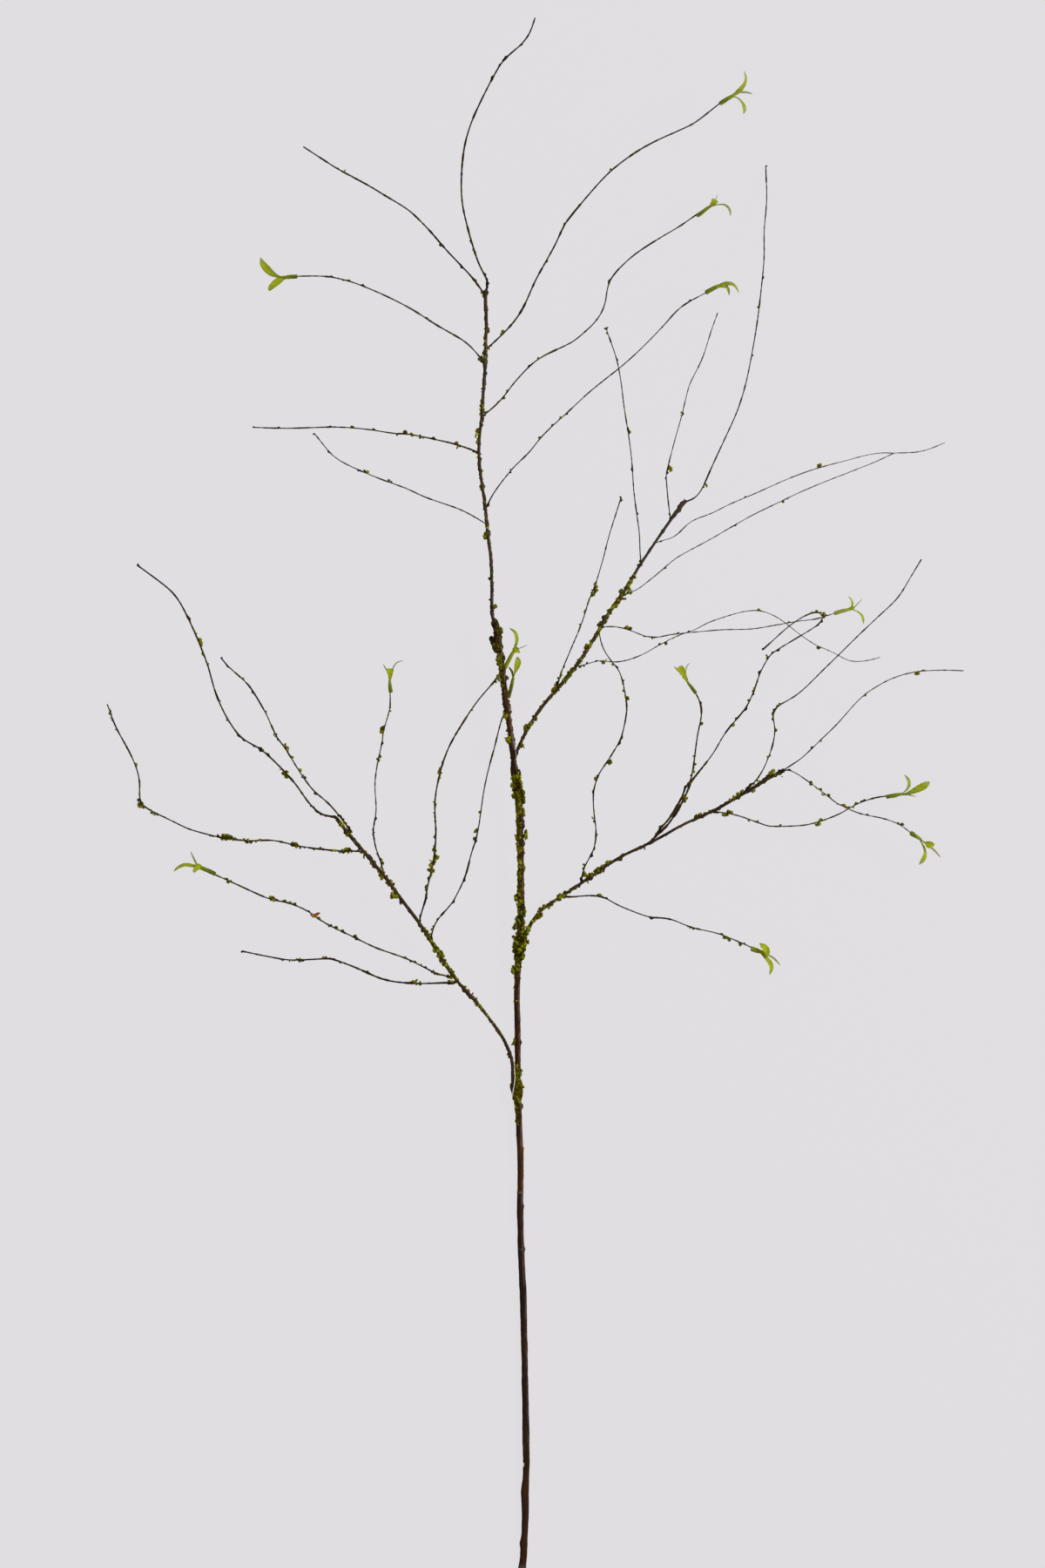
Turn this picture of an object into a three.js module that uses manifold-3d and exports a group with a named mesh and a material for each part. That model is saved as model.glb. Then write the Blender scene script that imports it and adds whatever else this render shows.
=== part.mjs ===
// Mossy twig spray, lying on a flat surface. Millimetres, +Z up, the cut end of the stem towards -Y
// and the leader towards +Y. The origin is under the middle of the spray, on the surface.
//
// One long stem carries a leader and three side shoots. Eight wiry twigs leave each of those four
// carriers, and thirteen of the twigs end in a pushed-on sprout of three thin leaves. Sleeves of
// moss are wrapped over the joints.
import * as THREE from 'three';
import { mergeVertices } from 'three/addons/utils/BufferGeometryUtils.js';
import Module from 'manifold-3d';

const wasm = await Module();
wasm.setup();

// ---- driving dimensions (mm) ------------------------------------------------------------------
const GAP = 0.3;                 // clearance between neighbouring pieces
const SLIVER = 0.06;             // faces finer than this are merged after a cut
const TWIG_R_BASE = 0.72;        // wrapped wire twig at its base
const TWIG_R_TIP = 0.6;          // and at its tip
const TWIG_SIDES = 6;
const TWIG_STEP = 17;            // length of one straight length of a twig's tube
const CARRIER_SIDES = 8;
const STEM_SIDES = 10;
const BORE_R = 0.95;             // end of the blind socket in a sprout's sleeve
const BORE_EXTRA = 0.6;          // its depth past the end of the twig
const SLEEVE_R0 = 1.9;           // sprout sleeve, open end
const SLEEVE_R1 = 2.5;           // sprout sleeve, fullest part
const SLEEVE_R2 = 1.7;           // sprout sleeve, neck under the leaves
const LEAF_THICK = 0.7;          // leaf at its root

// Radius along each carrier, as [fraction of its length, radius].
const RADII = {
  main_stem: [[0, 2.8], [0.02, 2.7], [0.1, 2.6], [0.35, 2.5], [0.75, 2.4], [1, 2.3]],
  top_leader: [[0, 1.35], [0.5, 1.3], [0.9, 1.4], [1, 1.3]],
  lateral_left: [[0, 1.4], [0.3, 1.3], [0.5, 1.5], [0.75, 1.4], [1, 1.45]],
  lateral_right: [[0, 1.5], [0.3, 1.4], [0.6, 1.15], [0.8, 1.3], [1, 1.6]],
  lateral_upper: [[0, 1.5], [0.3, 1.5], [0.6, 1.4], [0.85, 1.2], [1, 1.45]],
};

// Which carrier each run of eight twigs leaves from.
const CARRIER_OF = (n) => (n <= 8 ? 'top_leader' : n <= 16 ? 'lateral_upper' : n <= 24 ? 'lateral_right' : 'lateral_left');

// Stretches of the main stem that the moss covers, as fractions of its length.
const MOSS_UPPER = [0.6321, 0.8402];
const COLLAR = [0.8439, 0.8603];
const FORK_LEFT = [0.4799, 0.5337];
const TOP_SOCKET = 0.9669;

// Centrelines, base first, in millimetres.
const ROUTES = {
  main_stem: [
    [-11.8, -622.5, 2.7], [-11.6, -613.7, 2.7], [-10.7, -605.4, 2.7], [-10.2, -588.6, 2.7],
    [-9.8, -569.8, 2.7], [-8.7, -553, 2.7], [-7.9, -530, 2.7], [-8.4, -504.8, 2.7], [-8.7, -477.5, 2.7],
    [-8.9, -452.4, 2.7], [-10, -423, 2.8], [-10.8, -393.7, 2.8], [-12.3, -370.7, 2.8],
    [-12.8, -345.5, 2.9], [-13, -322.4, 3], [-12.8, -303.5, 3.3], [-12.9, -284.6, 3.8],
    [-13.8, -263.6, 4.3], [-14.4, -244.7, 4.7], [-15.1, -223.8, 5.2], [-14.9, -207, 5.6],
    [-14.8, -192.3, 6], [-15.2, -171.3, 6.7], [-15.6, -152.4, 7.5], [-14.1, -125.2, 8.7],
    [-12.9, -110.5, 9.4], [-12.2, -85.4, 10.5], [-12.3, -64.5, 11.4], [-12.4, -41.4, 12.5],
    [-13.9, -14.3, 13.7], [-15.5, 12.8, 15], [-17.3, 23.1, 15.5], [-19.5, 43.9, 16.5], [-21.8, 64.6, 17.6],
    [-24.3, 79, 18.4], [-26.6, 97.6, 19.5], [-28.5, 116.3, 20.6], [-31.2, 130.6, 21.4], [-32.4, 143, 22.2],
  ],
  top_leader: [
    [-33.8, 143.5, 22.5], [-34.9, 148.3, 22.5], [-35.4, 152.4, 22.6], [-35.6, 173.2, 22.9],
    [-36.1, 192, 23.3], [-38.7, 214.7, 23.8], [-41, 237.5, 24.4], [-45, 266.3, 25.4], [-45.8, 278.8, 25.8],
    [-45.4, 293.3, 26.3], [-43.8, 305.7, 26.5], [-42.8, 322.2, 26.9], [-41.5, 336.8, 27.1],
    [-40.5, 363.8, 27.6], [-40, 378.3, 27.7], [-40.8, 407.4, 28],
  ],
  lateral_left: [
    [-16.2, -237.7, 8.2], [-16, -223, 8.7], [-17.1, -214.7, 9.1], [-22.6, -196.7, 9.8],
    [-25.2, -191, 10.1], [-28.4, -185.6, 10.4], [-36.9, -173.6, 11], [-49.8, -157.2, 12],
    [-61.2, -144.9, 12.8], [-65.1, -140, 13.2], [-74.4, -126.1, 14.1], [-86.4, -106.5, 15.5],
    [-94.7, -94.4, 16.4], [-108.5, -76, 18], [-122.1, -57.6, 19.6], [-135.4, -41.6, 21.1],
    [-150.2, -24.1, 22.8], [-159, -12.4, 24],
  ],
  lateral_right: [
    [-9.6, -110.6, 9.5], [-8, -104.5, 10], [-4.6, -96.8, 10.7], [-1.1, -91.5, 11.2], [4.5, -85.3, 11.9],
    [21.8, -73.5, 13.4], [40.9, -60.5, 15.1], [58.1, -48.6, 16.5], [72.5, -40.2, 17.6],
    [85.8, -34.1, 18.6], [98.8, -27.4, 19.6], [117, -17.2, 20.9], [143.5, -4.9, 22.8], [157.9, 3.5, 23.9],
    [172.3, 11.9, 25], [184.6, 19.6, 26], [197.4, 26.6, 27],
  ],
  lateral_upper: [
    [-16.5, 41.6, 17], [-6.7, 60.1, 18.8], [-0.1, 70.7, 19.9], [7.4, 80.7, 21.2], [22.4, 98, 23.6],
    [34, 112.6, 25.7], [48.4, 135.4, 29.2], [56.6, 149.8, 31.3], [69.7, 168.4, 34], [82.5, 189.7, 36.7],
    [94, 206.8, 38.9], [104.5, 222.1, 40.8], [114.3, 235.3, 42.4], [118.4, 239.9, 43],
  ],
  twig_01: [
    [-40.1, 408.9, 28], [-39.4, 412.9, 28.9], [-39.7, 416.9, 29.8], [-45.8, 429.7, 32.8],
    [-50.5, 443.1, 35.7], [-56, 462.6, 39.6], [-58.5, 474.5, 41.9], [-59.5, 484.5, 43.6],
    [-59.4, 498.7, 46.2], [-58.4, 510.7, 48.6], [-56.9, 520.6, 50.6], [-54.4, 530.4, 52.4],
    [-50.3, 541.8, 54.3], [-41.6, 560.3, 55.9], [-35, 573.1, 55.9], [-29.9, 582.1, 55.5],
    [-26.3, 587.2, 55.2], [-22, 591.8, 54.8], [-12.7, 600.1, 53.7], [-7.4, 606.6, 52.6],
    [-4.5, 612.2, 51.8], [-1.1, 622.3, 50],
  ],
  twig_02: [
    [-41.5, 406.4, 27.9], [-51.6, 419.4, 29.3], [-71.6, 440.7, 29.9], [-86.7, 458.1, 29.1],
    [-100.2, 471.7, 25.2], [-107.1, 476.9, 22.9], [-121.5, 486.1, 18.3], [-134.2, 494.2, 14.8],
    [-160.3, 509.2, 8.2], [-174.6, 518.8, 4.3], [-187.1, 527.3, 0.8],
  ],
  twig_03: [
    [-39.9, 362.2, 27.5], [-32.1, 369, 29.3], [-21.8, 379, 31.6], [-15.3, 386.9, 33.3],
    [-9.9, 395.7, 34.8], [-0.5, 416.1, 38], [7.5, 430.4, 40.2], [14.5, 442.9, 42.1], [22.6, 459.4, 44.6],
    [27.4, 465.9, 45.8], [37.9, 478.4, 47.7], [53, 495.2, 49.6], [63.6, 504.9, 50], [80.5, 517, 49.6],
    [95, 525.1, 48.9], [110.1, 532.1, 47.7], [123.3, 538.5, 46.2], [130.2, 543.3, 45.1],
    [146.7, 556.5, 42], [149.8, 558.1, 42.3], [152.9, 559.7, 42.6],
  ],
  twig_04: [
    [-41.8, 352.2, 27.4], [-52.9, 363.9, 34.2], [-59.4, 368.7, 37.4], [-79, 379.4, 45], [-99.9, 391.9, 52],
    [-121.9, 402.4, 58.1], [-142.8, 410.8, 60], [-150.7, 413.3, 59.9], [-158.8, 415.2, 59.8],
    [-169, 416.5, 59.5], [-187.7, 416.7, 58], [-191.2, 416.5, 58.3], [-194.6, 416.2, 58.6],
  ],
  twig_05: [
    [-41.5, 309.9, 26.6], [-29.1, 321.1, 24.9], [-16.1, 337.6, 22.9], [-3, 351.2, 21.5],
    [5.6, 357.2, 20.8], [24.4, 366.4, 19.8], [29.9, 369.5, 19.6], [38, 376.1, 19.2], [45.6, 383.3, 18.9],
    [50.7, 390, 18.7], [53.5, 395.6, 18.5], [55.3, 401.6, 18.3], [57, 411.9, 18.1], [59.1, 417.9, 18.1],
    [63.8, 424.7, 18], [71.1, 432.2, 18], [77.4, 437.7, 18], [85.9, 443.8, 18.2], [100, 452.6, 18.6],
    [114.4, 461.1, 19.2], [128.2, 470.4, 20], [131.2, 472.1, 20.3], [134.3, 473.8, 20.6],
  ],
  twig_06: [
    [-40.4, 236.1, 24.3], [-33.2, 248.7, 25.2], [-19.1, 266.8, 26.4], [-5.8, 280, 27.3],
    [3.4, 291.3, 27.8], [10.7, 298.8, 28.2], [26.1, 312.8, 28.8], [41.4, 327, 29.3], [54.3, 337.5, 29.7],
    [65.8, 346.5, 30.1], [76.8, 356, 30.6], [88.8, 367.5, 31.2], [100.4, 379.5, 31.9],
    [113.1, 393.2, 32.7], [121.5, 399.2, 33.2], [136.2, 407, 34], [139.2, 408.8, 34.4],
    [142.2, 410.5, 34.8],
  ],
  twig_07: [
    [-45.5, 279.6, 25.8], [-63.1, 286.2, 23.1], [-79.3, 290.3, 20.9], [-101.9, 294.9, 18.5],
    [-114.4, 295.9, 17.4], [-135.1, 299.1, 15.7], [-147.6, 300.4, 14.8], [-162.2, 301.1, 14.1],
    [-183, 300.5, 14.4], [-201.7, 299.9, 16.7], [-226.4, 300.2, 22],
  ],
  twig_08: [
    [-39.6, 222.7, 24], [-52.1, 229.8, 29.8], [-61.4, 234.1, 33.8], [-88.5, 243.2, 43.6],
    [-103.5, 249.7, 48.4], [-126.5, 257.9, 54.7], [-150.8, 268.3, 60.3], [-157.8, 272.5, 61.8],
    [-162.5, 276.4, 62.9], [-175.4, 292, 66],
  ],
  twig_09: [
    [117.8, 239.4, 43], [121.7, 240.6, 44.3], [125.3, 242.4, 45.6], [128.3, 245.2, 46.8],
    [131.6, 250.3, 48.5], [139.9, 268.8, 53.1], [148.5, 287.4, 55.6], [157.1, 306.2, 55.7],
    [161.5, 317.9, 54.7], [166.1, 334, 52.4], [170.9, 356.8, 48.1], [175.3, 381.9, 42.6],
    [178.1, 403, 37.9], [180.8, 426.5, 31.6], [181.6, 437.3, 28.4], [182, 456.9, 21.9],
    [184.5, 483.1, 12.3], [184.4, 512, 0.8],
  ],
  twig_10: [
    [107.1, 225.4, 41.2], [105.3, 233.4, 45.1], [102.8, 255.5, 55], [102.7, 259.5, 56.8],
    [103.3, 263.5, 58.4], [108.6, 284.9, 66.9], [113.9, 304.2, 74.5], [119.1, 325.6, 81.5],
    [121.2, 331.3, 82.8], [127.6, 344, 84.9], [130.8, 351.5, 85.8], [137, 370.9, 87.5], [141.8, 384.4, 88],
  ],
  twig_11: [
    [83.4, 191.8, 37], [82.5, 197.9, 39.2], [81.6, 214.1, 45.1], [79.3, 230.2, 50.4], [77.1, 246.3, 55.3],
    [75, 272.5, 62.3], [72.2, 292.6, 67.2], [68.9, 312.5, 71], [66.3, 332.7, 73.3], [63.1, 348.7, 74.8],
    [54.6, 373.9, 76],
  ],
  twig_12: [
    [94.4, 206.7, 38.9], [98.2, 208.3, 40], [106.1, 210.4, 42.1], [109.7, 212.2, 43.2], [113, 214.7, 44.2],
    [120.4, 221.7, 46.7], [125.6, 224.9, 48.1], [139, 230, 50.8], [151.9, 236.3, 52.8], [174.6, 246, 54],
    [197.3, 256.1, 54], [212.8, 262.1, 54], [224.6, 265.9, 54], [244.6, 271.2, 54], [262.6, 275.9, 53.5],
    [273, 277.4, 52.5], [283.4, 277.5, 50.9], [302.4, 278.7, 47.3], [312.6, 281.5, 44.9],
    [324.4, 286.4, 42],
  ],
  twig_13: [
    [73.6, 167.5, 34.2], [79.4, 169.9, 33.6], [84.6, 173.4, 33], [97.7, 183.9, 31.3], [108.8, 193.4, 29.9],
    [114, 197, 29.3], [139.7, 211.1, 26.4], [156, 220.7, 24.6], [172.5, 230, 22.7], [191.4, 239.3, 20.6],
    [210.4, 248.4, 18.7], [227.8, 255.9, 17.2], [251.3, 265.2, 15.4], [272.8, 273.9, 13.8],
    [286.1, 280.2, 13],
  ],
  twig_14: [
    [16.8, 91.6, 22.7], [19, 101.8, 26.5], [26.7, 121, 33.8], [34, 138.1, 40], [37.5, 147.8, 43.3],
    [41.8, 161.6, 47.8], [45.8, 171, 50.8], [52.4, 192.5, 57], [57, 210.4, 61.4], [61.8, 226, 64.9],
    [66.8, 241.6, 68],
  ],
  twig_15: [
    [52, 140.6, 30], [60.3, 140.8, 30.5], [64.5, 140.4, 30.8], [72.6, 138.5, 31.2], [86.2, 133.4, 31.7],
    [92.4, 132.4, 31.8], [96.5, 132.4, 31.9], [108.8, 134.6, 31.9], [133.8, 137.1, 31],
    [148.3, 138.3, 30.3], [167.1, 138.7, 30], [175.4, 139.4, 30.1], [191.8, 142.2, 31], [208.1, 145, 32.4],
    [222.5, 146.8, 34], [236.3, 150.9, 36], [239.7, 151.8, 36.2], [243, 152.8, 36.5],
  ],
  twig_16: [
    [33, 109.6, 25.4], [37.1, 110.2, 26.7], [49.1, 113.3, 30.5], [63.6, 112.6, 34.5], [69.8, 113.4, 36.1],
    [75.8, 115, 37.6], [85.3, 118.8, 39.9], [97.9, 125.9, 42.6], [112.7, 133.3, 45.5],
    [124.4, 137.3, 47.7], [137.4, 143.7, 49.8], [161, 151.2, 51.9], [167.1, 152.3, 52],
    [173.3, 152.8, 51.8], [179.5, 152, 51.4], [189.2, 148.2, 50.3], [194.5, 145, 49.5],
    [209.5, 133.6, 46.5], [218.2, 127.8, 44.9], [223.7, 124.8, 44], [233.4, 120.8, 42.5],
    [246.5, 114.2, 40.3], [250.5, 113.1, 39.7], [256.8, 112.8, 38.7], [265.2, 114, 37.3],
    [273.4, 116.2, 36],
  ],
  twig_17: [
    [36.1, -61.6, 14.8], [38.4, -51.4, 20], [44.9, -38.3, 26.8], [47, -30.3, 30.2], [47.3, -19.9, 33.8],
    [45.8, -7.5, 36.9], [45.2, 2.8, 38.2], [45.5, 9, 38.8], [46.7, 15.1, 39.3], [48.7, 21, 39.8],
    [50.5, 24.7, 40.1], [58.5, 36.7, 41], [66.7, 51.1, 41.7], [69.6, 61, 41.9], [71.6, 73.2, 41.6],
    [71.4, 81.5, 39.8], [67.2, 101.9, 32.4], [64.5, 107.5, 30.4], [58.1, 115.7, 27.6], [53.8, 122.8, 25.5],
    [51.7, 128.7, 24], [50, 136.9, 22],
  ],
  twig_18: [
    [198.5, 27.4, 27], [210.5, 35.4, 28.7], [215.2, 39.5, 29.1], [227.1, 51, 29.8], [239, 62.6, 30],
    [254.5, 79.7, 27.2], [260.6, 85.5, 24.5], [265.8, 89.4, 22.1], [276.8, 96, 17.1], [284.6, 99.7, 14],
    [292.6, 102.6, 11.7], [298.8, 104.2, 10.1], [307.2, 105.7, 8.1], [326.4, 106.8, 4],
    [343.4, 106.4, 0.8],
  ],
  twig_19: [
    [143.4, -5.6, 25.8], [150.2, -0.8, 26.3], [160.9, 5.6, 27.2], [165.8, 9.4, 27.6], [173.3, 16.5, 30.3],
    [179.3, 24.8, 32.9], [184.4, 36.1, 35.8], [188.1, 47.9, 38.9], [189.3, 58.1, 41.6],
    [188.1, 70.5, 44.9], [190.7, 75.9, 46.6], [193.8, 78.5, 47.6], [204.3, 84.8, 51], [212.2, 91.2, 53.9],
    [226.5, 105.5, 60], [239.4, 118.3, 65.3], [253.7, 132.6, 70.3], [268.3, 146.6, 74.5],
    [281.4, 159.1, 78], [286.4, 165.5, 79.4], [294.6, 179.4, 82], [301.9, 191.6, 84],
  ],
  twig_20: [
    [89.5, -32.2, 19.5], [108.4, -9.9, 23], [113.5, -0.8, 24.9], [119.9, 12.2, 28.8], [123.2, 17.6, 30.8],
    [139.6, 38.7, 41.2], [150.1, 56.4, 49.2], [165.3, 75.6, 57.6], [170.7, 86.5, 62.1],
    [176.7, 103.9, 68.7], [182.4, 114.6, 72.5], [185, 117.7, 73.6], [188.2, 120.2, 74.6],
    [202.1, 128.7, 77.7], [217.8, 138.3, 79.8], [220.9, 140.8, 80.2], [223.6, 143.9, 80.6],
    [224.3, 147.8, 81], [221, 150, 81.3], [216.9, 149.7, 81.7], [211.1, 147.6, 82.2], [202.2, 142.2, 82.9],
    [197.3, 138.6, 83.2], [177.3, 120.7, 84],
  ],
  twig_21: [
    [89.8, -31.8, 21.5], [108.6, -9.4, 25], [115.5, 3.4, 27.8], [122.6, 18.4, 33.5], [124.7, 28.6, 36.5],
    [127.8, 53.2, 42.5], [130.7, 69.5, 47], [130.2, 77.7, 49.5], [127.1, 85.4, 52], [125.2, 88.3, 52.2],
    [123.2, 91.2, 52.5],
  ],
  twig_22: [
    [140.9, -6.3, 22.7], [159.4, -9.4, 21.8], [185.2, -18, 19.8], [189.3, -18.4, 19.3],
    [212.4, -17.7, 15.9], [220.7, -16.2, 14.8], [240.4, -9.5, 14], [255.1, -1.5, 14.1], [262.7, 1.8, 14.2],
    [272.7, 4.7, 14.6], [280.9, 5.8, 15], [284.3, 6.2, 15.2], [287.8, 6.6, 15.4],
  ],
  twig_23: [
    [193.2, 24.8, 27.3], [199, 26.4, 29.8], [204.8, 25, 32], [225.1, 10.9, 35.9], [236.6, 2, 34.5],
    [242, -1.3, 33.5], [257.4, -7.9, 30.3], [276, -11.9, 27], [284, -14.4, 25.4], [291.6, -18.1, 23.7],
    [298.5, -23, 22], [301.4, -25, 22.1], [304.2, -27.1, 22.3],
  ],
  twig_24: [
    [20.7, -74.7, 13.3], [29, -74.8, 15], [43.5, -73.8, 17.4], [51.7, -74.7, 18.5], [55.6, -76.1, 18.9],
    [66.6, -81.9, 19.8], [85.9, -89.5, 19.6], [92, -91, 19.2], [102.3, -91.9, 18.3], [108.5, -93.1, 17.7],
    [124, -99.1, 16.2], [146.3, -104.6, 14.7], [173.3, -115.9, 13], [176.4, -117.4, 13.2],
    [179.6, -118.8, 13.4],
  ],
  twig_25: [
    [-158.3, -12.2, 24], [-170.2, -8.8, 26.3], [-175.5, -5.5, 27.5], [-181.3, 0.5, 29.1],
    [-193.4, 17.3, 33.2], [-211.9, 36.9, 38.9], [-219.8, 43.4, 41.2], [-232.1, 50.8, 44.7],
    [-237.9, 56.6, 46.8], [-244.6, 66.9, 50], [-250.1, 77.9, 53.2], [-254.4, 89.5, 56.3],
    [-259.8, 109.3, 60.8], [-266.2, 126.6, 63.9], [-274.3, 145.4, 67.1], [-280.9, 158.1, 69.1],
    [-285.6, 164.8, 70.2], [-291.4, 170.5, 71.2], [-314.3, 187.7, 74],
  ],
  twig_26: [
    [-148.1, -26.6, 23], [-149.1, -22.6, 23.7], [-150.8, -18.8, 24.5], [-160.9, -5.5, 27.6],
    [-166.6, 0.7, 29.5], [-177.4, 10.3, 33.7], [-186.1, 21.9, 37.9], [-199.2, 43.1, 42],
    [-206.4, 53.3, 42], [-215.3, 72.2, 41.6], [-227.3, 91.9, 40], [-231.4, 96.6, 39.3],
    [-245.5, 109.4, 36], [-251.1, 115.8, 34],
  ],
  twig_27: [
    [-135.8, -39.6, 21.2], [-141.9, -38.4, 21.4], [-158.6, -37.9, 21.6], [-187.7, -34.5, 21.9],
    [-210.1, -29.7, 22], [-231, -29.8, 22], [-251.9, -27.3, 19.4], [-272.6, -22.3, 14.1],
    [-278.7, -20.4, 12.2], [-294.2, -13.2, 7.7], [-309.6, -5.8, 3.8], [-315, -2.3, 2.3], [-317.6, 1, 1.5],
    [-318.7, 5, 1], [-318.9, 17.6, 1.3], [-321.1, 27.8, 2.7], [-325.8, 39.4, 4.8], [-337, 61.6, 12.1],
    [-342.9, 79, 20],
  ],
  twig_28: [
    [-122.4, -56.9, 19.6], [-123.7, -48.6, 22.7], [-128.2, -34.6, 28], [-129.7, -24.2, 31.7],
    [-129.4, -17.9, 33.9], [-127.5, -5.5, 38.1], [-128.1, 15.3, 45.3], [-126.3, 29.8, 50],
    [-122.3, 48, 54.5], [-120.7, 58.3, 56.3], [-116.1, 74.2, 58.7], [-115.6, 80.4, 59.3],
    [-115.7, 88.7, 60], [-115.8, 92.2, 60.3], [-115.9, 95.7, 60.7],
  ],
  twig_29: [
    [-93.6, -95.3, 16.3], [-92.4, -89.2, 15.8], [-88.8, -77.3, 14.8], [-87.1, -67, 14],
    [-82.1, -44.6, 12.6], [-80.5, -23.8, 11.7], [-81.3, -7.1, 11.1], [-80.8, 5.5, 10.7],
    [-79.1, 15.8, 10.4], [-74.3, 34, 10], [-68.8, 47.5, 10], [-58.2, 65.5, 10.1], [-47.7, 81.1, 10.4],
    [-31.6, 100.4, 11.1], [-27.3, 107.5, 11.5], [-25.4, 110.5, 11.6], [-23.5, 113.4, 11.7],
  ],
  twig_30: [
    [-84.6, -110.3, 15.2], [-83, -102.1, 17.5], [-80.7, -96.2, 19.1], [-77.2, -90.9, 20.6],
    [-70.3, -83.1, 22.7], [-66.5, -78.1, 23.8], [-58.8, -63.2, 25.6], [-55.9, -55.5, 25.9],
    [-51.7, -39.4, 25.7], [-48.5, -29.5, 25.2], [-46.2, -19.3, 24.4], [-42, 9.5, 21.9],
    [-38.6, 25.8, 19.4], [-33.2, 46, 15.2], [-28.6, 64.2, 12.7], [-25.3, 74.1, 11.9], [-24.1, 84.5, 11.3],
    [-20.9, 92.2, 11], [-19.9, 95.5, 11.2], [-18.8, 98.8, 11.5],
  ],
  twig_31: [
    [-66.5, -138.9, 13.3], [-72.7, -138, 14.4], [-80.7, -135.6, 15.8], [-103, -124.5, 20],
    [-128.3, -115.1, 24.6], [-146.9, -106, 28.1], [-167.2, -95.8, 32], [-180.9, -86.5, 34.6],
    [-186.3, -83.5, 35.5], [-195.8, -79.6, 36.9], [-209.9, -76.4, 38.7], [-215.7, -74.5, 39.4],
    [-236.3, -65.1, 41.9], [-256.9, -55.6, 44], [-260, -54, 44.4], [-263.1, -52.4, 44.8],
  ],
  twig_32: [
    [-63.7, -143.2, 13], [-93.1, -144.2, 13.9], [-111.9, -143, 14], [-120.2, -141.4, 13.9],
    [-126.2, -139.6, 13.7], [-147.4, -130.5, 12], [-163.4, -125.1, 10.2], [-169.7, -124.7, 9.5],
    [-186.6, -125.5, 7.8], [-199.2, -125.6, 6.2], [-213.9, -123.3, 4.3], [-236.8, -118.8, 0.8],
  ],
};

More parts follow.
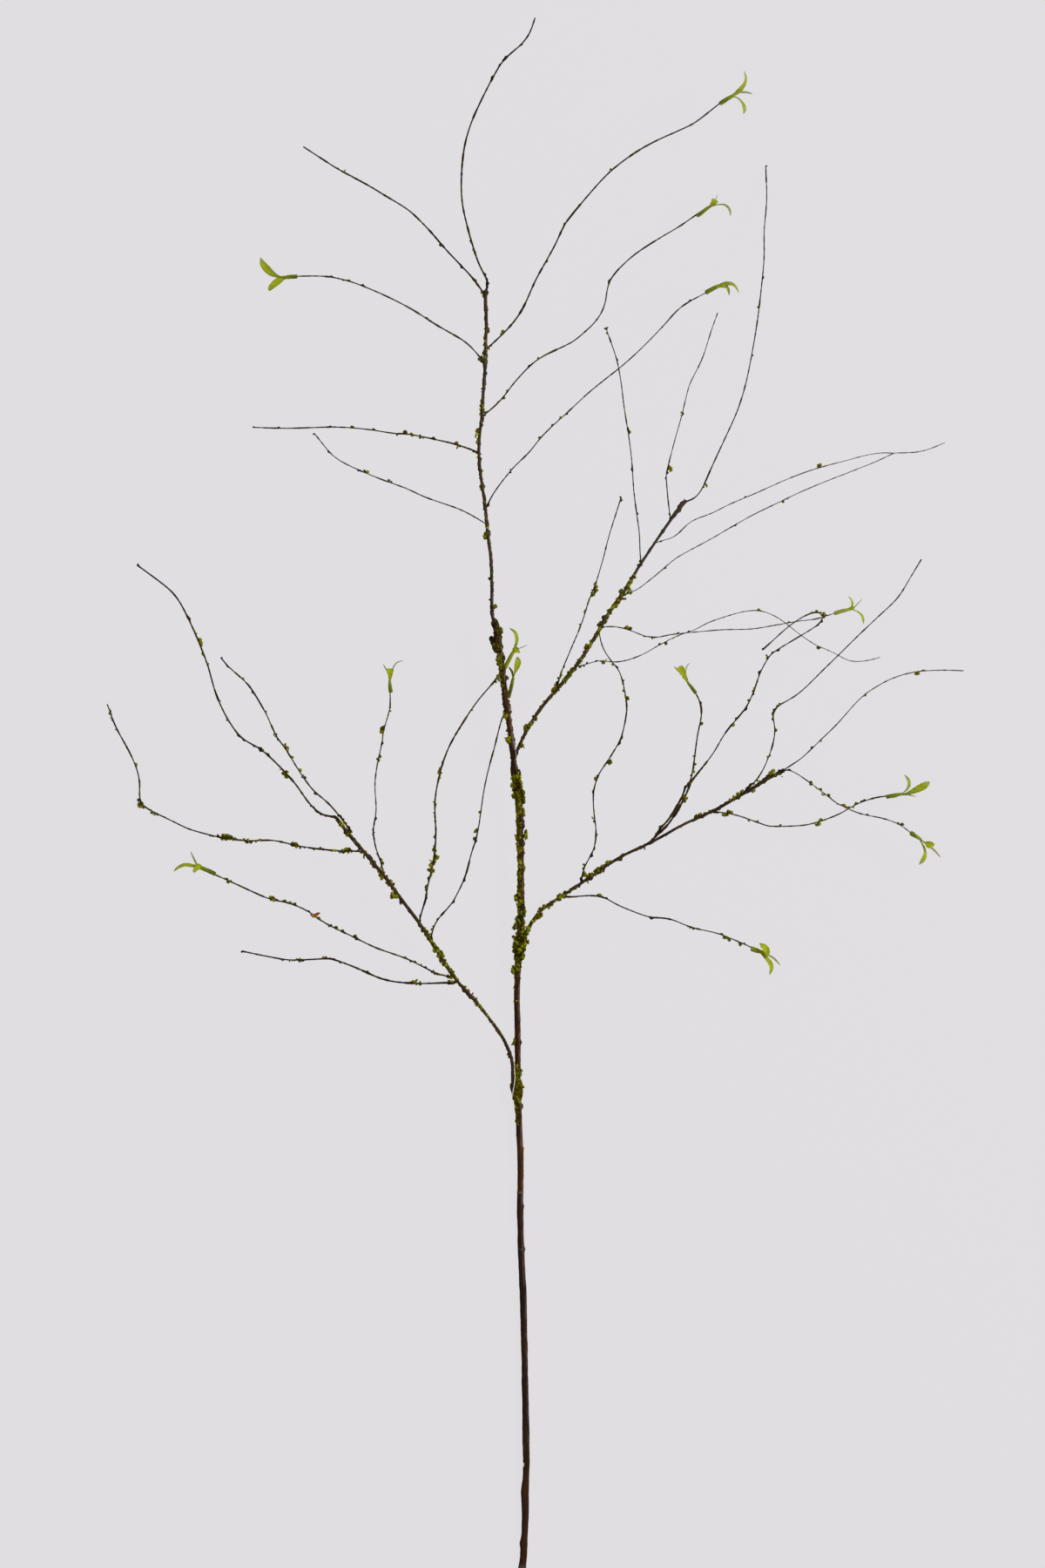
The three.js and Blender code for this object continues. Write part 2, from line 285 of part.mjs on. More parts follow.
// Sprouts: the two ends of the sleeve, then each leaf as its width, its roll about the
// centreline in degrees and its centreline.
const SPROUTS = {
  twig_03: {
    sleeve: [[146.7, 556.5, 42], [155.9, 561.3, 43]],
    leaves: [
      { width: 5.5, roll: 50, points: [[159.3, 563.9, 44], [164.4, 569.1, 46], [166.4, 573.2, 46.5], [164.8, 580.3, 45]] },
      { width: 2.2, roll: 45, points: [[160.1, 564, 41.5], [166.8, 565, 39], [172.2, 564.1, 36]] },
      { width: 5.2, roll: 52, points: [[157.3, 561, 43], [161.4, 558.6, 44.5], [164.4, 554.6, 46], [164.4, 547.4, 46]] },
    ],
  },
  twig_04: {
    sleeve: [[-187.7, 416.7, 58], [-199.3, 416, 59]],
    leaves: [
      { width: 6, roll: 18, points: [[-203.4, 416.9, 60], [-208, 419.7, 62.5], [-212.1, 422, 63.5], [-218.1, 430.2, 61]] },
      { width: 6, roll: 40, points: [[-202.7, 415.2, 59.5], [-206.1, 412.6, 61], [-208.4, 409.8, 61.5], [-211.6, 405.2, 60]] },
      { width: 3, roll: 20, points: [[-203.5, 416.2, 57], [-206.6, 417.1, 52], [-209.5, 416.8, 49]] },
    ],
  },
  twig_05: {
    sleeve: [[128.2, 470.4, 20], [137.5, 475.7, 21]],
    leaves: [
      { width: 6.2, roll: 4, points: [[140.2, 477.6, 22.5], [142.5, 479.9, 26], [143.7, 482.9, 29.5], [144.7, 485.6, 30.5]] },
      { width: 4.2, roll: 72, points: [[141.7, 478.2, 20.5], [147.2, 478.8, 21], [152.1, 477, 21.5], [155.3, 470.3, 20]] },
      { width: 3, roll: 30, points: [[140.4, 478.4, 19], [143.3, 482.1, 15], [144.8, 485.3, 12]] },
    ],
  },
  twig_06: {
    sleeve: [[136.2, 407, 34], [143.8, 411.5, 35]],
    leaves: [
      { width: 3.6, roll: 15, points: [[145.8, 412.4, 36.5], [147.8, 413.1, 40], [149, 413.3, 43]] },
      { width: 5.4, roll: 58, points: [[147.3, 412.5, 35.5], [154.5, 414.1, 36], [158.7, 412.1, 36], [160.8, 407.4, 34]] },
      { width: 4.2, roll: 60, points: [[147, 411.6, 34], [151.2, 410.6, 32], [153.1, 404.8, 30]] },
    ],
  },
  twig_15: {
    sleeve: [[236.3, 150.9, 36], [249.3, 154.7, 37]],
    leaves: [
      { width: 4.6, roll: 58, points: [[250.7, 157.1, 37.5], [250.4, 160.5, 38.5], [248.2, 164.3, 39]] },
      { width: 2.2, roll: 45, points: [[252.5, 155.7, 36], [255.5, 158.9, 34], [259.1, 162.1, 32]] },
      { width: 5, roll: 55, points: [[251.8, 153.6, 37], [257.2, 150.8, 38], [260.5, 143.6, 36]] },
    ],
  },
  twig_21: {
    sleeve: [[127.1, 85.4, 52], [119.6, 96.4, 53]],
    leaves: [
      { width: 6.2, roll: 8, points: [[117.1, 100.2, 55], [114.5, 104.6, 58.5], [113.4, 109.3, 61]] },
      { width: 4.4, roll: 62, points: [[118.9, 99.9, 52.5], [117.8, 104, 53], [121.3, 111.3, 52]] },
      { width: 3.2, roll: 40, points: [[116.9, 101, 51.5], [113.5, 105.2, 49], [109.5, 108, 46]] },
    ],
  },
  twig_22: {
    sleeve: [[280.9, 5.8, 15], [292.4, 7.1, 15.8]],
    leaves: [
      { width: 5, roll: 62, points: [[293.8, 8.1, 16.3], [296.8, 11.2, 17.8], [298.5, 16.5, 18.3], [294.7, 22.8, 17.8]] },
      { width: 6.2, roll: 6, points: [[295.8, 7.4, 17.3], [301.8, 9.2, 20.3], [307.1, 12.3, 22.3], [314.1, 16.8, 22.3]] },
      { width: 2.2, roll: 40, points: [[296.7, 7.1, 14.3], [301.1, 6.7, 11.8], [304.8, 5.7, 9.8]] },
    ],
  },
  twig_23: {
    sleeve: [[298.5, -23, 22], [307.5, -29.4, 22.5]],
    leaves: [
      { width: 6.2, roll: 5, points: [[310.5, -30.8, 24], [312.9, -32.5, 27.5], [314.4, -33.8, 30.5]] },
      { width: 5.8, roll: 50, points: [[309.2, -31.5, 22.5], [310.6, -35.7, 22.5], [310.1, -42, 20.5], [306.5, -48.3, 17.5]] },
      { width: 2.6, roll: 45, points: [[311.4, -31.5, 21.5], [315.8, -35.7, 19.5], [323.4, -43.1, 16.5]] },
    ],
  },
  twig_24: {
    sleeve: [[173.3, -115.9, 13], [181, -119.5, 13.5]],
    leaves: [
      { width: 6.2, roll: 18, points: [[183.4, -119.8, 15.5], [184.9, -117.9, 19.5], [182.2, -114.6, 23], [178.1, -112.5, 22.5]] },
      { width: 6, roll: 48, points: [[183.8, -121.9, 13.5], [187.3, -125.8, 13.5], [188.3, -130.7, 12], [187.2, -137.1, 9.5]] },
      { width: 4.2, roll: 64, points: [[184.6, -121.3, 13], [190.6, -124.1, 11.5], [195.3, -129.5, 8.5]] },
    ],
  },
  twig_28: {
    sleeve: [[-115.7, 88.7, 60], [-116, 98.3, 61]],
    leaves: [
      { width: 6.6, roll: 4, points: [[-115.6, 101.4, 62.5], [-114.8, 104, 66], [-114.7, 107, 69.5]] },
      { width: 2.4, roll: 40, points: [[-116.7, 102.1, 60], [-118.5, 106, 58], [-120.9, 110.1, 56]] },
      { width: 3.4, roll: 58, points: [[-114.6, 102.5, 60.5], [-112.9, 107.3, 60.5], [-110.5, 110.4, 59.5], [-105.8, 112.5, 57]] },
    ],
  },
  twig_29: {
    sleeve: [[-27.3, 107.5, 11.5], [-17.7, 122.5, 12.1]],
    leaves: [
      { width: 4.4, roll: 60, points: [[-17, 125.7, 12.1], [-15.9, 130.2, 13.1], [-17, 135, 13.1], [-21.2, 139.6, 12.1]] },
      { width: 5.2, roll: 4, points: [[-15.9, 123.9, 13.1], [-14.2, 124.1, 16.1], [-12.8, 123.4, 18.1]] },
      { width: 2.2, roll: 45, points: [[-14.9, 124.3, 11.3], [-10.7, 125.9, 10.1], [-7.6, 126.8, 8.1]] },
    ],
  },
  twig_30: {
    sleeve: [[-20.9, 92.2, 11], [-18.4, 100.2, 11.6]],
    leaves: [
      { width: 5.6, roll: 22, points: [[-17.7, 104.4, 12.1], [-15.9, 108.9, 13.6], [-14.6, 112.7, 14.1], [-14.9, 116.5, 13.6]] },
      { width: 3.2, roll: 58, points: [[-19.4, 103, 11.1], [-20.1, 106.5, 10.6], [-22.6, 109, 9.6]] },
      { width: 3, roll: 30, points: [[-18.4, 103, 10.1], [-19.1, 105.2, 7.1], [-19.1, 106.7, 5.1]] },
    ],
  },
  twig_31: {
    sleeve: [[-256.9, -55.6, 44], [-264.7, -51.6, 45]],
    leaves: [
      { width: 5, roll: 54, points: [[-268.4, -49.5, 45.5], [-276.6, -48.5, 46.5], [-282.2, -49.5, 46.5], [-287.8, -53.3, 45]] },
      { width: 2.6, roll: 45, points: [[-267.5, -49.2, 43.8], [-270.4, -44.4, 42], [-274.7, -38.9, 40]] },
      { width: 5.2, roll: 8, points: [[-267.3, -51.2, 47], [-269.8, -52.7, 50.5], [-271.6, -53.5, 53.5]] },
    ],
  },
};

// ---- materials --------------------------------------------------------------------------------
const bark = () => new THREE.MeshStandardMaterial({ color: 0x3b302a, roughness: 0.85, metalness: 0 });
const shoot = () => new THREE.MeshStandardMaterial({ color: 0x463c33, roughness: 0.85, metalness: 0 });
const wire = () => new THREE.MeshStandardMaterial({ color: 0x54483b, roughness: 0.8, metalness: 0 });
const moss = () => new THREE.MeshStandardMaterial({ color: 0x6f6a2c, roughness: 1, metalness: 0 });
const leafy = () => new THREE.MeshStandardMaterial({ color: 0x8c9a2b, roughness: 0.55, metalness: 0 });

// ---- helpers ----------------------------------------------------------------------------------
const V = (p) => new THREE.Vector3(p[0], p[1], p[2]);
const curveOf = (points) => {
  const c = new THREE.CatmullRomCurve3(points.map(V), false, 'centripetal');
  c.arcLengthDivisions = 400;
  return c;
};
const ramp = (table) => (t) => {
  for (let i = 1; i < table.length; i++) {
    if (t <= table[i][0]) {
      const [t0, r0] = table[i - 1], [t1, r1] = table[i];
      return r0 + ((r1 - r0) * (t - t0)) / (t1 - t0);
    }
  }
  return table[table.length - 1][1];
};

// A closed cylinder bent along a curve. half(t) gives the two half widths of its section at t.
function bent(curve, half, sides, steps, spanFrom = 0, spanTo = 1, across = null) {
  const g = new THREE.CylinderGeometry(1, 1, 1, sides, steps);
  g.deleteAttribute('normal');
  g.deleteAttribute('uv');
  const m = mergeVertices(g, 1e-4);
  const pos = m.attributes.position;
  // frames carried along the curve without twist
  const N = [], T = [], B = [], C = [];
  for (let i = 0; i <= steps; i++) {
    const u = spanFrom + ((spanTo - spanFrom) * i) / steps;
    C.push(curve.getPointAt(u));
    T.push(curve.getTangentAt(u).normalize());
    let n;
    if (across) n = across.clone();
    else if (i === 0) n = new THREE.Vector3(0, 0, 1);
    else n = N[i - 1].clone();
    n.addScaledVector(T[i], -n.dot(T[i])).normalize();
    N.push(n);
    B.push(new THREE.Vector3().crossVectors(n, T[i]).normalize());
  }
  for (let k = 0; k < pos.count; k++) {
    const t = pos.getY(k) + 0.5;
    const i = Math.min(steps, Math.max(0, Math.round(t * steps)));
    const [a, b] = half(spanFrom + (spanTo - spanFrom) * t);
    const p = C[i].clone().addScaledVector(N[i], pos.getX(k) * a).addScaledVector(B[i], pos.getZ(k) * b);
    pos.setXYZ(k, p.x, p.y, p.z);
  }
  return m;
}

function solid(geometry) {
  const p = geometry.attributes.position;
  return new wasm.Manifold(new wasm.Mesh({
    numProp: 3,
    vertProperties: new Float32Array(p.array),
    triVerts: new Uint32Array(geometry.index.array),
  }));
}

// The largest closed body of a solid.
function geometryOf(s) {
  const bodies = s.decompose();
  let best = bodies[0];
  for (const b of bodies) if (b.volume() > best.volume()) best = b;
  const mesh = best.simplify(SLIVER).getMesh();
  const g = new THREE.BufferGeometry();
  g.setAttribute('position', new THREE.BufferAttribute(new Float32Array(mesh.vertProperties), 3));
  g.setIndex(new THREE.BufferAttribute(new Uint32Array(mesh.triVerts), 1));
  return g;
}

const spray = new THREE.Group();
function piece(name, geometry, material) {
  const g = geometry.clone();
  g.computeVertexNormals();
  const m = new THREE.Mesh(g, material);
  m.name = name;
  spray.add(m);
}

// ---- stem, leader and side shoots ---------------------------------------------------------------
const curves = {};
for (const k of Object.keys(ROUTES)) curves[k] = curveOf(ROUTES[k]);
const carrierTube = (k, grow) => {
  const r = ramp(RADII[k]);
  const step = k === 'main_stem' ? 21 : 15;
  const sides = k === 'main_stem' ? STEM_SIDES : CARRIER_SIDES;
  const steps = Math.round(curves[k].getLength() / step);
  return bent(curves[k], (t) => [r(t) + grow, r(t) + grow], sides, steps);
};
const stemCut = solid(carrierTube('main_stem', GAP));
const carrierCut = {};
piece('main_stem', geometryOf(solid(carrierTube('main_stem', 0))), bark());
for (const k of ['top_leader', 'lateral_left', 'lateral_right', 'lateral_upper']) {
  piece(k, geometryOf(solid(carrierTube(k, 0)).subtract(stemCut)), shoot());
  carrierCut[k] = solid(carrierTube(k, GAP));
}

// ---- twigs --------------------------------------------------------------------------------------
const twigTube = (name, grow) => {
  const c = curves[name];
  const steps = Math.max(6, Math.round(c.getLength() / TWIG_STEP));
  const r = ramp([[0, TWIG_R_BASE + grow], [1, TWIG_R_TIP + grow]]);
  return bent(c, (t) => [r(t), r(t)], TWIG_SIDES, steps);
};
for (let n = 1; n <= 32; n++) {
  const name = 'twig_' + String(n).padStart(2, '0');
  const cut = carrierCut[CARRIER_OF(n)];
  piece(name, geometryOf(solid(twigTube(name, 0)).subtract(cut)), wire());
}

// ---- sprouts: a lumpy sleeve with a blind socket, and three thin curled leaves ------------------
function leafSolid(leaf) {
  const c = curveOf(leaf.points);
  const p = leaf.points;
  const run = V(p[p.length - 1]).sub(V(p[0]));
  const side = new THREE.Vector3().crossVectors(new THREE.Vector3(0, 0, 1), run).normalize();
  const up = new THREE.Vector3().crossVectors(run.clone().normalize(), side).normalize();
  const a = (leaf.roll * Math.PI) / 180;
  const across = side.multiplyScalar(Math.cos(a)).addScaledVector(up, Math.sin(a));
  const w = ramp([[0, 0.42], [0.2, 0.42], [0.45, 0.9], [0.65, 1], [0.85, 0.7], [1, 0.12]]);
  const th = ramp([[0, 1], [1, 0.5]]);
  return solid(bent(c, (t) => [(leaf.width / 2) * w(t), (LEAF_THICK / 2) * th(t)], 4, 5, 0, 1, across));
}
for (const name of Object.keys(SPROUTS)) {
  const s = SPROUTS[name];
  const A = V(s.sleeve[0]), B = V(s.sleeve[1]);
  const axis = B.clone().sub(A).normalize();
  const len = B.distanceTo(A);
  const line = new THREE.LineCurve3(A, B);
  const r = ramp([[0, SLEEVE_R0], [0.4, SLEEVE_R1], [0.7, SLEEVE_R1], [1, SLEEVE_R2]]);
  let body = solid(bent(line, (t) => [r(t), r(t)], 6, 4));
  for (const leaf of s.leaves) {
    // the leaf's root starts inside the neck of the sleeve
    const root = B.clone().addScaledVector(axis, -Math.min(2.2, len * 0.2));
    const points = [root.toArray(), ...leaf.points];
    body = body.add(leafSolid({ ...leaf, points }));
  }
  // the blind socket: room for the twig's end, and a little depth past it
  const tail = V(ROUTES[name][ROUTES[name].length - 1]);
  const end = new THREE.LineCurve3(tail.clone().addScaledVector(axis, -1.5), tail.clone().addScaledVector(axis, BORE_EXTRA));
  body = body.subtract(solid(twigTube(name, GAP))).subtract(solid(bent(end, () => [BORE_R, BORE_R], 6, 1)));
  piece('sprout_' + name.slice(5), geometryOf(body), leafy());
}

// ---- moss sleeves over the joints ----------------------------------------------------------------
// A stretch of a route between two fractions of its length, wrapped to a lumpy radius.
const wrap = (k, from, to, radii, sides, steps) => {
  const r = ramp(radii);
  return solid(bent(curves[k], (t) => { const q = r((t - from) / (to - from)); return [q, q]; }, sides, steps, from, to));
};
const shoots = ['top_leader', 'lateral_left', 'lateral_right', 'lateral_upper'];
function mossPiece(name, body) {
  let b = body.subtract(stemCut);
  for (const k of shoots) b = b.subtract(carrierCut[k]);
  piece(name, geometryOf(b), moss());
}
mossPiece('moss_sleeve_upper', wrap('main_stem', MOSS_UPPER[0], MOSS_UPPER[1],
  [[0, 3.4], [0.05, 5.6], [0.12, 6.0], [0.2, 5.4], [0.28, 4.3], [0.5, 4.0], [0.75, 4.2], [0.95, 4.4], [1, 3.4]], 10, 12));
mossPiece('moss_collar_upper', wrap('main_stem', COLLAR[0], COLLAR[1],
  [[0, 3.2], [0.3, 4.1], [0.7, 4.1], [1, 3.3]], 10, 3));
mossPiece('moss_fork_left', wrap('main_stem', FORK_LEFT[0], FORK_LEFT[1],
  [[0, 3.2], [0.2, 4.2], [0.7, 4.0], [1, 3.2]], 10, 5)
  .add(wrap('lateral_left', 0, 0.13, [[0, 2.2], [0.3, 2.8], [0.8, 2.5], [1, 2.0]], 8, 4)));
mossPiece('top_socket', wrap('main_stem', TOP_SOCKET, 1,
  [[0, 3.1], [0.3, 4.2], [0.6, 4.4], [1, 3.6]], 10, 4)
  .add(wrap('top_leader', 0, 0.04, [[0, 3.6], [0.6, 3.0], [1, 2.2]], 10, 2)));

export default spray;
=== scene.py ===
# Mossy twig spray lying on a pale floor, seen straight from above.
import math
import bmesh
import bpy
import numpy as np
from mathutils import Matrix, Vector, noise


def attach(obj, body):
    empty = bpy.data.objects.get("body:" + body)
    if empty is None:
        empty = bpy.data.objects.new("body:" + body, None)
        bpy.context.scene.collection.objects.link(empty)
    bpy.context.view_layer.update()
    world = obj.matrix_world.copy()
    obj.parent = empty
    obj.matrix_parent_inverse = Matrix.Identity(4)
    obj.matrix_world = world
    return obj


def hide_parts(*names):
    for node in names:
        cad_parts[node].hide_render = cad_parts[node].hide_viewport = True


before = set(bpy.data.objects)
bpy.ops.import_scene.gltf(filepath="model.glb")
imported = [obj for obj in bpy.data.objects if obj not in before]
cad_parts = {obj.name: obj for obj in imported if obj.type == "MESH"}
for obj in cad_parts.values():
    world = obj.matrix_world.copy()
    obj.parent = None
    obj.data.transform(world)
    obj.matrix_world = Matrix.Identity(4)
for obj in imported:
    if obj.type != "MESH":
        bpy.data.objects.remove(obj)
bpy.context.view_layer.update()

MM = 0.001

# Centre lines in mm, from the thick end.
ROUTES = {
    "main_stem": [(-11.8, -622.5, 2.7), (-11.6, -613.7, 2.7), (-10.7, -605.4, 2.7), (-10.2, -588.6, 2.7),
        (-9.8, -569.7, 2.7), (-8.7, -553, 2.7), (-7.9, -530, 2.7), (-8.4, -504.8, 2.7), (-8.7, -477.5, 2.7),
        (-9, -452.4, 2.7), (-10, -423, 2.8), (-10.8, -393.7, 2.8), (-12.3, -370.7, 2.8), (-12.8, -345.5, 2.9),
        (-13, -322.4, 3), (-12.8, -303.5, 3.3), (-12.9, -284.6, 3.8), (-13.8, -263.6, 4.3),
        (-14.4, -244.7, 4.7), (-15.1, -223.7, 5.2), (-14.9, -207, 5.6), (-14.8, -192.3, 6),
        (-15.2, -171.3, 6.7), (-15.6, -152.4, 7.5), (-14.1, -125.2, 8.7), (-12.9, -110.6, 9.4),
        (-12.2, -85.4, 10.5), (-12.3, -64.5, 11.4), (-12.5, -41.4, 12.5), (-13.2, -14.3, 13.7),
        (-14, -1.6, 14.4), (-15.5, 12.8, 15), (-17.3, 23.1, 15.5), (-18, 33.9, 16), (-19.5, 43.9, 16.5),
        (-21.8, 64.6, 17.6), (-24.3, 79, 18.4), (-26.1, 97.6, 19.5), (-28.5, 116.3, 20.6),
        (-31.2, 130.6, 21.4), (-32.4, 143, 22.2)],
    "top_leader": [(-33.8, 143.5, 22.5), (-34.9, 148.3, 22.5), (-35.4, 152.4, 22.6), (-35.6, 173.2, 22.9),
        (-36.1, 192, 23.3), (-38.7, 214.7, 23.8), (-41, 237.5, 24.4), (-45, 266.3, 25.4), (-45.8, 278.8, 25.8),
        (-45.4, 293.3, 26.3), (-43.8, 305.7, 26.5), (-42.8, 322.2, 26.9), (-41.5, 336.8, 27.1),
        (-40.5, 363.8, 27.6), (-40, 378.3, 27.7), (-40.6, 408.7, 28)],
    "lateral_left": [(-17.8, -237.9, 6.4), (-18.7, -228.1, 6.6), (-19.1, -218.2, 7), (-19.1, -209.8, 7.6),
        (-20.8, -202.1, 8.6), (-22.6, -196.7, 9.8), (-25.2, -191, 10.1), (-28.4, -185.6, 10.4),
        (-36.9, -173.6, 11), (-49.8, -157.2, 12), (-61.2, -144.9, 12.8), (-65.1, -140, 13.2),
        (-74.4, -126.1, 14.1), (-86.4, -106.5, 15.5), (-94.7, -94.4, 16.4), (-108.5, -76, 18),
        (-122.1, -57.6, 19.6), (-135.4, -41.6, 21.1), (-150.2, -24.1, 22.8), (-159, -12.4, 24)],
    "lateral_right": [(-9.6, -110.6, 9.5), (-8, -104.5, 10), (-4.6, -96.8, 10.7), (-1.1, -91.5, 11.2),
        (4.5, -85.3, 11.9), (21.8, -73.5, 13.4), (40.9, -60.5, 15.1), (58.1, -48.6, 16.5), (72.5, -40.2, 17.6),
        (85.8, -34.1, 18.6), (98.8, -27.4, 19.6), (117, -17.2, 20.9), (143.5, -4.9, 22.8), (157.9, 3.5, 23.9),
        (172.3, 11.9, 25), (184.6, 19.6, 26), (197.4, 26.6, 27)],
    "lateral_upper": [(-16.4, 36.4, 17.2), (-15.2, 41.8, 17.6), (-11.7, 50.3, 18), (-6.7, 60.1, 18.8),
        (-0.1, 70.7, 19.9), (7.4, 80.7, 21.2), (22.4, 98, 23.6), (34, 112.6, 25.7), (48.4, 135.4, 29.2),
        (56.6, 149.8, 31.3), (69.7, 168.4, 34), (82.5, 189.7, 36.7), (94, 206.8, 38.9), (104.5, 222.1, 40.8),
        (114.3, 235.3, 42.4), (118.4, 239.9, 43)],
    "twig_01": [(-40.6, 408.4, 28), (-40.1, 408.9, 28), (-39.4, 412.9, 28.9), (-39.7, 416.9, 29.8),
        (-45.8, 429.7, 32.8), (-50.5, 443.1, 35.7), (-56, 462.6, 39.6), (-58.5, 474.5, 41.9),
        (-59.5, 484.5, 43.6), (-59.4, 498.7, 46.2), (-58.4, 510.7, 48.6), (-56.9, 520.6, 50.6),
        (-54.4, 530.4, 52.4), (-50.3, 541.8, 54.3), (-41.6, 560.3, 55.9), (-35, 573.1, 55.9),
        (-29.9, 582.1, 55.5), (-26.3, 587.2, 55.2), (-22, 591.8, 54.8), (-12.7, 600.1, 53.7),
        (-7.4, 606.6, 52.6), (-4.5, 612.2, 51.8), (-1.1, 622.3, 50)],
    "twig_02": [(-40.5, 405.6, 27.9), (-41.5, 406.4, 27.9), (-51.6, 419.4, 29.3), (-71.6, 440.7, 29.9),
        (-86.7, 458.1, 29.1), (-100.2, 471.7, 25.2), (-107.1, 476.9, 22.9), (-121.5, 486.1, 18.3),
        (-134.2, 494.2, 14.8), (-160.3, 509.2, 8.2), (-174.6, 518.8, 4.3), (-187.1, 527.3, 0.8)],
    "twig_03": [(-40.5, 361.7, 27.5), (-39.9, 362.2, 27.5), (-32.1, 369, 29.3), (-21.8, 379, 31.6),
        (-15.3, 386.9, 33.3), (-9.9, 395.7, 34.8), (-0.5, 416.1, 38), (7.5, 430.4, 40.2), (14.5, 442.9, 42.1),
        (22.6, 459.4, 44.6), (27.4, 465.9, 45.8), (37.9, 478.4, 47.7), (53, 495.2, 49.6), (63.6, 504.9, 50),
        (80.5, 517, 49.6), (95, 525.1, 48.9), (110.1, 532.1, 47.7), (123.3, 538.5, 46.2), (130.2, 543.3, 45.1),
        (146.7, 556.5, 42), (149.8, 558.1, 42.3), (152.9, 559.7, 42.6)],
    "twig_04": [(-41, 351.6, 27.4), (-41.8, 352.2, 27.4), (-52.9, 363.9, 34.2), (-59.4, 368.7, 37.4),
        (-79, 379.4, 45), (-99.9, 391.9, 52), (-121.9, 402.4, 58.1), (-142.8, 410.8, 60),
        (-150.7, 413.3, 59.9), (-158.8, 415.2, 59.8), (-169, 416.5, 59.5), (-187.7, 416.7, 58),
        (-191.2, 416.5, 58.3), (-194.6, 416.2, 58.6)],
    "twig_05": [(-43.6, 308.5, 26.6), (-41.5, 309.9, 26.6), (-29.1, 321.1, 24.9), (-16.1, 337.6, 22.9),
        (-3, 351.2, 21.5), (5.6, 357.2, 20.8), (24.4, 366.4, 19.8), (29.9, 369.5, 19.6), (38, 376.1, 19.2),
        (45.6, 383.3, 18.9), (50.7, 390, 18.7), (53.5, 395.6, 18.5), (55.3, 401.6, 18.3), (57, 411.9, 18.1),
        (59.1, 417.9, 18.1), (63.8, 424.7, 18), (71.1, 432.2, 18), (77.4, 437.7, 18), (85.9, 443.8, 18.2),
        (100, 452.6, 18.6), (114.4, 461.1, 19.2), (128.2, 470.4, 20), (131.2, 472.1, 20.3),
        (134.3, 473.8, 20.6)],
    "twig_06": [(-40.9, 235.6, 24.3), (-40.4, 236.1, 24.3), (-33.2, 248.7, 25.2), (-19.1, 266.8, 26.4),
        (-5.8, 280, 27.3), (3.4, 291.3, 27.8), (10.7, 298.8, 28.2), (26.1, 312.8, 28.8), (41.4, 327, 29.3),
        (54.3, 337.5, 29.7), (65.8, 346.5, 30.1), (76.8, 356, 30.6), (88.8, 367.5, 31.2), (100.4, 379.5, 31.9),
        (113.1, 393.2, 32.7), (121.5, 399.2, 33.2), (136.2, 407, 34), (139.2, 408.8, 34.4),
        (142.2, 410.5, 34.8)],
    "twig_07": [(-45.8, 279.6, 25.9), (-45.5, 279.6, 25.8), (-63.1, 286.2, 23.1), (-79.3, 290.3, 20.9),
        (-101.9, 294.9, 18.5), (-114.4, 295.9, 17.4), (-135.1, 299.1, 15.7), (-147.6, 300.4, 14.8),
        (-162.2, 301.1, 14.1), (-183, 300.5, 14.4), (-201.7, 299.9, 16.7), (-226.4, 300.2, 22)],
    "twig_08": [(-39.6, 222.7, 24), (-52.1, 229.8, 29.8), (-61.4, 234.1, 33.8), (-88.5, 243.2, 43.6),
        (-103.5, 249.7, 48.4), (-126.5, 257.9, 54.7), (-150.8, 268.3, 60.3), (-157.8, 272.5, 61.8),
        (-162.5, 276.4, 62.9), (-175.4, 292, 66)],
    "twig_09": [(117.8, 239.4, 43), (121.7, 240.6, 44.3), (125.3, 242.4, 45.6), (128.3, 245.2, 46.8),
        (131.6, 250.3, 48.5), (139.9, 268.8, 53.1), (148.5, 287.4, 55.6), (157.1, 306.2, 55.7),
        (161.5, 317.9, 54.7), (166.1, 334, 52.4), (170.9, 356.8, 48.1), (175.3, 381.9, 42.6),
        (178.1, 403, 37.9), (180.8, 426.5, 31.6), (181.6, 437.3, 28.4), (182, 456.9, 21.9),
        (184.5, 483.1, 12.3), (184.4, 512, 0.8)],
    "twig_10": [(107.1, 225.4, 41.2), (105.3, 233.4, 45.1), (102.8, 255.5, 55), (102.7, 259.5, 56.8),
        (103.3, 263.5, 58.4), (108.6, 284.9, 66.9), (113.9, 304.2, 74.5), (119.1, 325.6, 81.5),
        (121.2, 331.3, 82.8), (127.6, 344, 84.9), (130.8, 351.5, 85.8), (137, 370.9, 87.5), (141.8, 384.4, 88)],
    "twig_11": [(83.6, 191.2, 36.9), (83.4, 191.8, 37), (82.5, 197.9, 39.2), (81.6, 214.1, 45.1),
        (79.3, 230.2, 50.4), (77.1, 246.3, 55.3), (75, 272.5, 62.3), (72.2, 292.6, 67.2), (68.9, 312.5, 71),
        (66.3, 332.7, 73.3), (63.1, 348.7, 74.8), (54.6, 373.9, 76)],
    "twig_12": [(93.8, 206.6, 38.9), (94.4, 206.7, 38.9), (98.2, 208.3, 40), (106.1, 210.4, 42.1),
        (109.7, 212.2, 43.2), (113, 214.7, 44.2), (120.4, 221.7, 46.7), (125.6, 224.9, 48.1), (139, 230, 50.8),
        (151.9, 236.3, 52.8), (174.6, 246, 54), (197.3, 256.1, 54), (212.8, 262.1, 54), (224.6, 265.9, 54),
        (244.6, 271.2, 54), (262.6, 275.9, 53.5), (273, 277.4, 52.5), (283.4, 277.5, 50.9),
        (302.4, 278.7, 47.3), (312.6, 281.5, 44.9), (324.4, 286.4, 42)],
    "twig_13": [(66.8, 164.3, 33.4), (73.6, 167.5, 34.2), (79.4, 169.9, 33.6), (84.6, 173.4, 33),
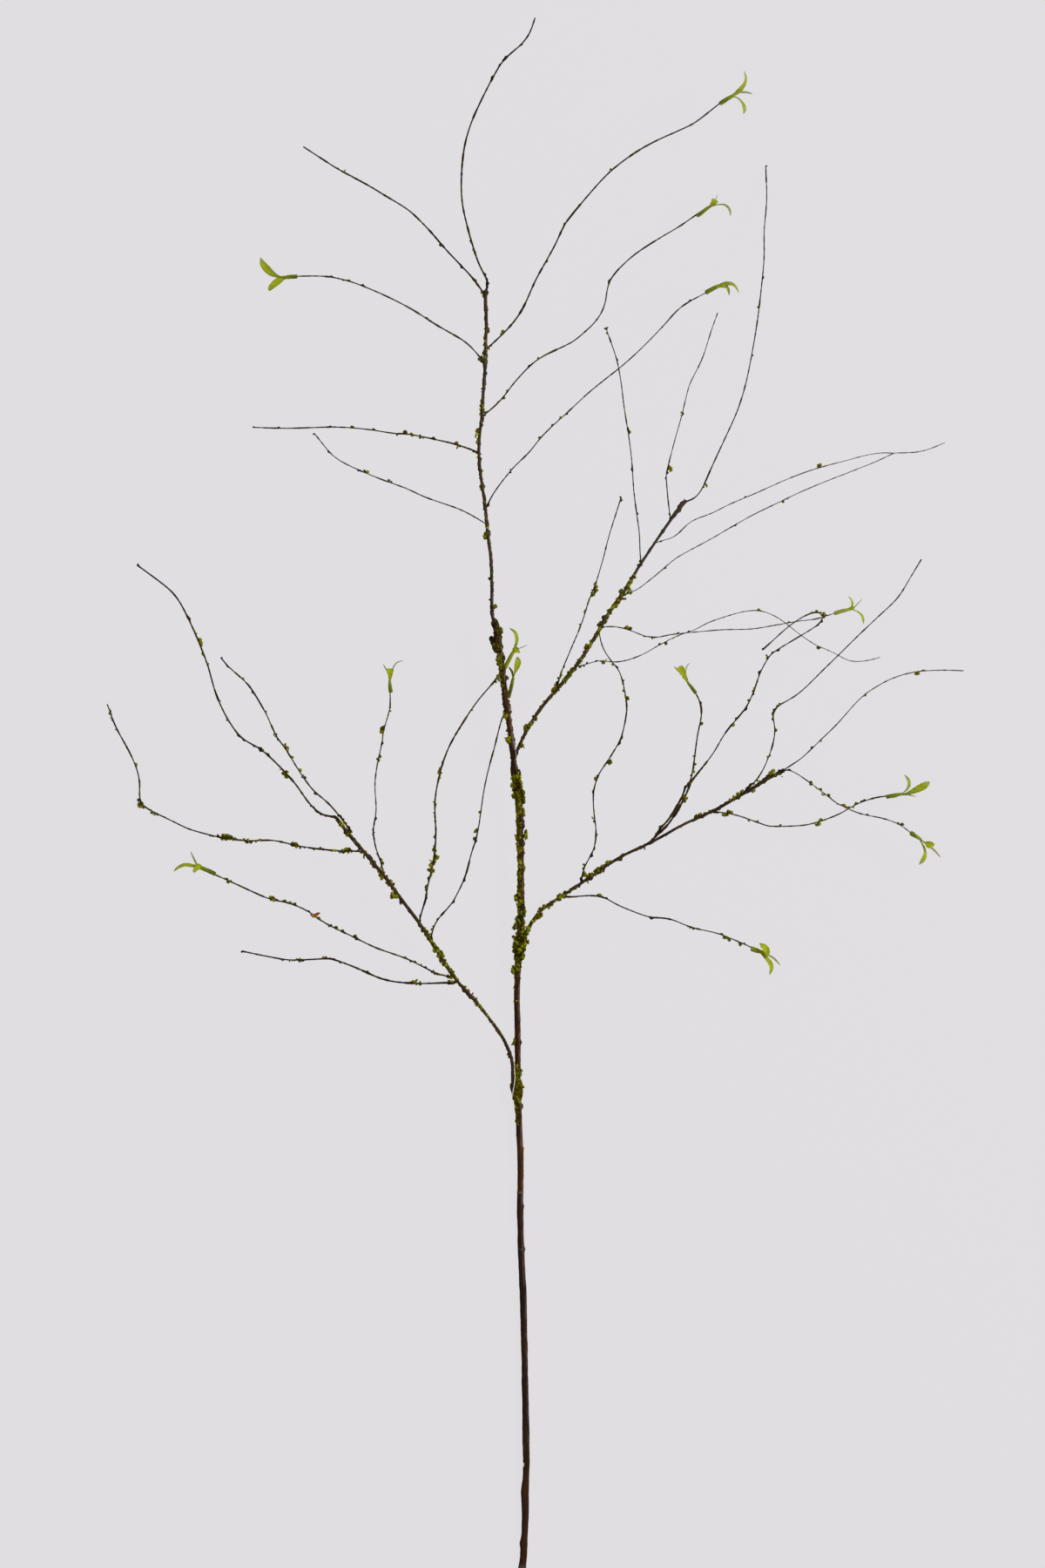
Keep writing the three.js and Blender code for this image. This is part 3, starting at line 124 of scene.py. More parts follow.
        (97.7, 183.9, 31.3), (108.8, 193.4, 29.9), (114, 197, 29.3), (139.7, 211.1, 26.4), (156, 220.7, 24.6),
        (172.5, 230, 22.7), (191.4, 239.3, 20.6), (210.4, 248.4, 18.7), (227.8, 255.9, 17.2),
        (251.3, 265.2, 15.4), (272.8, 273.9, 13.8), (286.1, 280.2, 13)],
    "twig_14": [(16.8, 91.6, 22.7), (19, 101.8, 26.5), (26.7, 121, 33.8), (34, 138.1, 40), (37.5, 147.8, 43.3),
        (41.8, 161.6, 47.8), (45.8, 171, 50.8), (52.4, 192.5, 57), (57, 210.4, 61.4), (61.8, 226, 64.9),
        (66.8, 241.6, 68)],
    "twig_15": [(51.3, 140.5, 29.9), (52, 140.6, 30), (60.3, 140.8, 30.5), (64.5, 140.4, 30.8),
        (72.6, 138.5, 31.2), (86.2, 133.4, 31.7), (92.4, 132.4, 31.8), (96.5, 132.4, 31.9),
        (108.8, 134.6, 31.9), (133.8, 137.1, 31), (148.3, 138.3, 30.3), (167.1, 138.7, 30),
        (175.4, 139.4, 30.1), (191.8, 142.2, 31), (208.1, 145, 32.4), (222.5, 146.8, 34), (236.3, 150.9, 36),
        (239.7, 151.8, 36.2), (243, 152.8, 36.5)],
    "twig_16": [(31.6, 109.6, 25.3), (33, 109.6, 25.4), (37.1, 110.2, 26.7), (49.1, 113.3, 30.5),
        (63.6, 112.6, 34.5), (69.8, 113.4, 36.1), (75.8, 115, 37.6), (85.3, 118.8, 39.9), (97.9, 125.9, 42.6),
        (112.7, 133.3, 45.5), (124.4, 137.3, 47.7), (137.4, 143.7, 49.8), (161, 151.2, 51.9),
        (167.1, 152.3, 52), (173.3, 152.8, 51.8), (179.5, 152, 51.4), (189.2, 148.2, 50.3), (194.5, 145, 49.5),
        (209.5, 133.6, 46.5), (218.2, 127.8, 44.9), (223.7, 124.8, 44), (233.4, 120.8, 42.5),
        (246.5, 114.2, 40.3), (250.5, 113.1, 39.7), (256.8, 112.8, 38.7), (265.2, 114, 37.3),
        (273.4, 116.2, 36)],
    "twig_17": [(36, -63.8, 14.6), (36.1, -61.6, 14.8), (38.4, -51.4, 20), (44.9, -38.3, 26.8),
        (47, -30.3, 30.2), (47.3, -19.9, 33.8), (45.8, -7.5, 36.9), (45.2, 2.8, 38.2), (45.5, 9, 38.8),
        (46.7, 15.1, 39.3), (48.7, 21, 39.8), (50.5, 24.7, 40.1), (58.5, 36.7, 41), (66.7, 51.1, 41.7),
        (69.6, 61, 41.9), (71.6, 73.2, 41.6), (71.4, 81.5, 39.8), (67.2, 101.9, 32.4), (64.5, 107.5, 30.4),
        (58.1, 115.7, 27.6), (53.8, 122.8, 25.5), (51.7, 128.7, 24), (50, 136.9, 22)],
    "twig_18": [(197.3, 26.6, 27), (198.5, 27.4, 27), (210.5, 35.4, 28.7), (215.2, 39.5, 29.1),
        (227.1, 51, 29.8), (239, 62.6, 30), (254.5, 79.7, 27.2), (260.6, 85.5, 24.5), (265.8, 89.4, 22.1),
        (276.8, 96, 17.1), (284.6, 99.7, 14), (292.6, 102.6, 11.7), (298.8, 104.2, 10.1), (307.2, 105.7, 8.1),
        (326.4, 106.8, 4), (343.4, 106.4, 0.8)],
    "twig_19": [(140.3, -6.3, 22.6), (143.4, -5.6, 25.8), (150.2, -0.8, 26.3), (160.9, 5.6, 27.2),
        (165.8, 9.4, 27.6), (173.3, 16.5, 30.3), (179.3, 24.8, 32.9), (184.4, 36.1, 35.8), (188.1, 47.9, 38.9),
        (189.3, 58.1, 41.6), (188.1, 70.5, 44.9), (190.7, 75.9, 46.6), (193.8, 78.5, 47.6), (204.3, 84.8, 51),
        (212.2, 91.2, 53.9), (226.5, 105.5, 60), (239.4, 118.3, 65.3), (253.7, 132.6, 70.3),
        (268.3, 146.6, 74.5), (281.4, 159.1, 78), (286.4, 165.5, 79.4), (294.6, 179.4, 82), (301.9, 191.6, 84)],
    "twig_20": [(89, -32.5, 18.8), (89.5, -32.2, 19.5), (95, -26.8, 20.3), (100.2, -21.9, 21.1),
        (104.8, -17.3, 21.8), (108.6, -12.1, 22.6), (112.5, -6.3, 23.7), (115.7, -0.3, 25), (118.9, 6.1, 26.9),
        (121.1, 11.3, 28.5), (122.8, 16.2, 30.3), (125.2, 19.8, 31.9), (139.6, 38.7, 41.2),
        (150.1, 56.4, 49.2), (165.3, 75.6, 57.6), (170.7, 86.5, 62.1), (176.7, 103.9, 68.7),
        (182.4, 114.6, 72.5), (185, 117.7, 73.6), (188.2, 120.2, 74.6), (202.1, 128.7, 77.7),
        (217.8, 138.3, 79.8), (220.9, 140.8, 80.2), (223.6, 143.9, 80.6), (224.3, 147.8, 81), (221, 150, 81.3),
        (216.9, 149.7, 81.7), (211.1, 147.6, 82.2), (202.2, 142.2, 82.9), (197.3, 138.6, 83.2),
        (177.3, 120.7, 84)],
    "twig_21": [(87.7, -33.1, 18.7), (89.8, -31.8, 21.5), (93.7, -27.8, 22.1), (99.5, -19.3, 23.4),
        (103.4, -15.4, 24), (107.9, -9.5, 25), (111.8, -3, 26.4), (114.3, 1.6, 27.4), (116.9, 7.5, 29.4),
        (119.1, 12.7, 31.4), (121.7, 16.3, 32.7), (123.1, 19.9, 34), (124.7, 28.6, 36.5), (127.8, 53.2, 42.5),
        (130.7, 69.5, 47), (130.2, 77.7, 49.5), (127.1, 85.4, 52), (125.2, 88.3, 52.2), (123.2, 91.2, 52.5)],
    "twig_22": [(140.6, -6.2, 22.6), (140.9, -6.3, 22.7), (159.4, -9.4, 21.8), (185.2, -18, 19.8),
        (189.3, -18.4, 19.3), (212.4, -17.7, 15.9), (220.7, -16.2, 14.8), (240.4, -9.5, 14),
        (255.1, -1.5, 14.1), (262.7, 1.8, 14.2), (272.7, 4.7, 14.6), (280.9, 5.8, 15), (284.3, 6.2, 15.2),
        (287.8, 6.6, 15.4)],
    "twig_23": [(192.7, 24.1, 26.6), (193.2, 24.8, 27.3), (199, 26.4, 29.8), (204.8, 25, 32),
        (225.1, 10.9, 35.9), (236.6, 2, 34.5), (242, -1.3, 33.5), (257.4, -7.9, 30.3), (276, -11.9, 27),
        (284, -14.4, 25.4), (291.6, -18.1, 23.7), (298.5, -23, 22), (301.4, -25, 22.1), (304.2, -27.1, 22.3)],
    "twig_24": [(20.2, -74.6, 13.3), (20.7, -74.7, 13.3), (29, -74.8, 15), (43.5, -73.8, 17.4),
        (51.7, -74.7, 18.5), (55.6, -76.1, 18.9), (66.6, -81.9, 19.8), (85.9, -89.5, 19.6), (92, -91, 19.2),
        (102.3, -91.9, 18.3), (108.5, -93.1, 17.7), (124, -99.1, 16.2), (146.3, -104.6, 14.7),
        (173.3, -115.9, 13), (176.4, -117.4, 13.2), (179.6, -118.8, 13.4)],
    "twig_25": [(-158.5, -13.1, 23.9), (-158.3, -12.2, 24), (-170.2, -8.8, 26.3), (-175.5, -5.5, 27.5),
        (-181.3, 0.5, 29.1), (-193.4, 17.3, 33.2), (-211.9, 36.9, 38.9), (-219.8, 43.4, 41.2),
        (-232.1, 50.8, 44.7), (-237.9, 56.6, 46.8), (-244.6, 66.9, 50), (-250.1, 77.9, 53.2),
        (-254.4, 89.5, 56.3), (-259.8, 109.3, 60.8), (-266.2, 126.6, 63.9), (-274.3, 145.4, 67.1),
        (-280.9, 158.1, 69.1), (-285.6, 164.8, 70.2), (-291.4, 170.5, 71.2), (-314.3, 187.7, 74)],
    "twig_26": [(-147.8, -26.9, 22.5), (-148.1, -26.6, 23), (-149.1, -22.6, 23.7), (-150.8, -18.8, 24.5),
        (-160.9, -5.5, 27.6), (-166.6, 0.7, 29.5), (-177.4, 10.3, 33.7), (-186.1, 21.9, 37.9),
        (-199.2, 43.1, 42), (-206.4, 53.3, 42), (-215.3, 72.2, 41.6), (-227.3, 91.9, 40), (-231.4, 96.6, 39.3),
        (-245.5, 109.4, 36), (-251.1, 115.8, 34)],
    "twig_27": [(-136, -40.9, 21.1), (-135.8, -39.6, 21.2), (-141.9, -38.4, 21.4), (-158.6, -37.9, 21.6),
        (-187.7, -34.5, 21.9), (-210.1, -29.7, 22), (-231, -29.8, 22), (-251.9, -27.3, 19.4),
        (-272.6, -22.3, 14.1), (-278.7, -20.4, 12.2), (-294.2, -13.2, 7.7), (-309.6, -5.8, 3.8),
        (-315, -2.3, 2.3), (-317.6, 1, 1.5), (-318.7, 5, 1), (-318.9, 17.6, 1.3), (-321.1, 27.8, 2.7),
        (-325.8, 39.4, 4.8), (-337, 61.6, 12.1), (-342.9, 79, 20)],
    "twig_28": [(-122.4, -56.9, 19.6), (-123.7, -48.6, 22.7), (-128.2, -34.6, 28), (-129.7, -24.2, 31.7),
        (-129.4, -17.9, 33.9), (-127.5, -5.5, 38.1), (-128.1, 15.3, 45.3), (-126.3, 29.8, 50),
        (-122.3, 48, 54.5), (-120.7, 58.3, 56.3), (-116.1, 74.2, 58.7), (-115.6, 80.4, 59.3),
        (-115.7, 88.7, 60), (-115.8, 92.2, 60.3), (-115.9, 95.7, 60.7)],
    "twig_29": [(-93.7, -95.8, 16.3), (-93.6, -95.3, 16.3), (-92.4, -89.2, 15.8), (-88.8, -77.3, 14.8),
        (-87.1, -67, 14), (-82.1, -44.6, 12.6), (-80.5, -23.8, 11.7), (-81.3, -7.1, 11.1), (-80.8, 5.5, 10.7),
        (-79.1, 15.8, 10.4), (-74.3, 34, 10), (-68.8, 47.5, 10), (-58.2, 65.5, 10.1), (-47.7, 81.1, 10.4),
        (-31.6, 100.4, 11.1), (-27.3, 107.5, 11.5), (-25.4, 110.5, 11.6), (-23.5, 113.4, 11.7)],
    "twig_30": [(-84, -110.4, 15.2), (-84.6, -110.3, 15.2), (-83, -102.1, 17.5), (-80.7, -96.2, 19.1),
        (-77.2, -90.9, 20.6), (-70.3, -83.1, 22.7), (-66.5, -78.1, 23.8), (-58.8, -63.2, 25.6),
        (-55.9, -55.5, 25.9), (-51.7, -39.4, 25.7), (-48.5, -29.5, 25.2), (-46.2, -19.3, 24.4),
        (-42, 9.5, 21.9), (-38.6, 25.8, 19.4), (-33.2, 46, 15.2), (-28.6, 64.2, 12.7), (-25.3, 74.1, 11.9),
        (-24.1, 84.5, 11.3), (-20.9, 92.2, 11), (-19.9, 95.5, 11.2), (-18.8, 98.8, 11.5)],
    "twig_31": [(-65.8, -139, 13.3), (-66.5, -138.9, 13.3), (-72.7, -138, 14.4), (-80.7, -135.6, 15.8),
        (-103, -124.5, 20), (-128.3, -115.1, 24.6), (-146.9, -106, 28.1), (-167.2, -95.8, 32),
        (-180.9, -86.5, 34.6), (-186.3, -83.5, 35.5), (-195.8, -79.6, 36.9), (-209.9, -76.4, 38.7),
        (-215.7, -74.5, 39.4), (-236.3, -65.1, 41.9), (-256.9, -55.6, 44), (-260, -54, 44.4),
        (-263.1, -52.4, 44.8)],
    "twig_32": [(-62.6, -143.1, 13), (-63.7, -143.2, 13), (-93.1, -144.2, 13.9), (-111.9, -143, 14),
        (-120.2, -141.4, 13.9), (-126.2, -139.6, 13.7), (-147.4, -130.5, 12), (-163.4, -125.1, 10.2),
        (-169.7, -124.7, 9.5), (-186.6, -125.5, 7.8), (-199.2, -125.6, 6.2), (-213.9, -123.3, 4.3),
        (-236.8, -118.8, 0.8)],
}

# Leaf sprouts: both ends of the sleeve, and each leaf from its foot to its tip.
SPROUTS = {
    "sprout_03": {"sleeve": [(145.7, 555.5, 42), (156.8, 562.3, 43)], "girth": (1.66, 1.35), "leaves": [
        {"width": 3.8, "roll": 20, "shape": "early", "wan": 0.12, "points": [(159.3, 564.2, 44),
        (162.7, 567.4, 45.5), (165.3, 571.6, 46.2), (166, 575.7, 46.1), (164.8, 580.7, 45)]},
        {"width": 1.75, "roll": 20, "shape": "blade", "fresh": 0.7, "wan": 0.6, "points": [
        (160.3, 564.8, 41.5), (163.9, 565.1, 39.8), (167.8, 565.1, 38), (171.9, 564.2, 36)]},
        {"width": 3.3, "roll": -22, "shape": "late", "fresh": 0.95, "wan": 0.15, "points": [(157, 561, 43),
        (160.3, 559.4, 43.9), (162.9, 556.4, 44.8), (164.5, 552.9, 45.7), (164.9, 549.6, 46),
        (164.3, 547.1, 46)]},
    ]},
    "sprout_04": {"sleeve": [(-189, 416.4, 58), (-198.9, 415.8, 59)], "girth": (1.62, 1.15), "leaves": [
        {"width": 6.3, "roll": 14, "shape": "lens", "foot": 0.1, "fresh": 0.78, "points": [(-202.4, 415.8, 60),
        (-207.4, 417.5, 60.9), (-212.2, 420.9, 61.5), (-215.9, 425.5, 61.4), (-218, 430.7, 60.5)]},
        {"width": 5.4, "roll": -12, "shape": "blunt", "foot": 0.55, "fresh": 0.76, "points": [
        (-200.6, 414.9, 59.5), (-204.7, 412.2, 60.2), (-208.5, 409.2, 60.5), (-211.4, 405.6, 59.7)]},
        {"width": 1.6, "roll": 20, "shape": "blade", "fresh": 0.6, "wan": 0.2, "points": [(-202.2, 415.3, 57),
        (-205.2, 414, 52), (-207.8, 412.3, 49)]},
    ]},
    "sprout_05": {"sleeve": [(128, 469.3, 20), (138, 476.3, 21)], "girth": (1.58, 1.2), "leaves": [
        {"width": 5.3, "roll": 4, "shape": "fan", "foot": 0.15, "fresh": 0.98, "points": [(139, 476.6, 22.5),
        (140.4, 478.3, 23.7), (141.9, 479.9, 24.9), (143, 481.4, 25.3)]},
        {"width": 2.2, "roll": -20, "shape": "late", "fresh": 0.72, "wan": 0.4, "points": [
        (144.5, 478.1, 20.5), (149.7, 478.2, 20.8), (152.9, 476.2, 21.2), (154.6, 473.3, 21.1),
        (155.2, 469.4, 20)]},
        {"width": 0.7, "roll": 30, "shape": "blade", "fresh": 0.8, "wan": 1, "points": [(143.1, 481.9, 19),
        (144.3, 485.3, 15), (145.3, 487.9, 12)]},
    ]},
    "sprout_06": {"sleeve": [(134.6, 406.3, 34), (145.5, 411.8, 35)], "girth": (1.72, 1.5), "leaves": [
        {"width": 3.4, "roll": 12, "shape": "lens", "points": [(146.1, 411.7, 36.5), (148.7, 411.5, 37.5),
        (151.3, 410.3, 38.4)]},
        {"width": 3.9, "roll": -20, "shape": "early", "fresh": 0.72, "wan": 0.2, "points": [
        (147.3, 412.5, 35.5), (151.6, 413.3, 35.8), (155.5, 413, 36), (158.6, 410.6, 35.5), (161.1, 406.5, 34)]},
        {"width": 2.7, "roll": -20, "shape": "blade", "fresh": 0.75, "wan": 0.1, "points": [(151.1, 411, 34),
        (152.8, 408.8, 32), (153.6, 404.8, 30)]},
    ]},
    "sprout_15": {"sleeve": [(236.8, 151.1, 36), (248.5, 154.1, 37)], "girth": (1.52, 1.2), "lift": 0.52, "pale": 0.25, "lumpy": 0.16, "leaves": [
        {"width": 2.1, "roll": 25, "shape": "blade", "wan": 0.1, "points": [(250.1, 155, 37.5),
        (251.1, 158.5, 38.1), (250.3, 161.8, 38.6), (247.9, 164.5, 39)]},
        {"width": 1.05, "roll": 20, "shape": "blade", "fresh": 0.9, "wan": 0.5, "points": [(252.1, 155.4, 36),
        (255.7, 159, 34), (259.4, 162.7, 32)]},
        {"width": 2.3, "roll": -20, "shape": "late", "wan": 0.1, "points": [(251.1, 154, 37),
        (255.6, 152.3, 37.5), (258.3, 149.8, 38), (259.7, 146.7, 37), (260.2, 142.8, 36)]},
        {"width": 3.2, "roll": 6, "shape": "torn", "fresh": 1.1, "points": [(248.8, 154.1, 37.3),
        (251, 155.3, 38.6), (252.7, 155.9, 39.4)]},
    ]},
    "sprout_21": {"sleeve": [(126.2, 87.2, 52), (119.4, 96.4, 53)], "girth": (1.42, 0.85), "lift": 0.05, "leaves": [
        {"width": 5.9, "roll": 8, "shape": "fan", "fresh": 0.82, "points": [(116.9, 100.2, 55),
        (115.8, 102.7, 55.7), (114.4, 105.5, 56.3), (113, 108.2, 56.8)]},
        {"width": 1.25, "roll": 20, "shape": "blade", "fresh": 0.9, "wan": 0.35, "points": [
        (119.6, 98.4, 52.5), (118.2, 101.8, 52.7), (118, 105.4, 53), (119.1, 108.7, 52.5), (121.3, 111.4, 52)]},
        {"width": 2.0, "roll": 40, "shape": "blade", "fresh": 0.35, "wan": 0.2, "points": [
        (115.8, 101.9, 51.5), (112, 105.3, 49), (109.1, 108.8, 46)]},
    ]},
    "sprout_22": {"sleeve": [(280.1, 5.1, 15), (292.5, 7.3, 15.8)], "girth": (1.56, 1.1), "lift": 0.04, "leaves": [
        {"width": 3.2, "roll": 25, "shape": "lens", "wan": 0.35, "points": [(293.5, 8.4, 16.3),
        (296.2, 11, 17.2), (297.9, 14.4, 17.9), (297.6, 17.6, 18.2), (296.4, 20.2, 18.1), (294.5, 22.7, 17.8)]},
        {"width": 5.9, "roll": 6, "shape": "broad", "foot": 0.22, "fresh": 0.82, "points": [(295.1, 7.3, 17.3),
        (299.8, 9.1, 18.4), (305.2, 11.6, 19.3), (309.7, 14, 19.8), (314.1, 16.8, 19.8)]},
        {"width": 1.1, "roll": -20, "shape": "blade", "fresh": 0.7, "wan": 0.25, "points": [(297.1, 6.9, 14.3),
        (300.8, 6.1, 11.8), (304.8, 5.2, 9.8)]},
    ]},
    "sprout_23": {"sleeve": [(298.8, -23.3, 22), (307.4, -29.1, 22.5)], "girth": (1.75, 1.0), "lift": 0.16, "lumpy": 0.5, "leaves": [
        {"width": 6.4, "roll": 6, "shape": "tuft", "fresh": 1.05, "points": [(310.5, -31.4, 24),
        (313.4, -32.6, 25), (316.8, -32.6, 25.9)]},
        {"width": 4.0, "roll": -20, "shape": "late", "fresh": 1.1, "wan": 0.05, "points": [(307.4, -31, 22.5),
        (308.9, -33.9, 22.5), (310.1, -37.1, 22.3), (310.3, -40.6, 21.7), (308.9, -44.8, 20.9),
        (306.1, -48.7, 20)]},
        {"width": 1.9, "roll": -20, "shape": "blade", "fresh": 0.7, "wan": 0.45, "points": [(314.9, -35, 21.5),
        (319, -38.6, 19.5), (323.4, -43.3, 16.5)]},
    ]},
    "sprout_24": {"sleeve": [(172, -116.2, 13), (181.3, -119.8, 13.5)], "girth": (1.92, 1.5), "lift": 0.46, "lumpy": 0.45, "leaves": [
        {"width": 5.4, "roll": 14, "shape": "lens", "fresh": 0.98, "points": [(183.6, -122.3, 15.5),
        (184.5, -119.1, 16.9), (182.7, -115.6, 18.1), (178.6, -112, 17.9)]},
        {"width": 3.9, "roll": -18, "shape": "blade", "fresh": 0.95, "points": [(182.7, -122.3, 13.5),
        (185.5, -125.5, 13.5), (187.5, -128.9, 13), (188.2, -132.5, 12.2), (186.9, -137.3, 11.1)]},
        {"width": 1.8, "roll": -20, "shape": "blade", "fresh": 0.7, "wan": 0.4, "points": [(185.4, -121.3, 13),
        (189.9, -124, 12), (193.1, -127.1, 10.5), (195.6, -130, 8.5)]},
    ]},
    "sprout_28": {"sleeve": [(-115.1, 87.6, 60), (-115.8, 97.3, 61)], "girth": (1.52, 1.05), "leaves": [
        {"width": 5.8, "roll": 4, "shape": "fan", "fresh": 0.92, "points": [(-115.7, 98.6, 62.5),
        (-115.6, 100.7, 63), (-115.5, 103.6, 63.6), (-115.4, 106.5, 64.2)]},
        {"width": 1.3, "roll": 30, "shape": "blade", "fresh": 0.5, "wan": 0.8, "points": [(-117, 102.3, 60),
        (-119.2, 106.5, 58), (-121.5, 110.6, 56)]},
        {"width": 1.1, "roll": 20, "shape": "blade", "fresh": 0.5, "wan": 0.8, "points": [
        (-114.2, 104.4, 60.5), (-112.9, 108.1, 60.5), (-110.8, 110.9, 60), (-108.2, 112.3, 58.8),
        (-104.9, 112.9, 57)]},
    ]},
    "sprout_29": {"sleeve": [(-26.2, 106.5, 11.5), (-17.3, 123.3, 12.1)], "girth": (1.56, 1.15), "lift": 0.3, "leaves": [
        {"width": 3.1, "roll": 20, "shape": "blade", "wan": 0.1, "points": [(-16.9, 125.6, 12.1),
        (-15.8, 128.9, 12.8), (-15.9, 132.8, 13.1), (-17.4, 137, 12.8), (-21.3, 140.2, 12.1)]},
        {"width": 4.4, "roll": 5, "shape": "torn", "fresh": 1.05, "points": [(-17.7, 123.6, 13.1),
        (-15.6, 122.6, 13.5), (-13.6, 120.9, 13.8)]},
        {"width": 0.75, "roll": 45, "shape": "blade", "fresh": 0.6, "wan": 0.95, "points": [
        (-14.6, 123.7, 11.3), (-11.1, 125.2, 10.1), (-7.1, 126.9, 8.1)]},
    ]},
    "sprout_30": {"sleeve": [(-22.3, 84.4, 11), (-18.5, 100.2, 11.6)], "girth": (1.46, 1.1), "lift": 0.0, "leaves": [
        {"width": 5.1, "roll": 8, "shape": "spoon", "fresh": 0.9, "points": [(-17.6, 103.4, 12.1),
        (-15.9, 108.4, 13), (-14.8, 112.9, 13.3), (-15.1, 116.5, 13)]},
        {"width": 2.2, "roll": 30, "shape": "blade", "fresh": 0.3, "wan": 0.05, "points": [
        (-18.8, 101.9, 11.1), (-19.7, 105.4, 10.6), (-22.2, 109.5, 9.6)]},
    ]},
    "sprout_31": {"sleeve": [(-254.7, -56.2, 44), (-265.7, -51.2, 45)], "girth": (1.74, 1.5), "lift": 0.04, "leaves": [
        {"width": 3.2, "roll": 20, "shape": "blade", "fresh": 0.92, "wan": 0.1, "points": [
        (-268.8, -50.3, 45.5), (-275, -49.1, 45.9), (-278.8, -48.7, 46.1), (-283.5, -50.4, 45.8),
        (-287.8, -53.7, 45.2)]},
        {"width": 1.7, "roll": 25, "shape": "blade", "fresh": 0.6, "wan": 0.5, "points": [
        (-269.2, -48.8, 43.8), (-272, -44.1, 42), (-274.8, -38.2, 40)]},
        {"width": 4.0, "roll": 8, "shape": "blunt", "fresh": 1.1, "points": [(-268.9, -50.7, 47),
        (-270.7, -52.8, 48), (-271.5, -54.6, 48.9)]},
        {"width": 4.8, "roll": 8, "shape": "blunt", "points": [(-266.4, -50.8, 45.4), (-268.6, -50, 46.6),
        (-271, -49.3, 46.8)]},
    ]},
}

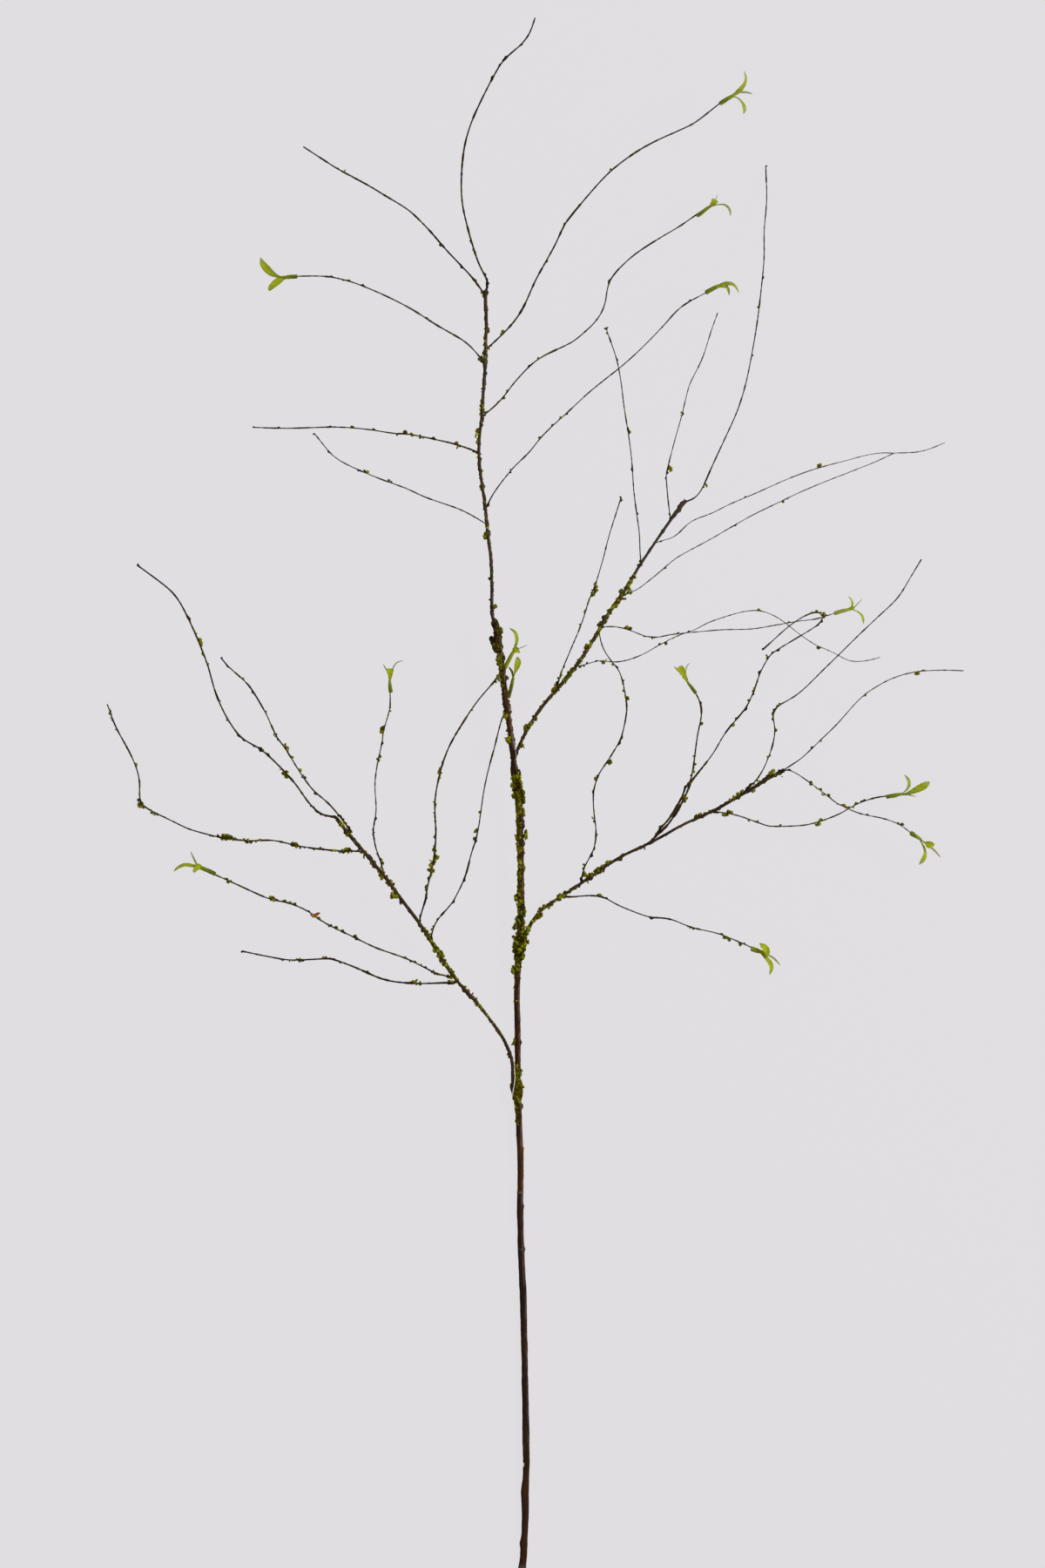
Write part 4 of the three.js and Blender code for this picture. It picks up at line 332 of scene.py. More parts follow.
# Larger moss crumbs: fraction of the way along, reach from the middle in mm (left is +), and length in mm.
CRUMBS = {
    "main_stem": [(0.450, -3.5, 3.5), (0.507, -4.5, 4.2), (0.512, -4.5, 3.5), (0.516, -4.6, 4.2),
        (0.528, -3.9, 3.5), (0.532, -3.8, 4.2), (0.560, 4.6, 3.5), (0.562, 4.6, 3.5), (0.635, 6.1, 4.9),
        (0.639, 5.8, 4.9), (0.650, 4.7, 4.2), (0.651, -4.9, 3.5), (0.655, -4.6, 3.5), (0.656, 5.9, 4.2),
        (0.660, -4.9, 4.2), (0.660, 6.2, 3.5), (0.665, 6.4, 3.8), (0.670, 6.5, 4.2), (0.681, 7.2, 3.8),
        (0.685, -3.8, 4.2), (0.685, 5.7, 4.2), (0.689, -4, 3.5), (0.694, 5, 3.5), (0.695, -4.2, 3.5),
        (0.698, -4.6, 3.5), (0.703, -3.9, 4.2), (0.706, 4.3, 4.2), (0.711, 5.6, 3.5), (0.715, 5.6, 3.5),
        (0.720, 3.6, 3.5), (0.725, 3.6, 4.2), (0.727, -3.3, 2.8), (0.731, 3.5, 4.2), (0.738, 3.6, 2.8),
        (0.743, -3.9, 2.8), (0.745, -3.9, 2.8), (0.755, 3.5, 2.8), (0.759, -3.4, 2.1), (0.766, 3.6, 2.1),
        (0.770, 4.2, 3.5), (0.774, 3.8, 2.8), (0.776, -6.3, 4.2), (0.778, 4.7, 3.1), (0.781, -6.4, 4.9),
        (0.793, 3.8, 2.8), (0.796, 3.2, 2.8), (0.800, -5.2, 4.2), (0.804, -5, 4.9), (0.812, -5.7, 4.5),
        (0.817, -5.8, 4.9), (0.820, 5.3, 4.9), (0.823, -6.2, 4.9), (0.826, 4.6, 3.8), (0.828, -5.1, 4.9),
        (0.831, 5.3, 4.5), (0.834, -5, 4.9), (0.837, 4.3, 4.5), (0.840, -5.5, 4.9), (0.846, -5, 4.9),
        (0.879, 5, 4.2), (0.889, 3.7, 1.4), (0.960, 4.3, 4.2), (0.964, 4.2, 4.2), (0.969, -3.9, 4.5),
        (0.978, 6, 4.5), (0.983, 6.9, 4.2), (0.984, -4.9, 4.2), (0.988, 6.6, 4.5), (0.990, -5.1, 4.2),
        (0.994, -5.3, 4.2)],
    "top_leader": [(0.050, -4.3, 4.2), (0.073, 2.6, 1.4), (0.122, -2.2, 3.5), (0.134, 2.9, 2.8),
        (0.260, 4.5, 3.8), (0.271, 3.6, 3.5), (0.344, 2.3, 2.1), (0.406, 2.3, 2.8), (0.414, 2.6, 2.8),
        (0.460, -3, 2.8), (0.495, -2.5, 4.2), (0.504, 2.2, 3.5), (0.548, 2.9, 2.8), (0.570, 3.8, 3.1),
        (0.581, 3.9, 3.5), (0.630, 2.3, 3.5), (0.646, -2.4, 1.4), (0.646, 2.4, 2.1), (0.655, 2.5, 2.8),
        (0.707, 2.3, 2.8), (0.810, 2.7, 2.8), (0.817, 2.9, 2.8), (0.838, 2.5, 1.4), (0.858, 2.6, 3.5),
        (0.880, -3.2, 2.8), (0.985, 2.9, 3.5)],
    "lateral_left": [(0.108, -2.3, 1.4), (0.129, 2.5, 2.8), (0.137, 2.8, 2.8), (0.314, 2.7, 3.8),
        (0.328, 2.2, 1.8), (0.330, -2.8, 4.5), (0.346, -3.1, 4.5), (0.361, -2.8, 4.9), (0.376, -2.9, 4.2),
        (0.410, -2.2, 1.8), (0.434, -2.9, 2.8), (0.444, -2.5, 3.1), (0.467, 3.2, 3.8), (0.475, -2.8, 4.5),
        (0.483, 3.5, 3.8), (0.490, -3.6, 4.2), (0.496, 3.2, 4.2), (0.503, -3.8, 4.2), (0.517, -2.8, 4.5),
        (0.517, 3.7, 4.2), (0.572, 2.6, 3.5), (0.573, -2.5, 2.1), (0.585, 2.9, 3.1), (0.589, -2.6, 4.2),
        (0.691, 3.4, 4.2), (0.712, 5.5, 3.8), (0.722, 6.5, 3.8), (0.747, -3.5, 4.5), (0.752, 2.8, 3.1),
        (0.759, -3.3, 4.5), (0.763, 2.9, 3.5), (0.780, -2.6, 2.4), (0.781, 4, 3.5), (0.790, 3.7, 3.1),
        (0.803, 2.6, 3.5), (0.836, 3, 4.5), (0.867, 3.2, 2.8), (0.922, -2.2, 1.8), (0.943, 3.1, 3.5),
        (0.978, 2.5, 4.2)],
    "lateral_right": [(0.000, 3.6, 1), (0.001, -4.6, 3.5), (0.014, 2.3, 1.4), (0.026, -2.7, 3.8),
        (0.038, -2.5, 3.8), (0.047, 3.6, 4.5), (0.077, -2.8, 2.8), (0.090, -4.2, 3.5), (0.101, -4.4, 3.1),
        (0.114, 3.2, 4.5), (0.129, 3.1, 4.9), (0.140, -3.6, 3.2), (0.151, -2.8, 3.2), (0.182, -3, 3.1),
        (0.182, 2.8, 2.8), (0.189, 3.4, 2.8), (0.209, 2.8, 4.5), (0.286, -3, 4.5), (0.295, 3.4, 3.1),
        (0.305, 3.5, 3.1), (0.326, 3.3, 3.1), (0.337, -2.9, 3.1), (0.339, 3.8, 3.2), (0.347, -3.5, 3.1),
        (0.352, 3.1, 3.5), (0.373, 3.6, 3.1), (0.383, 2.4, 3.1), (0.425, 2.3, 2.1), (0.689, 3.3, 3.8),
        (0.700, 3.5, 3.8), (0.717, 2.3, 2.1), (0.733, 2.3, 1.4), (0.884, -3.7, 3.5), (0.914, 2.4, 4.2),
        (0.946, 3.4, 4.2), (0.960, 4.4, 4.2), (0.970, 5.1, 2.8)],
    "lateral_upper": [(0.101, 3.7, 2.8), (0.107, 4, 2.8), (0.122, -2.6, 3.1), (0.143, -3.4, 3.1),
        (0.145, 2.6, 4.5), (0.205, 2.6, 4.2), (0.248, -2.3, 2.8), (0.250, 3.2, 2.8), (0.257, 3.7, 2.8),
        (0.262, -2.5, 3.5), (0.276, -2.2, 3.5), (0.298, -2.6, 4.2), (0.324, -2.4, 3.5), (0.327, 3, 4.2),
        (0.343, 2.8, 4.2), (0.350, -2.4, 1.8), (0.362, 2.3, 1.4), (0.376, 2.6, 1.8), (0.383, -2.6, 1.8),
        (0.412, 2.4, 2.1), (0.427, 3.6, 3.1), (0.435, 3.8, 3.1), (0.453, 2.6, 3.1), (0.514, 3.8, 2.8),
        (0.523, 3.3, 2.8), (0.532, -3.1, 3.1), (0.544, -2.4, 3.1), (0.564, -2.6, 4.2), (0.567, 2.8, 4.2),
        (0.593, -3.3, 4.5), (0.609, -3, 4.2), (0.613, 2.5, 3.1), (0.627, -3.9, 4.9), (0.634, 2.3, 1.4),
        (0.641, -2.9, 3.8), (0.643, 4.3, 2.8), (0.664, -2.9, 3.2), (0.684, -2.3, 1.8), (0.694, 2.3, 1.7),
        (0.706, -2.8, 4.2), (0.743, 2.3, 1.8)],
    "twig_01": [(0.148, 1.7, 2.8), (0.178, 1.8, 3.5)],
    "twig_02": [(0.006, -2.7, 1), (0.015, 2.2, 4.2), (0.274, 2.3, 3.5), (0.796, -2.7, 4.2)],
    "twig_03": [(0.009, -2.3, 3.8), (0.071, 2.9, 4.5), (0.626, 2.1, 2.8)],
    "twig_04": [(0.027, 2.9, 2.8), (0.029, -2.5, 3.5), (0.763, -1.7, 3.5)],
    "twig_05": [(0.017, 2.1, 3.1), (0.094, -2.2, 2.4), (0.120, 1.7, 1.4), (0.269, 1.8, 3.1)],
    "twig_06": [(0.142, -1.7, 2.8), (0.147, 1.7, 1), (0.285, 2, 3.8), (0.379, 1.8, 3.1)],
    "twig_07": [(0.012, 1.9, 1.4), (0.101, 3.1, 2.8), (0.107, -2.8, 4.5), (0.269, 2.4, 4.5),
        (0.272, -1.7, 2.8), (0.307, 1.8, 2.1), (0.313, -2, 3.5), (0.339, -3.4, 4.2), (0.371, 2, 2.8),
        (0.570, -2.1, 2.8)],
    "twig_08": [(0.553, -2.5, 3.1), (0.667, -2.7, 2.8), (0.683, -2.2, 2.8)],
    "twig_09": [(0.074, -3, 3.5), (0.445, -1.7, 2.1), (0.580, 1.9, 1.4)],
    "twig_10": [(0.251, -4.6, 4.5), (0.522, 1.7, 2.8)],
    "twig_11": [(0.557, -2.6, 3.5), (0.981, 1.7, 2.8)],
    "twig_12": [(0.582, 3.5, 2.8)],
    "twig_13": [(0.032, 3.4, 2.4), (0.034, -2.1, 4.2), (0.174, -1.7, 3.1), (0.610, -2.1, 3.8)],
    "twig_14": [(0.012, 3.7, 3.5), (0.051, 1.9, 3.8), (0.068, -2, 3.5), (0.344, 1.7, 2.8), (0.413, 1.7, 1.4),
        (0.510, -3.1, 3.5), (0.510, 1.7, 2.1), (0.525, 1.7, 2.5), (0.529, -4, 3.9), (0.547, -2.8, 3.5),
        (0.556, 1.9, 2.1), (0.984, -2, 2.1)],
    "twig_15": [(0.111, 3.3, 2.8), (0.122, 3.1, 2.8), (0.225, -1.8, 2.8)],
    "twig_16": [(0.005, 2.3, 1), (0.011, -2.2, 3.1), (0.023, -1.8, 3.5), (0.036, 2, 1.4), (0.087, -2.8, 4.2),
        (0.094, 2, 2.1), (0.288, -2.7, 2.4), (0.586, 2, 3.1), (0.800, -2.7, 4.5)],
    "twig_17": [(0.037, -3.6, 3.5), (0.057, 1.8, 3.8), (0.071, 2.4, 3.8), (0.201, -1.7, 2.1),
        (0.254, 1.9, 1.4), (0.265, 2.3, 2.8), (0.408, 2.7, 3.2), (0.484, -3.9, 3.8), (0.726, -3, 3.9),
        (0.753, 2, 3.5), (0.795, -1.8, 4.2), (0.868, 2.1, 2.1)],
    "twig_18": [(0.210, -1.8, 1), (0.500, -1.7, 1.8), (0.781, -3.3, 3.1)],
    "twig_19": [(0.067, 2.3, 4.5), (0.083, 2.8, 4.5), (0.096, 3.3, 4.5), (0.112, 2.9, 4.2), (0.153, -1.7, 3.8),
        (0.165, -2.2, 3.9), (0.242, 1.7, 1.4), (0.247, -1.7, 2.8), (0.325, -2.2, 4.2), (0.400, 1.8, 3.1),
        (0.409, 2.1, 3.1)],
    "twig_20": [(0.410, -2.4, 2.4), (0.429, 1.8, 2.1), (0.491, 2, 2.8), (0.520, 1.7, 2.1), (0.529, 1.7, 2.8),
        (0.623, 2.7, 4.5), (0.808, -3.2, 4.5), (0.822, -2.2, 4.5)],
    "twig_21": [(0.513, 1.7, 2.4), (0.535, -2.4, 2.4), (0.582, -2.4, 2.8), (0.627, 1.8, 1.4),
        (0.830, -2.6, 3.5)],
    "twig_22": [(0.065, -3.2, 2.8), (0.081, -2.6, 2.8), (0.087, 3.4, 3.1), (0.102, 2.9, 3.1), (0.205, -2, 2.1),
        (0.257, 1.9, 1.4), (0.383, 2.1, 1.4), (0.586, -3.7, 2.5), (0.599, -3.4, 2.5), (0.611, 2.4, 4.5),
        (0.783, 1.9, 1.8), (0.803, -1.8, 2.1), (0.827, 2.2, 3.8)],
    "twig_23": [(0.008, -5.1, 1), (0.245, 2.2, 2.8), (0.256, -2, 2.8), (0.326, 2, 2.8), (0.367, -2.8, 3.2),
        (0.389, 2.6, 3.1), (0.514, 2.5, 2.8), (0.535, 1.8, 2.8), (0.929, 3, 4.2)],
    "twig_24": [(0.014, -1.8, 2.8), (0.185, 2.4, 2.8), (0.198, 2.5, 2.8), (0.674, -1.8, 1.8),
        (0.689, -1.8, 2.4), (0.859, -3.3, 2.8), (0.873, -3.1, 2.8), (0.935, -3, 3.5), (0.953, 1.7, 1.4)],
    "twig_25": [(0.094, 1.7, 1.8), (0.212, 3.2, 3.5), (0.221, -2.8, 4.5), (0.222, 3.3, 3.5), (0.236, 1.9, 2.8),
        (0.314, -1.7, 3.5), (0.457, 1.8, 2.8), (0.520, -1.8, 2.1), (0.635, -1.7, 2.1), (0.699, -2.9, 3.1),
        (0.708, -3.3, 3.1), (0.730, -1.7, 3.5)],
    "twig_26": [(0.003, -1.9, 1), (0.027, -2.6, 4.2), (0.067, -1.9, 3.8), (0.090, -2, 3.5), (0.261, 2.1, 1.8),
        (0.346, -2.2, 3.5), (0.353, 1.8, 3.5), (0.383, -2.7, 3.5), (0.453, -2.3, 3.5), (0.500, -3.2, 3.5),
        (0.512, -3.2, 3.5), (0.570, 2.1, 2.8), (0.574, -1.7, 2.1), (0.580, 1.8, 2.8), (0.688, -1.7, 3.1),
        (0.861, -1.8, 3.5)],
    "twig_27": [(0.008, -1.9, 1.8), (0.019, 2, 2.8), (0.030, -2, 2.1), (0.055, -3.2, 2.8), (0.057, 2.2, 3.5),
        (0.062, -3.2, 2.8), (0.074, -1.9, 2.1), (0.081, 2.3, 3.5), (0.138, -2.1, 2.8), (0.195, 2.3, 3.5),
        (0.207, 2.3, 3.1), (0.210, -2.8, 3.5), (0.219, -2.8, 3.5), (0.313, -1.7, 2.8), (0.338, 2.6, 4.9),
        (0.348, -2.1, 3.5), (0.351, 2.6, 4.9), (0.359, -2, 3.5), (0.383, -2, 3.5), (0.390, 1.7, 4.2),
        (0.397, -3.6, 3.5), (0.407, -4, 3.5), (0.411, 2.3, 4.2), (0.418, -3.8, 3.8), (0.422, 2.5, 4.2),
        (0.436, -2.2, 3.1), (0.639, 2.7, 3.1), (0.647, 2.5, 3.2), (0.679, 3.7, 3.5), (0.688, -1.8, 2.8),
        (0.689, 3.9, 3.8), (0.700, 2.9, 3.8), (0.801, -2.2, 3.1), (0.920, 1.8, 2.4), (0.957, 1.8, 4.5),
        (0.971, 1.9, 1.8), (0.976, -1.8, 2.8)],
    "twig_28": [(0.000, 1.9, 1), (0.012, -2.1, 3.5), (0.032, -1.9, 3.5), (0.044, 1.8, 1.4), (0.064, -2.5, 2.8),
        (0.081, -2.1, 2.8), (0.119, 1.7, 2.8), (0.636, -1.8, 3.5), (0.638, 1.9, 2.8), (0.656, -2.2, 3.5),
        (0.786, 3.3, 2.8), (0.800, 3.6, 2.8), (0.898, -1.8, 3.5)],
    "twig_29": [(0.122, 2.1, 3.5), (0.134, 2.5, 3.5), (0.187, -2.4, 3.5), (0.195, 3.6, 4.5),
        (0.196, -3.2, 3.5), (0.213, 3.4, 4.9), (0.221, -2, 3.8), (0.230, 2.6, 4.5), (0.238, -3.7, 3.8),
        (0.252, -3.2, 4.2), (0.269, -1.9, 3.5), (0.272, 2.6, 4.2), (0.286, 1.8, 4.2), (0.320, 2.1, 4.2),
        (0.440, -1.7, 4.2), (0.446, 1.8, 4.2), (0.539, -1.9, 3.5), (0.555, -1.9, 3.5), (0.561, 2.8, 2.8),
        (0.571, 2.2, 2.8), (0.815, -1.7, 2.4), (0.947, -2.3, 4.9), (0.964, -2.8, 4.9), (0.969, 1.7, 4.2)],
    "twig_30": [(0.031, 1.9, 3.5), (0.048, 2, 3.8), (0.064, 1.8, 3.5), (0.427, 2.9, 2.8), (0.456, 3.2, 4.5),
        (0.526, 2.2, 2.4), (0.935, 3.1, 4.2), (0.955, -3.5, 4.5), (0.973, -3, 4.5)],
    "twig_31": [(0.011, 2.6, 3.1), (0.017, -1.9, 2.4), (0.065, 1.9, 2.8), (0.074, 2.1, 2.8),
        (0.083, -1.8, 2.1), (0.135, -1.7, 1.4), (0.163, -1.8, 2.5), (0.179, 1.7, 2.4), (0.204, -1.8, 2.8),
        (0.402, 1.8, 2.1), (0.410, -2.6, 3.8), (0.465, -2.2, 2.8), (0.492, -2.5, 3.8), (0.511, -1.8, 2.8),
        (0.518, 1.7, 2.1), (0.587, 2.3, 3.5), (0.671, -2.4, 3.2), (0.685, -2.4, 3.5), (0.710, -2.3, 4.2),
        (0.751, 1.7, 2.8), (0.754, -3.1, 2.8), (0.761, 2, 2.8), (0.765, -2.7, 2.8), (0.928, -1.7, 2.8),
        (0.934, 2.4, 2.8), (0.943, -1.9, 3.1)],
    "twig_32": [(0.027, -2, 3.5), (0.040, -2.7, 3.5), (0.170, 2, 4.2), (0.172, -2, 3.5), (0.189, 1.8, 4.2),
        (0.194, -3.2, 2.8), (0.203, -2.9, 2.8), (0.543, 1.8, 2.1), (0.611, -2.3, 2.8), (0.624, -2.2, 3.1),
        (0.730, 2.1, 2.8), (0.731, -1.9, 3.5), (0.744, -1.7, 3.5), (0.776, 1.7, 4.5), (0.810, 1.8, 3.5)],
}

# Dark knots, in the same way.
NODES = {
    "main_stem": [(0.493, -3.8, 2.8), (0.496, -4.1, 2.8), (0.561, -3.6, 3.5), (0.690, 3.5, 1.4),
        (0.770, -4, 4.9), (0.787, -4, 4.2), (0.793, -4.1, 4.9), (0.874, -3.5, 3.5), (0.878, -3.8, 3.5),
        (0.899, -3.4, 2.8), (0.907, -3.9, 3.5), (0.911, -3.8, 3.1), (0.915, -4.1, 3.5)],
    "top_leader": [(0.008, -3.7, 3.5), (0.268, -2.6, 2.8), (0.277, -2.7, 2.8), (0.300, -2.1, 2.1),
        (0.412, -2.7, 2.8), (0.598, -2.5, 2.1), (0.609, -2.4, 2.8), (0.620, -2.6, 2.8), (0.720, -2.2, 2.1),
        (0.754, -2.4, 2.1), (0.783, 2.5, 1.4), (0.788, -2.2, 3.5), (0.801, -2, 3.5), (0.886, -3.2, 2.8),
        (0.944, -2.1, 2.4), (0.993, -2.5, 3.5)],
    "lateral_left": [(0.343, 2.6, 3.8), (0.356, 2.3, 3.5), (0.371, 2.8, 3.8), (0.557, 2.9, 3.1),
        (0.602, 2.5, 3.5), (0.739, 2.3, 1.8), (0.823, 3.2, 4.2), (0.831, -2.4, 3.8), (0.848, -2.8, 3.1),
        (0.855, -2.6, 3.1), (0.953, 3.2, 3.5)],
    "lateral_right": [(0.029, 2.8, 4.9), (0.222, -2.3, 1.8), (0.242, -2.3, 1.4), (0.254, -2.7, 2.4),
        (0.301, -3.4, 4.5), (0.318, -2.5, 1), (0.413, -3.6, 3.8), (0.702, -2.6, 2.1), (0.833, -2.7, 3.1),
        (0.929, -2.4, 3.1), (0.931, 2.6, 3.8), (0.970, -2.5, 1.8), (0.984, -2.6, 3.8)],
    "lateral_upper": [(0.020, 3.4, 1), (0.404, -2.3, 1.8), (0.539, 3.5, 3.1), (0.547, 3.3, 3.1),
        (0.750, -2.2, 1.8), (0.963, -2.8, 4.5), (0.973, 2.7, 3.8), (0.986, 2.9, 3.8)],
    "twig_01": [(0.004, 1.5, 1), (0.012, -1.5, 1.8), (0.028, -1.9, 2.8), (0.040, -1.6, 3.1),
        (0.057, -1.8, 3.1), (0.746, 1.8, 2.8), (0.795, 1.6, 3.1), (0.813, 1.4, 1.8), (0.827, 1.6, 1.8),
        (0.895, -1.5, 1.8)],
    "twig_02": [(0.069, -1.9, 2.1), (0.147, 1.9, 2.8)],
    "twig_03": [(0.310, -1.9, 1), (0.426, 1.6, 1.4)],
    "twig_04": [(0.015, 3.1, 2.8), (0.359, -1.5, 1.8), (0.697, -2, 2.8), (0.792, 1.5, 1.4), (0.846, -1.5, 2.8)],
    "twig_05": [(0.010, -1.8, 1), (0.071, 1.4, 1.8), (0.230, 1.5, 1.8), (0.639, 1.8, 3.8)],
    "twig_06": [(0.013, -1.9, 3.9), (0.344, 1.9, 1), (0.403, -1.8, 2.1), (0.938, 1.5, 1.8)],
    "twig_07": [(0.028, 1.8, 3.1), (0.211, -2.1, 3.1), (0.478, -2.3, 2.8), (0.662, -1.4, 1.4),
        (0.888, -1.7, 1.4), (0.998, -1.4, 1)],
    "twig_08": [(0.709, 1.5, 1.4), (0.884, 1.5, 1.8), (0.999, 2.2, 1)],
    "twig_09": [(0.000, 2.8, 1), (0.666, -1.7, 2.1), (0.999, -1.8, 1)],
    "twig_10": [(0.000, 2.3, 1), (0.010, 1.6, 2.1), (0.028, 1.6, 2.8), (0.202, 1.5, 2.4), (0.516, -2, 2.8)],
    "twig_11": [(0.009, 2.2, 2.4), (0.213, -2, 1.4), (0.402, 1.4, 1.4), (0.862, -1.4, 1.4), (0.999, -2.6, 1),
        (0.999, 2.4, 1)],
    "twig_12": [(0.024, -1.5, 1.4), (0.330, 1.6, 1.4)],
    "twig_13": [(0.439, -1.5, 1.4)],
    "twig_14": [(0.000, 2.4, 1), (0.031, 3.1, 3.5), (0.118, -1.5, 1.4), (0.999, 2, 1)],
    "twig_15": [(0.007, -1.6, 1.4), (0.193, -1.4, 1.1), (0.335, 1.8, 2.1), (0.809, 1.4, 1.4),
        (0.958, -1.9, 1.8), (0.967, 3.2, 2.4)],
    "twig_16": [(0.067, 1.4, 1.4), (0.272, 1.9, 2.1), (0.368, 1.4, 1.4)],
    "twig_17": [(0.010, -1.9, 1), (0.016, 2.2, 3.1), (0.119, -2.3, 2.8), (0.148, -1.7, 3.5), (0.360, 1.7, 3.5),
        (0.560, -2, 4.5), (0.581, -1.7, 3.5), (0.847, -1.5, 1.8)],
    "twig_18": [(0.161, 2, 1.8), (0.811, 1.6, 3.5)],
    "twig_19": [(0.027, -1.6, 4.2), (0.041, -1.5, 1.8), (0.052, 2, 4.2), (0.128, 1.9, 4.5), (0.142, 2.4, 4.2),
        (0.360, 1.9, 3.1), (0.372, 2, 3.8), (0.384, 2.1, 3.1)],
    "twig_20": [(0.467, -1.9, 4.5), (0.512, -1.5, 1.4), (0.573, 2.3, 3.8), (0.638, 1.6, 1.4),
        (0.653, -2.1, 3.1), (0.778, -1.4, 3.5), (0.790, -2.2, 2.8), (0.999, -1.5, 1)],
    "twig_21": [(0.429, 2.2, 4.5), (0.458, 1.6, 1), (0.952, -1.6, 1.8)],
    "twig_22": [(0.009, -1.8, 2.8), (0.028, -1.8, 2.4), (0.855, 1.9, 1.4), (0.875, 2.2, 1)],
    "twig_23": [(0.020, 2.6, 2.8), (0.040, -2, 1.8), (0.088, 1.9, 3.1), (0.686, 1.7, 1.4)],
    "twig_24": [(0.225, 1.7, 1.8), (0.470, -2.1, 3.5), (0.830, 2, 3.1)],
    "twig_25": [(0.011, 1.4, 1.4), (0.014, -1.8, 3.5), (0.043, 1.6, 1.1), (0.055, 1.7, 3.5), (0.071, 1.6, 3.5),
        (0.085, -1.4, 1.7), (0.297, -1.6, 3.5), (0.319, 2.3, 3.1), (0.324, -2.2, 3.5), (0.343, 1.7, 2.1),
        (0.380, 1.5, 2.8), (0.402, 1.7, 4.2), (0.668, 1.8, 2.8), (0.776, -2, 3.5), (0.999, -2, 1)],
    "twig_26": [(0.046, -2.5, 3.5), (0.107, -1.7, 4.2), (0.117, 1.6, 2.4), (0.553, 1.5, 1.8),
        (0.786, 1.8, 1.8), (0.950, 1.4, 3.5), (0.999, -1.5, 1)],
    "twig_27": [(0.071, 2.8, 3.5), (0.103, 1.4, 1), (0.156, 1.8, 2.1), (0.218, 1.8, 3.5), (0.449, 1.4, 1.4),
        (0.459, 1.4, 1.4)],
    "twig_28": [(0.229, 1.4, 3.5), (0.253, 1.5, 3.8), (0.317, -1.9, 2.8), (0.727, -1.4, 1.4)],
    "twig_29": [(0.008, -1.5, 2.1), (0.027, 1.4, 1.4), (0.096, -1.4, 1.4), (0.168, 2.2, 3.5),
        (0.597, 1.5, 1.4)],
    "twig_30": [(0.003, -2.8, 1), (0.015, -2.1, 3.1), (0.090, 1.5, 1.8), (0.181, -1.8, 3.5),
        (0.268, -1.6, 1.4), (0.417, -1.5, 1.4)],
    "twig_31": [(0.022, 2.2, 3.1), (0.087, 1.7, 1.4), (0.115, -2.1, 1), (0.609, -1.6, 1.4)],
    "twig_32": [(0.007, -2.3, 1), (0.021, 1.8, 4.2), (0.042, 2, 4.2), (0.413, -1.6, 2.4), (0.574, -1.5, 1.4),
        (0.592, -1.6, 3.5), (0.717, 2.1, 2.8), (0.999, 1.9, 1)],
}

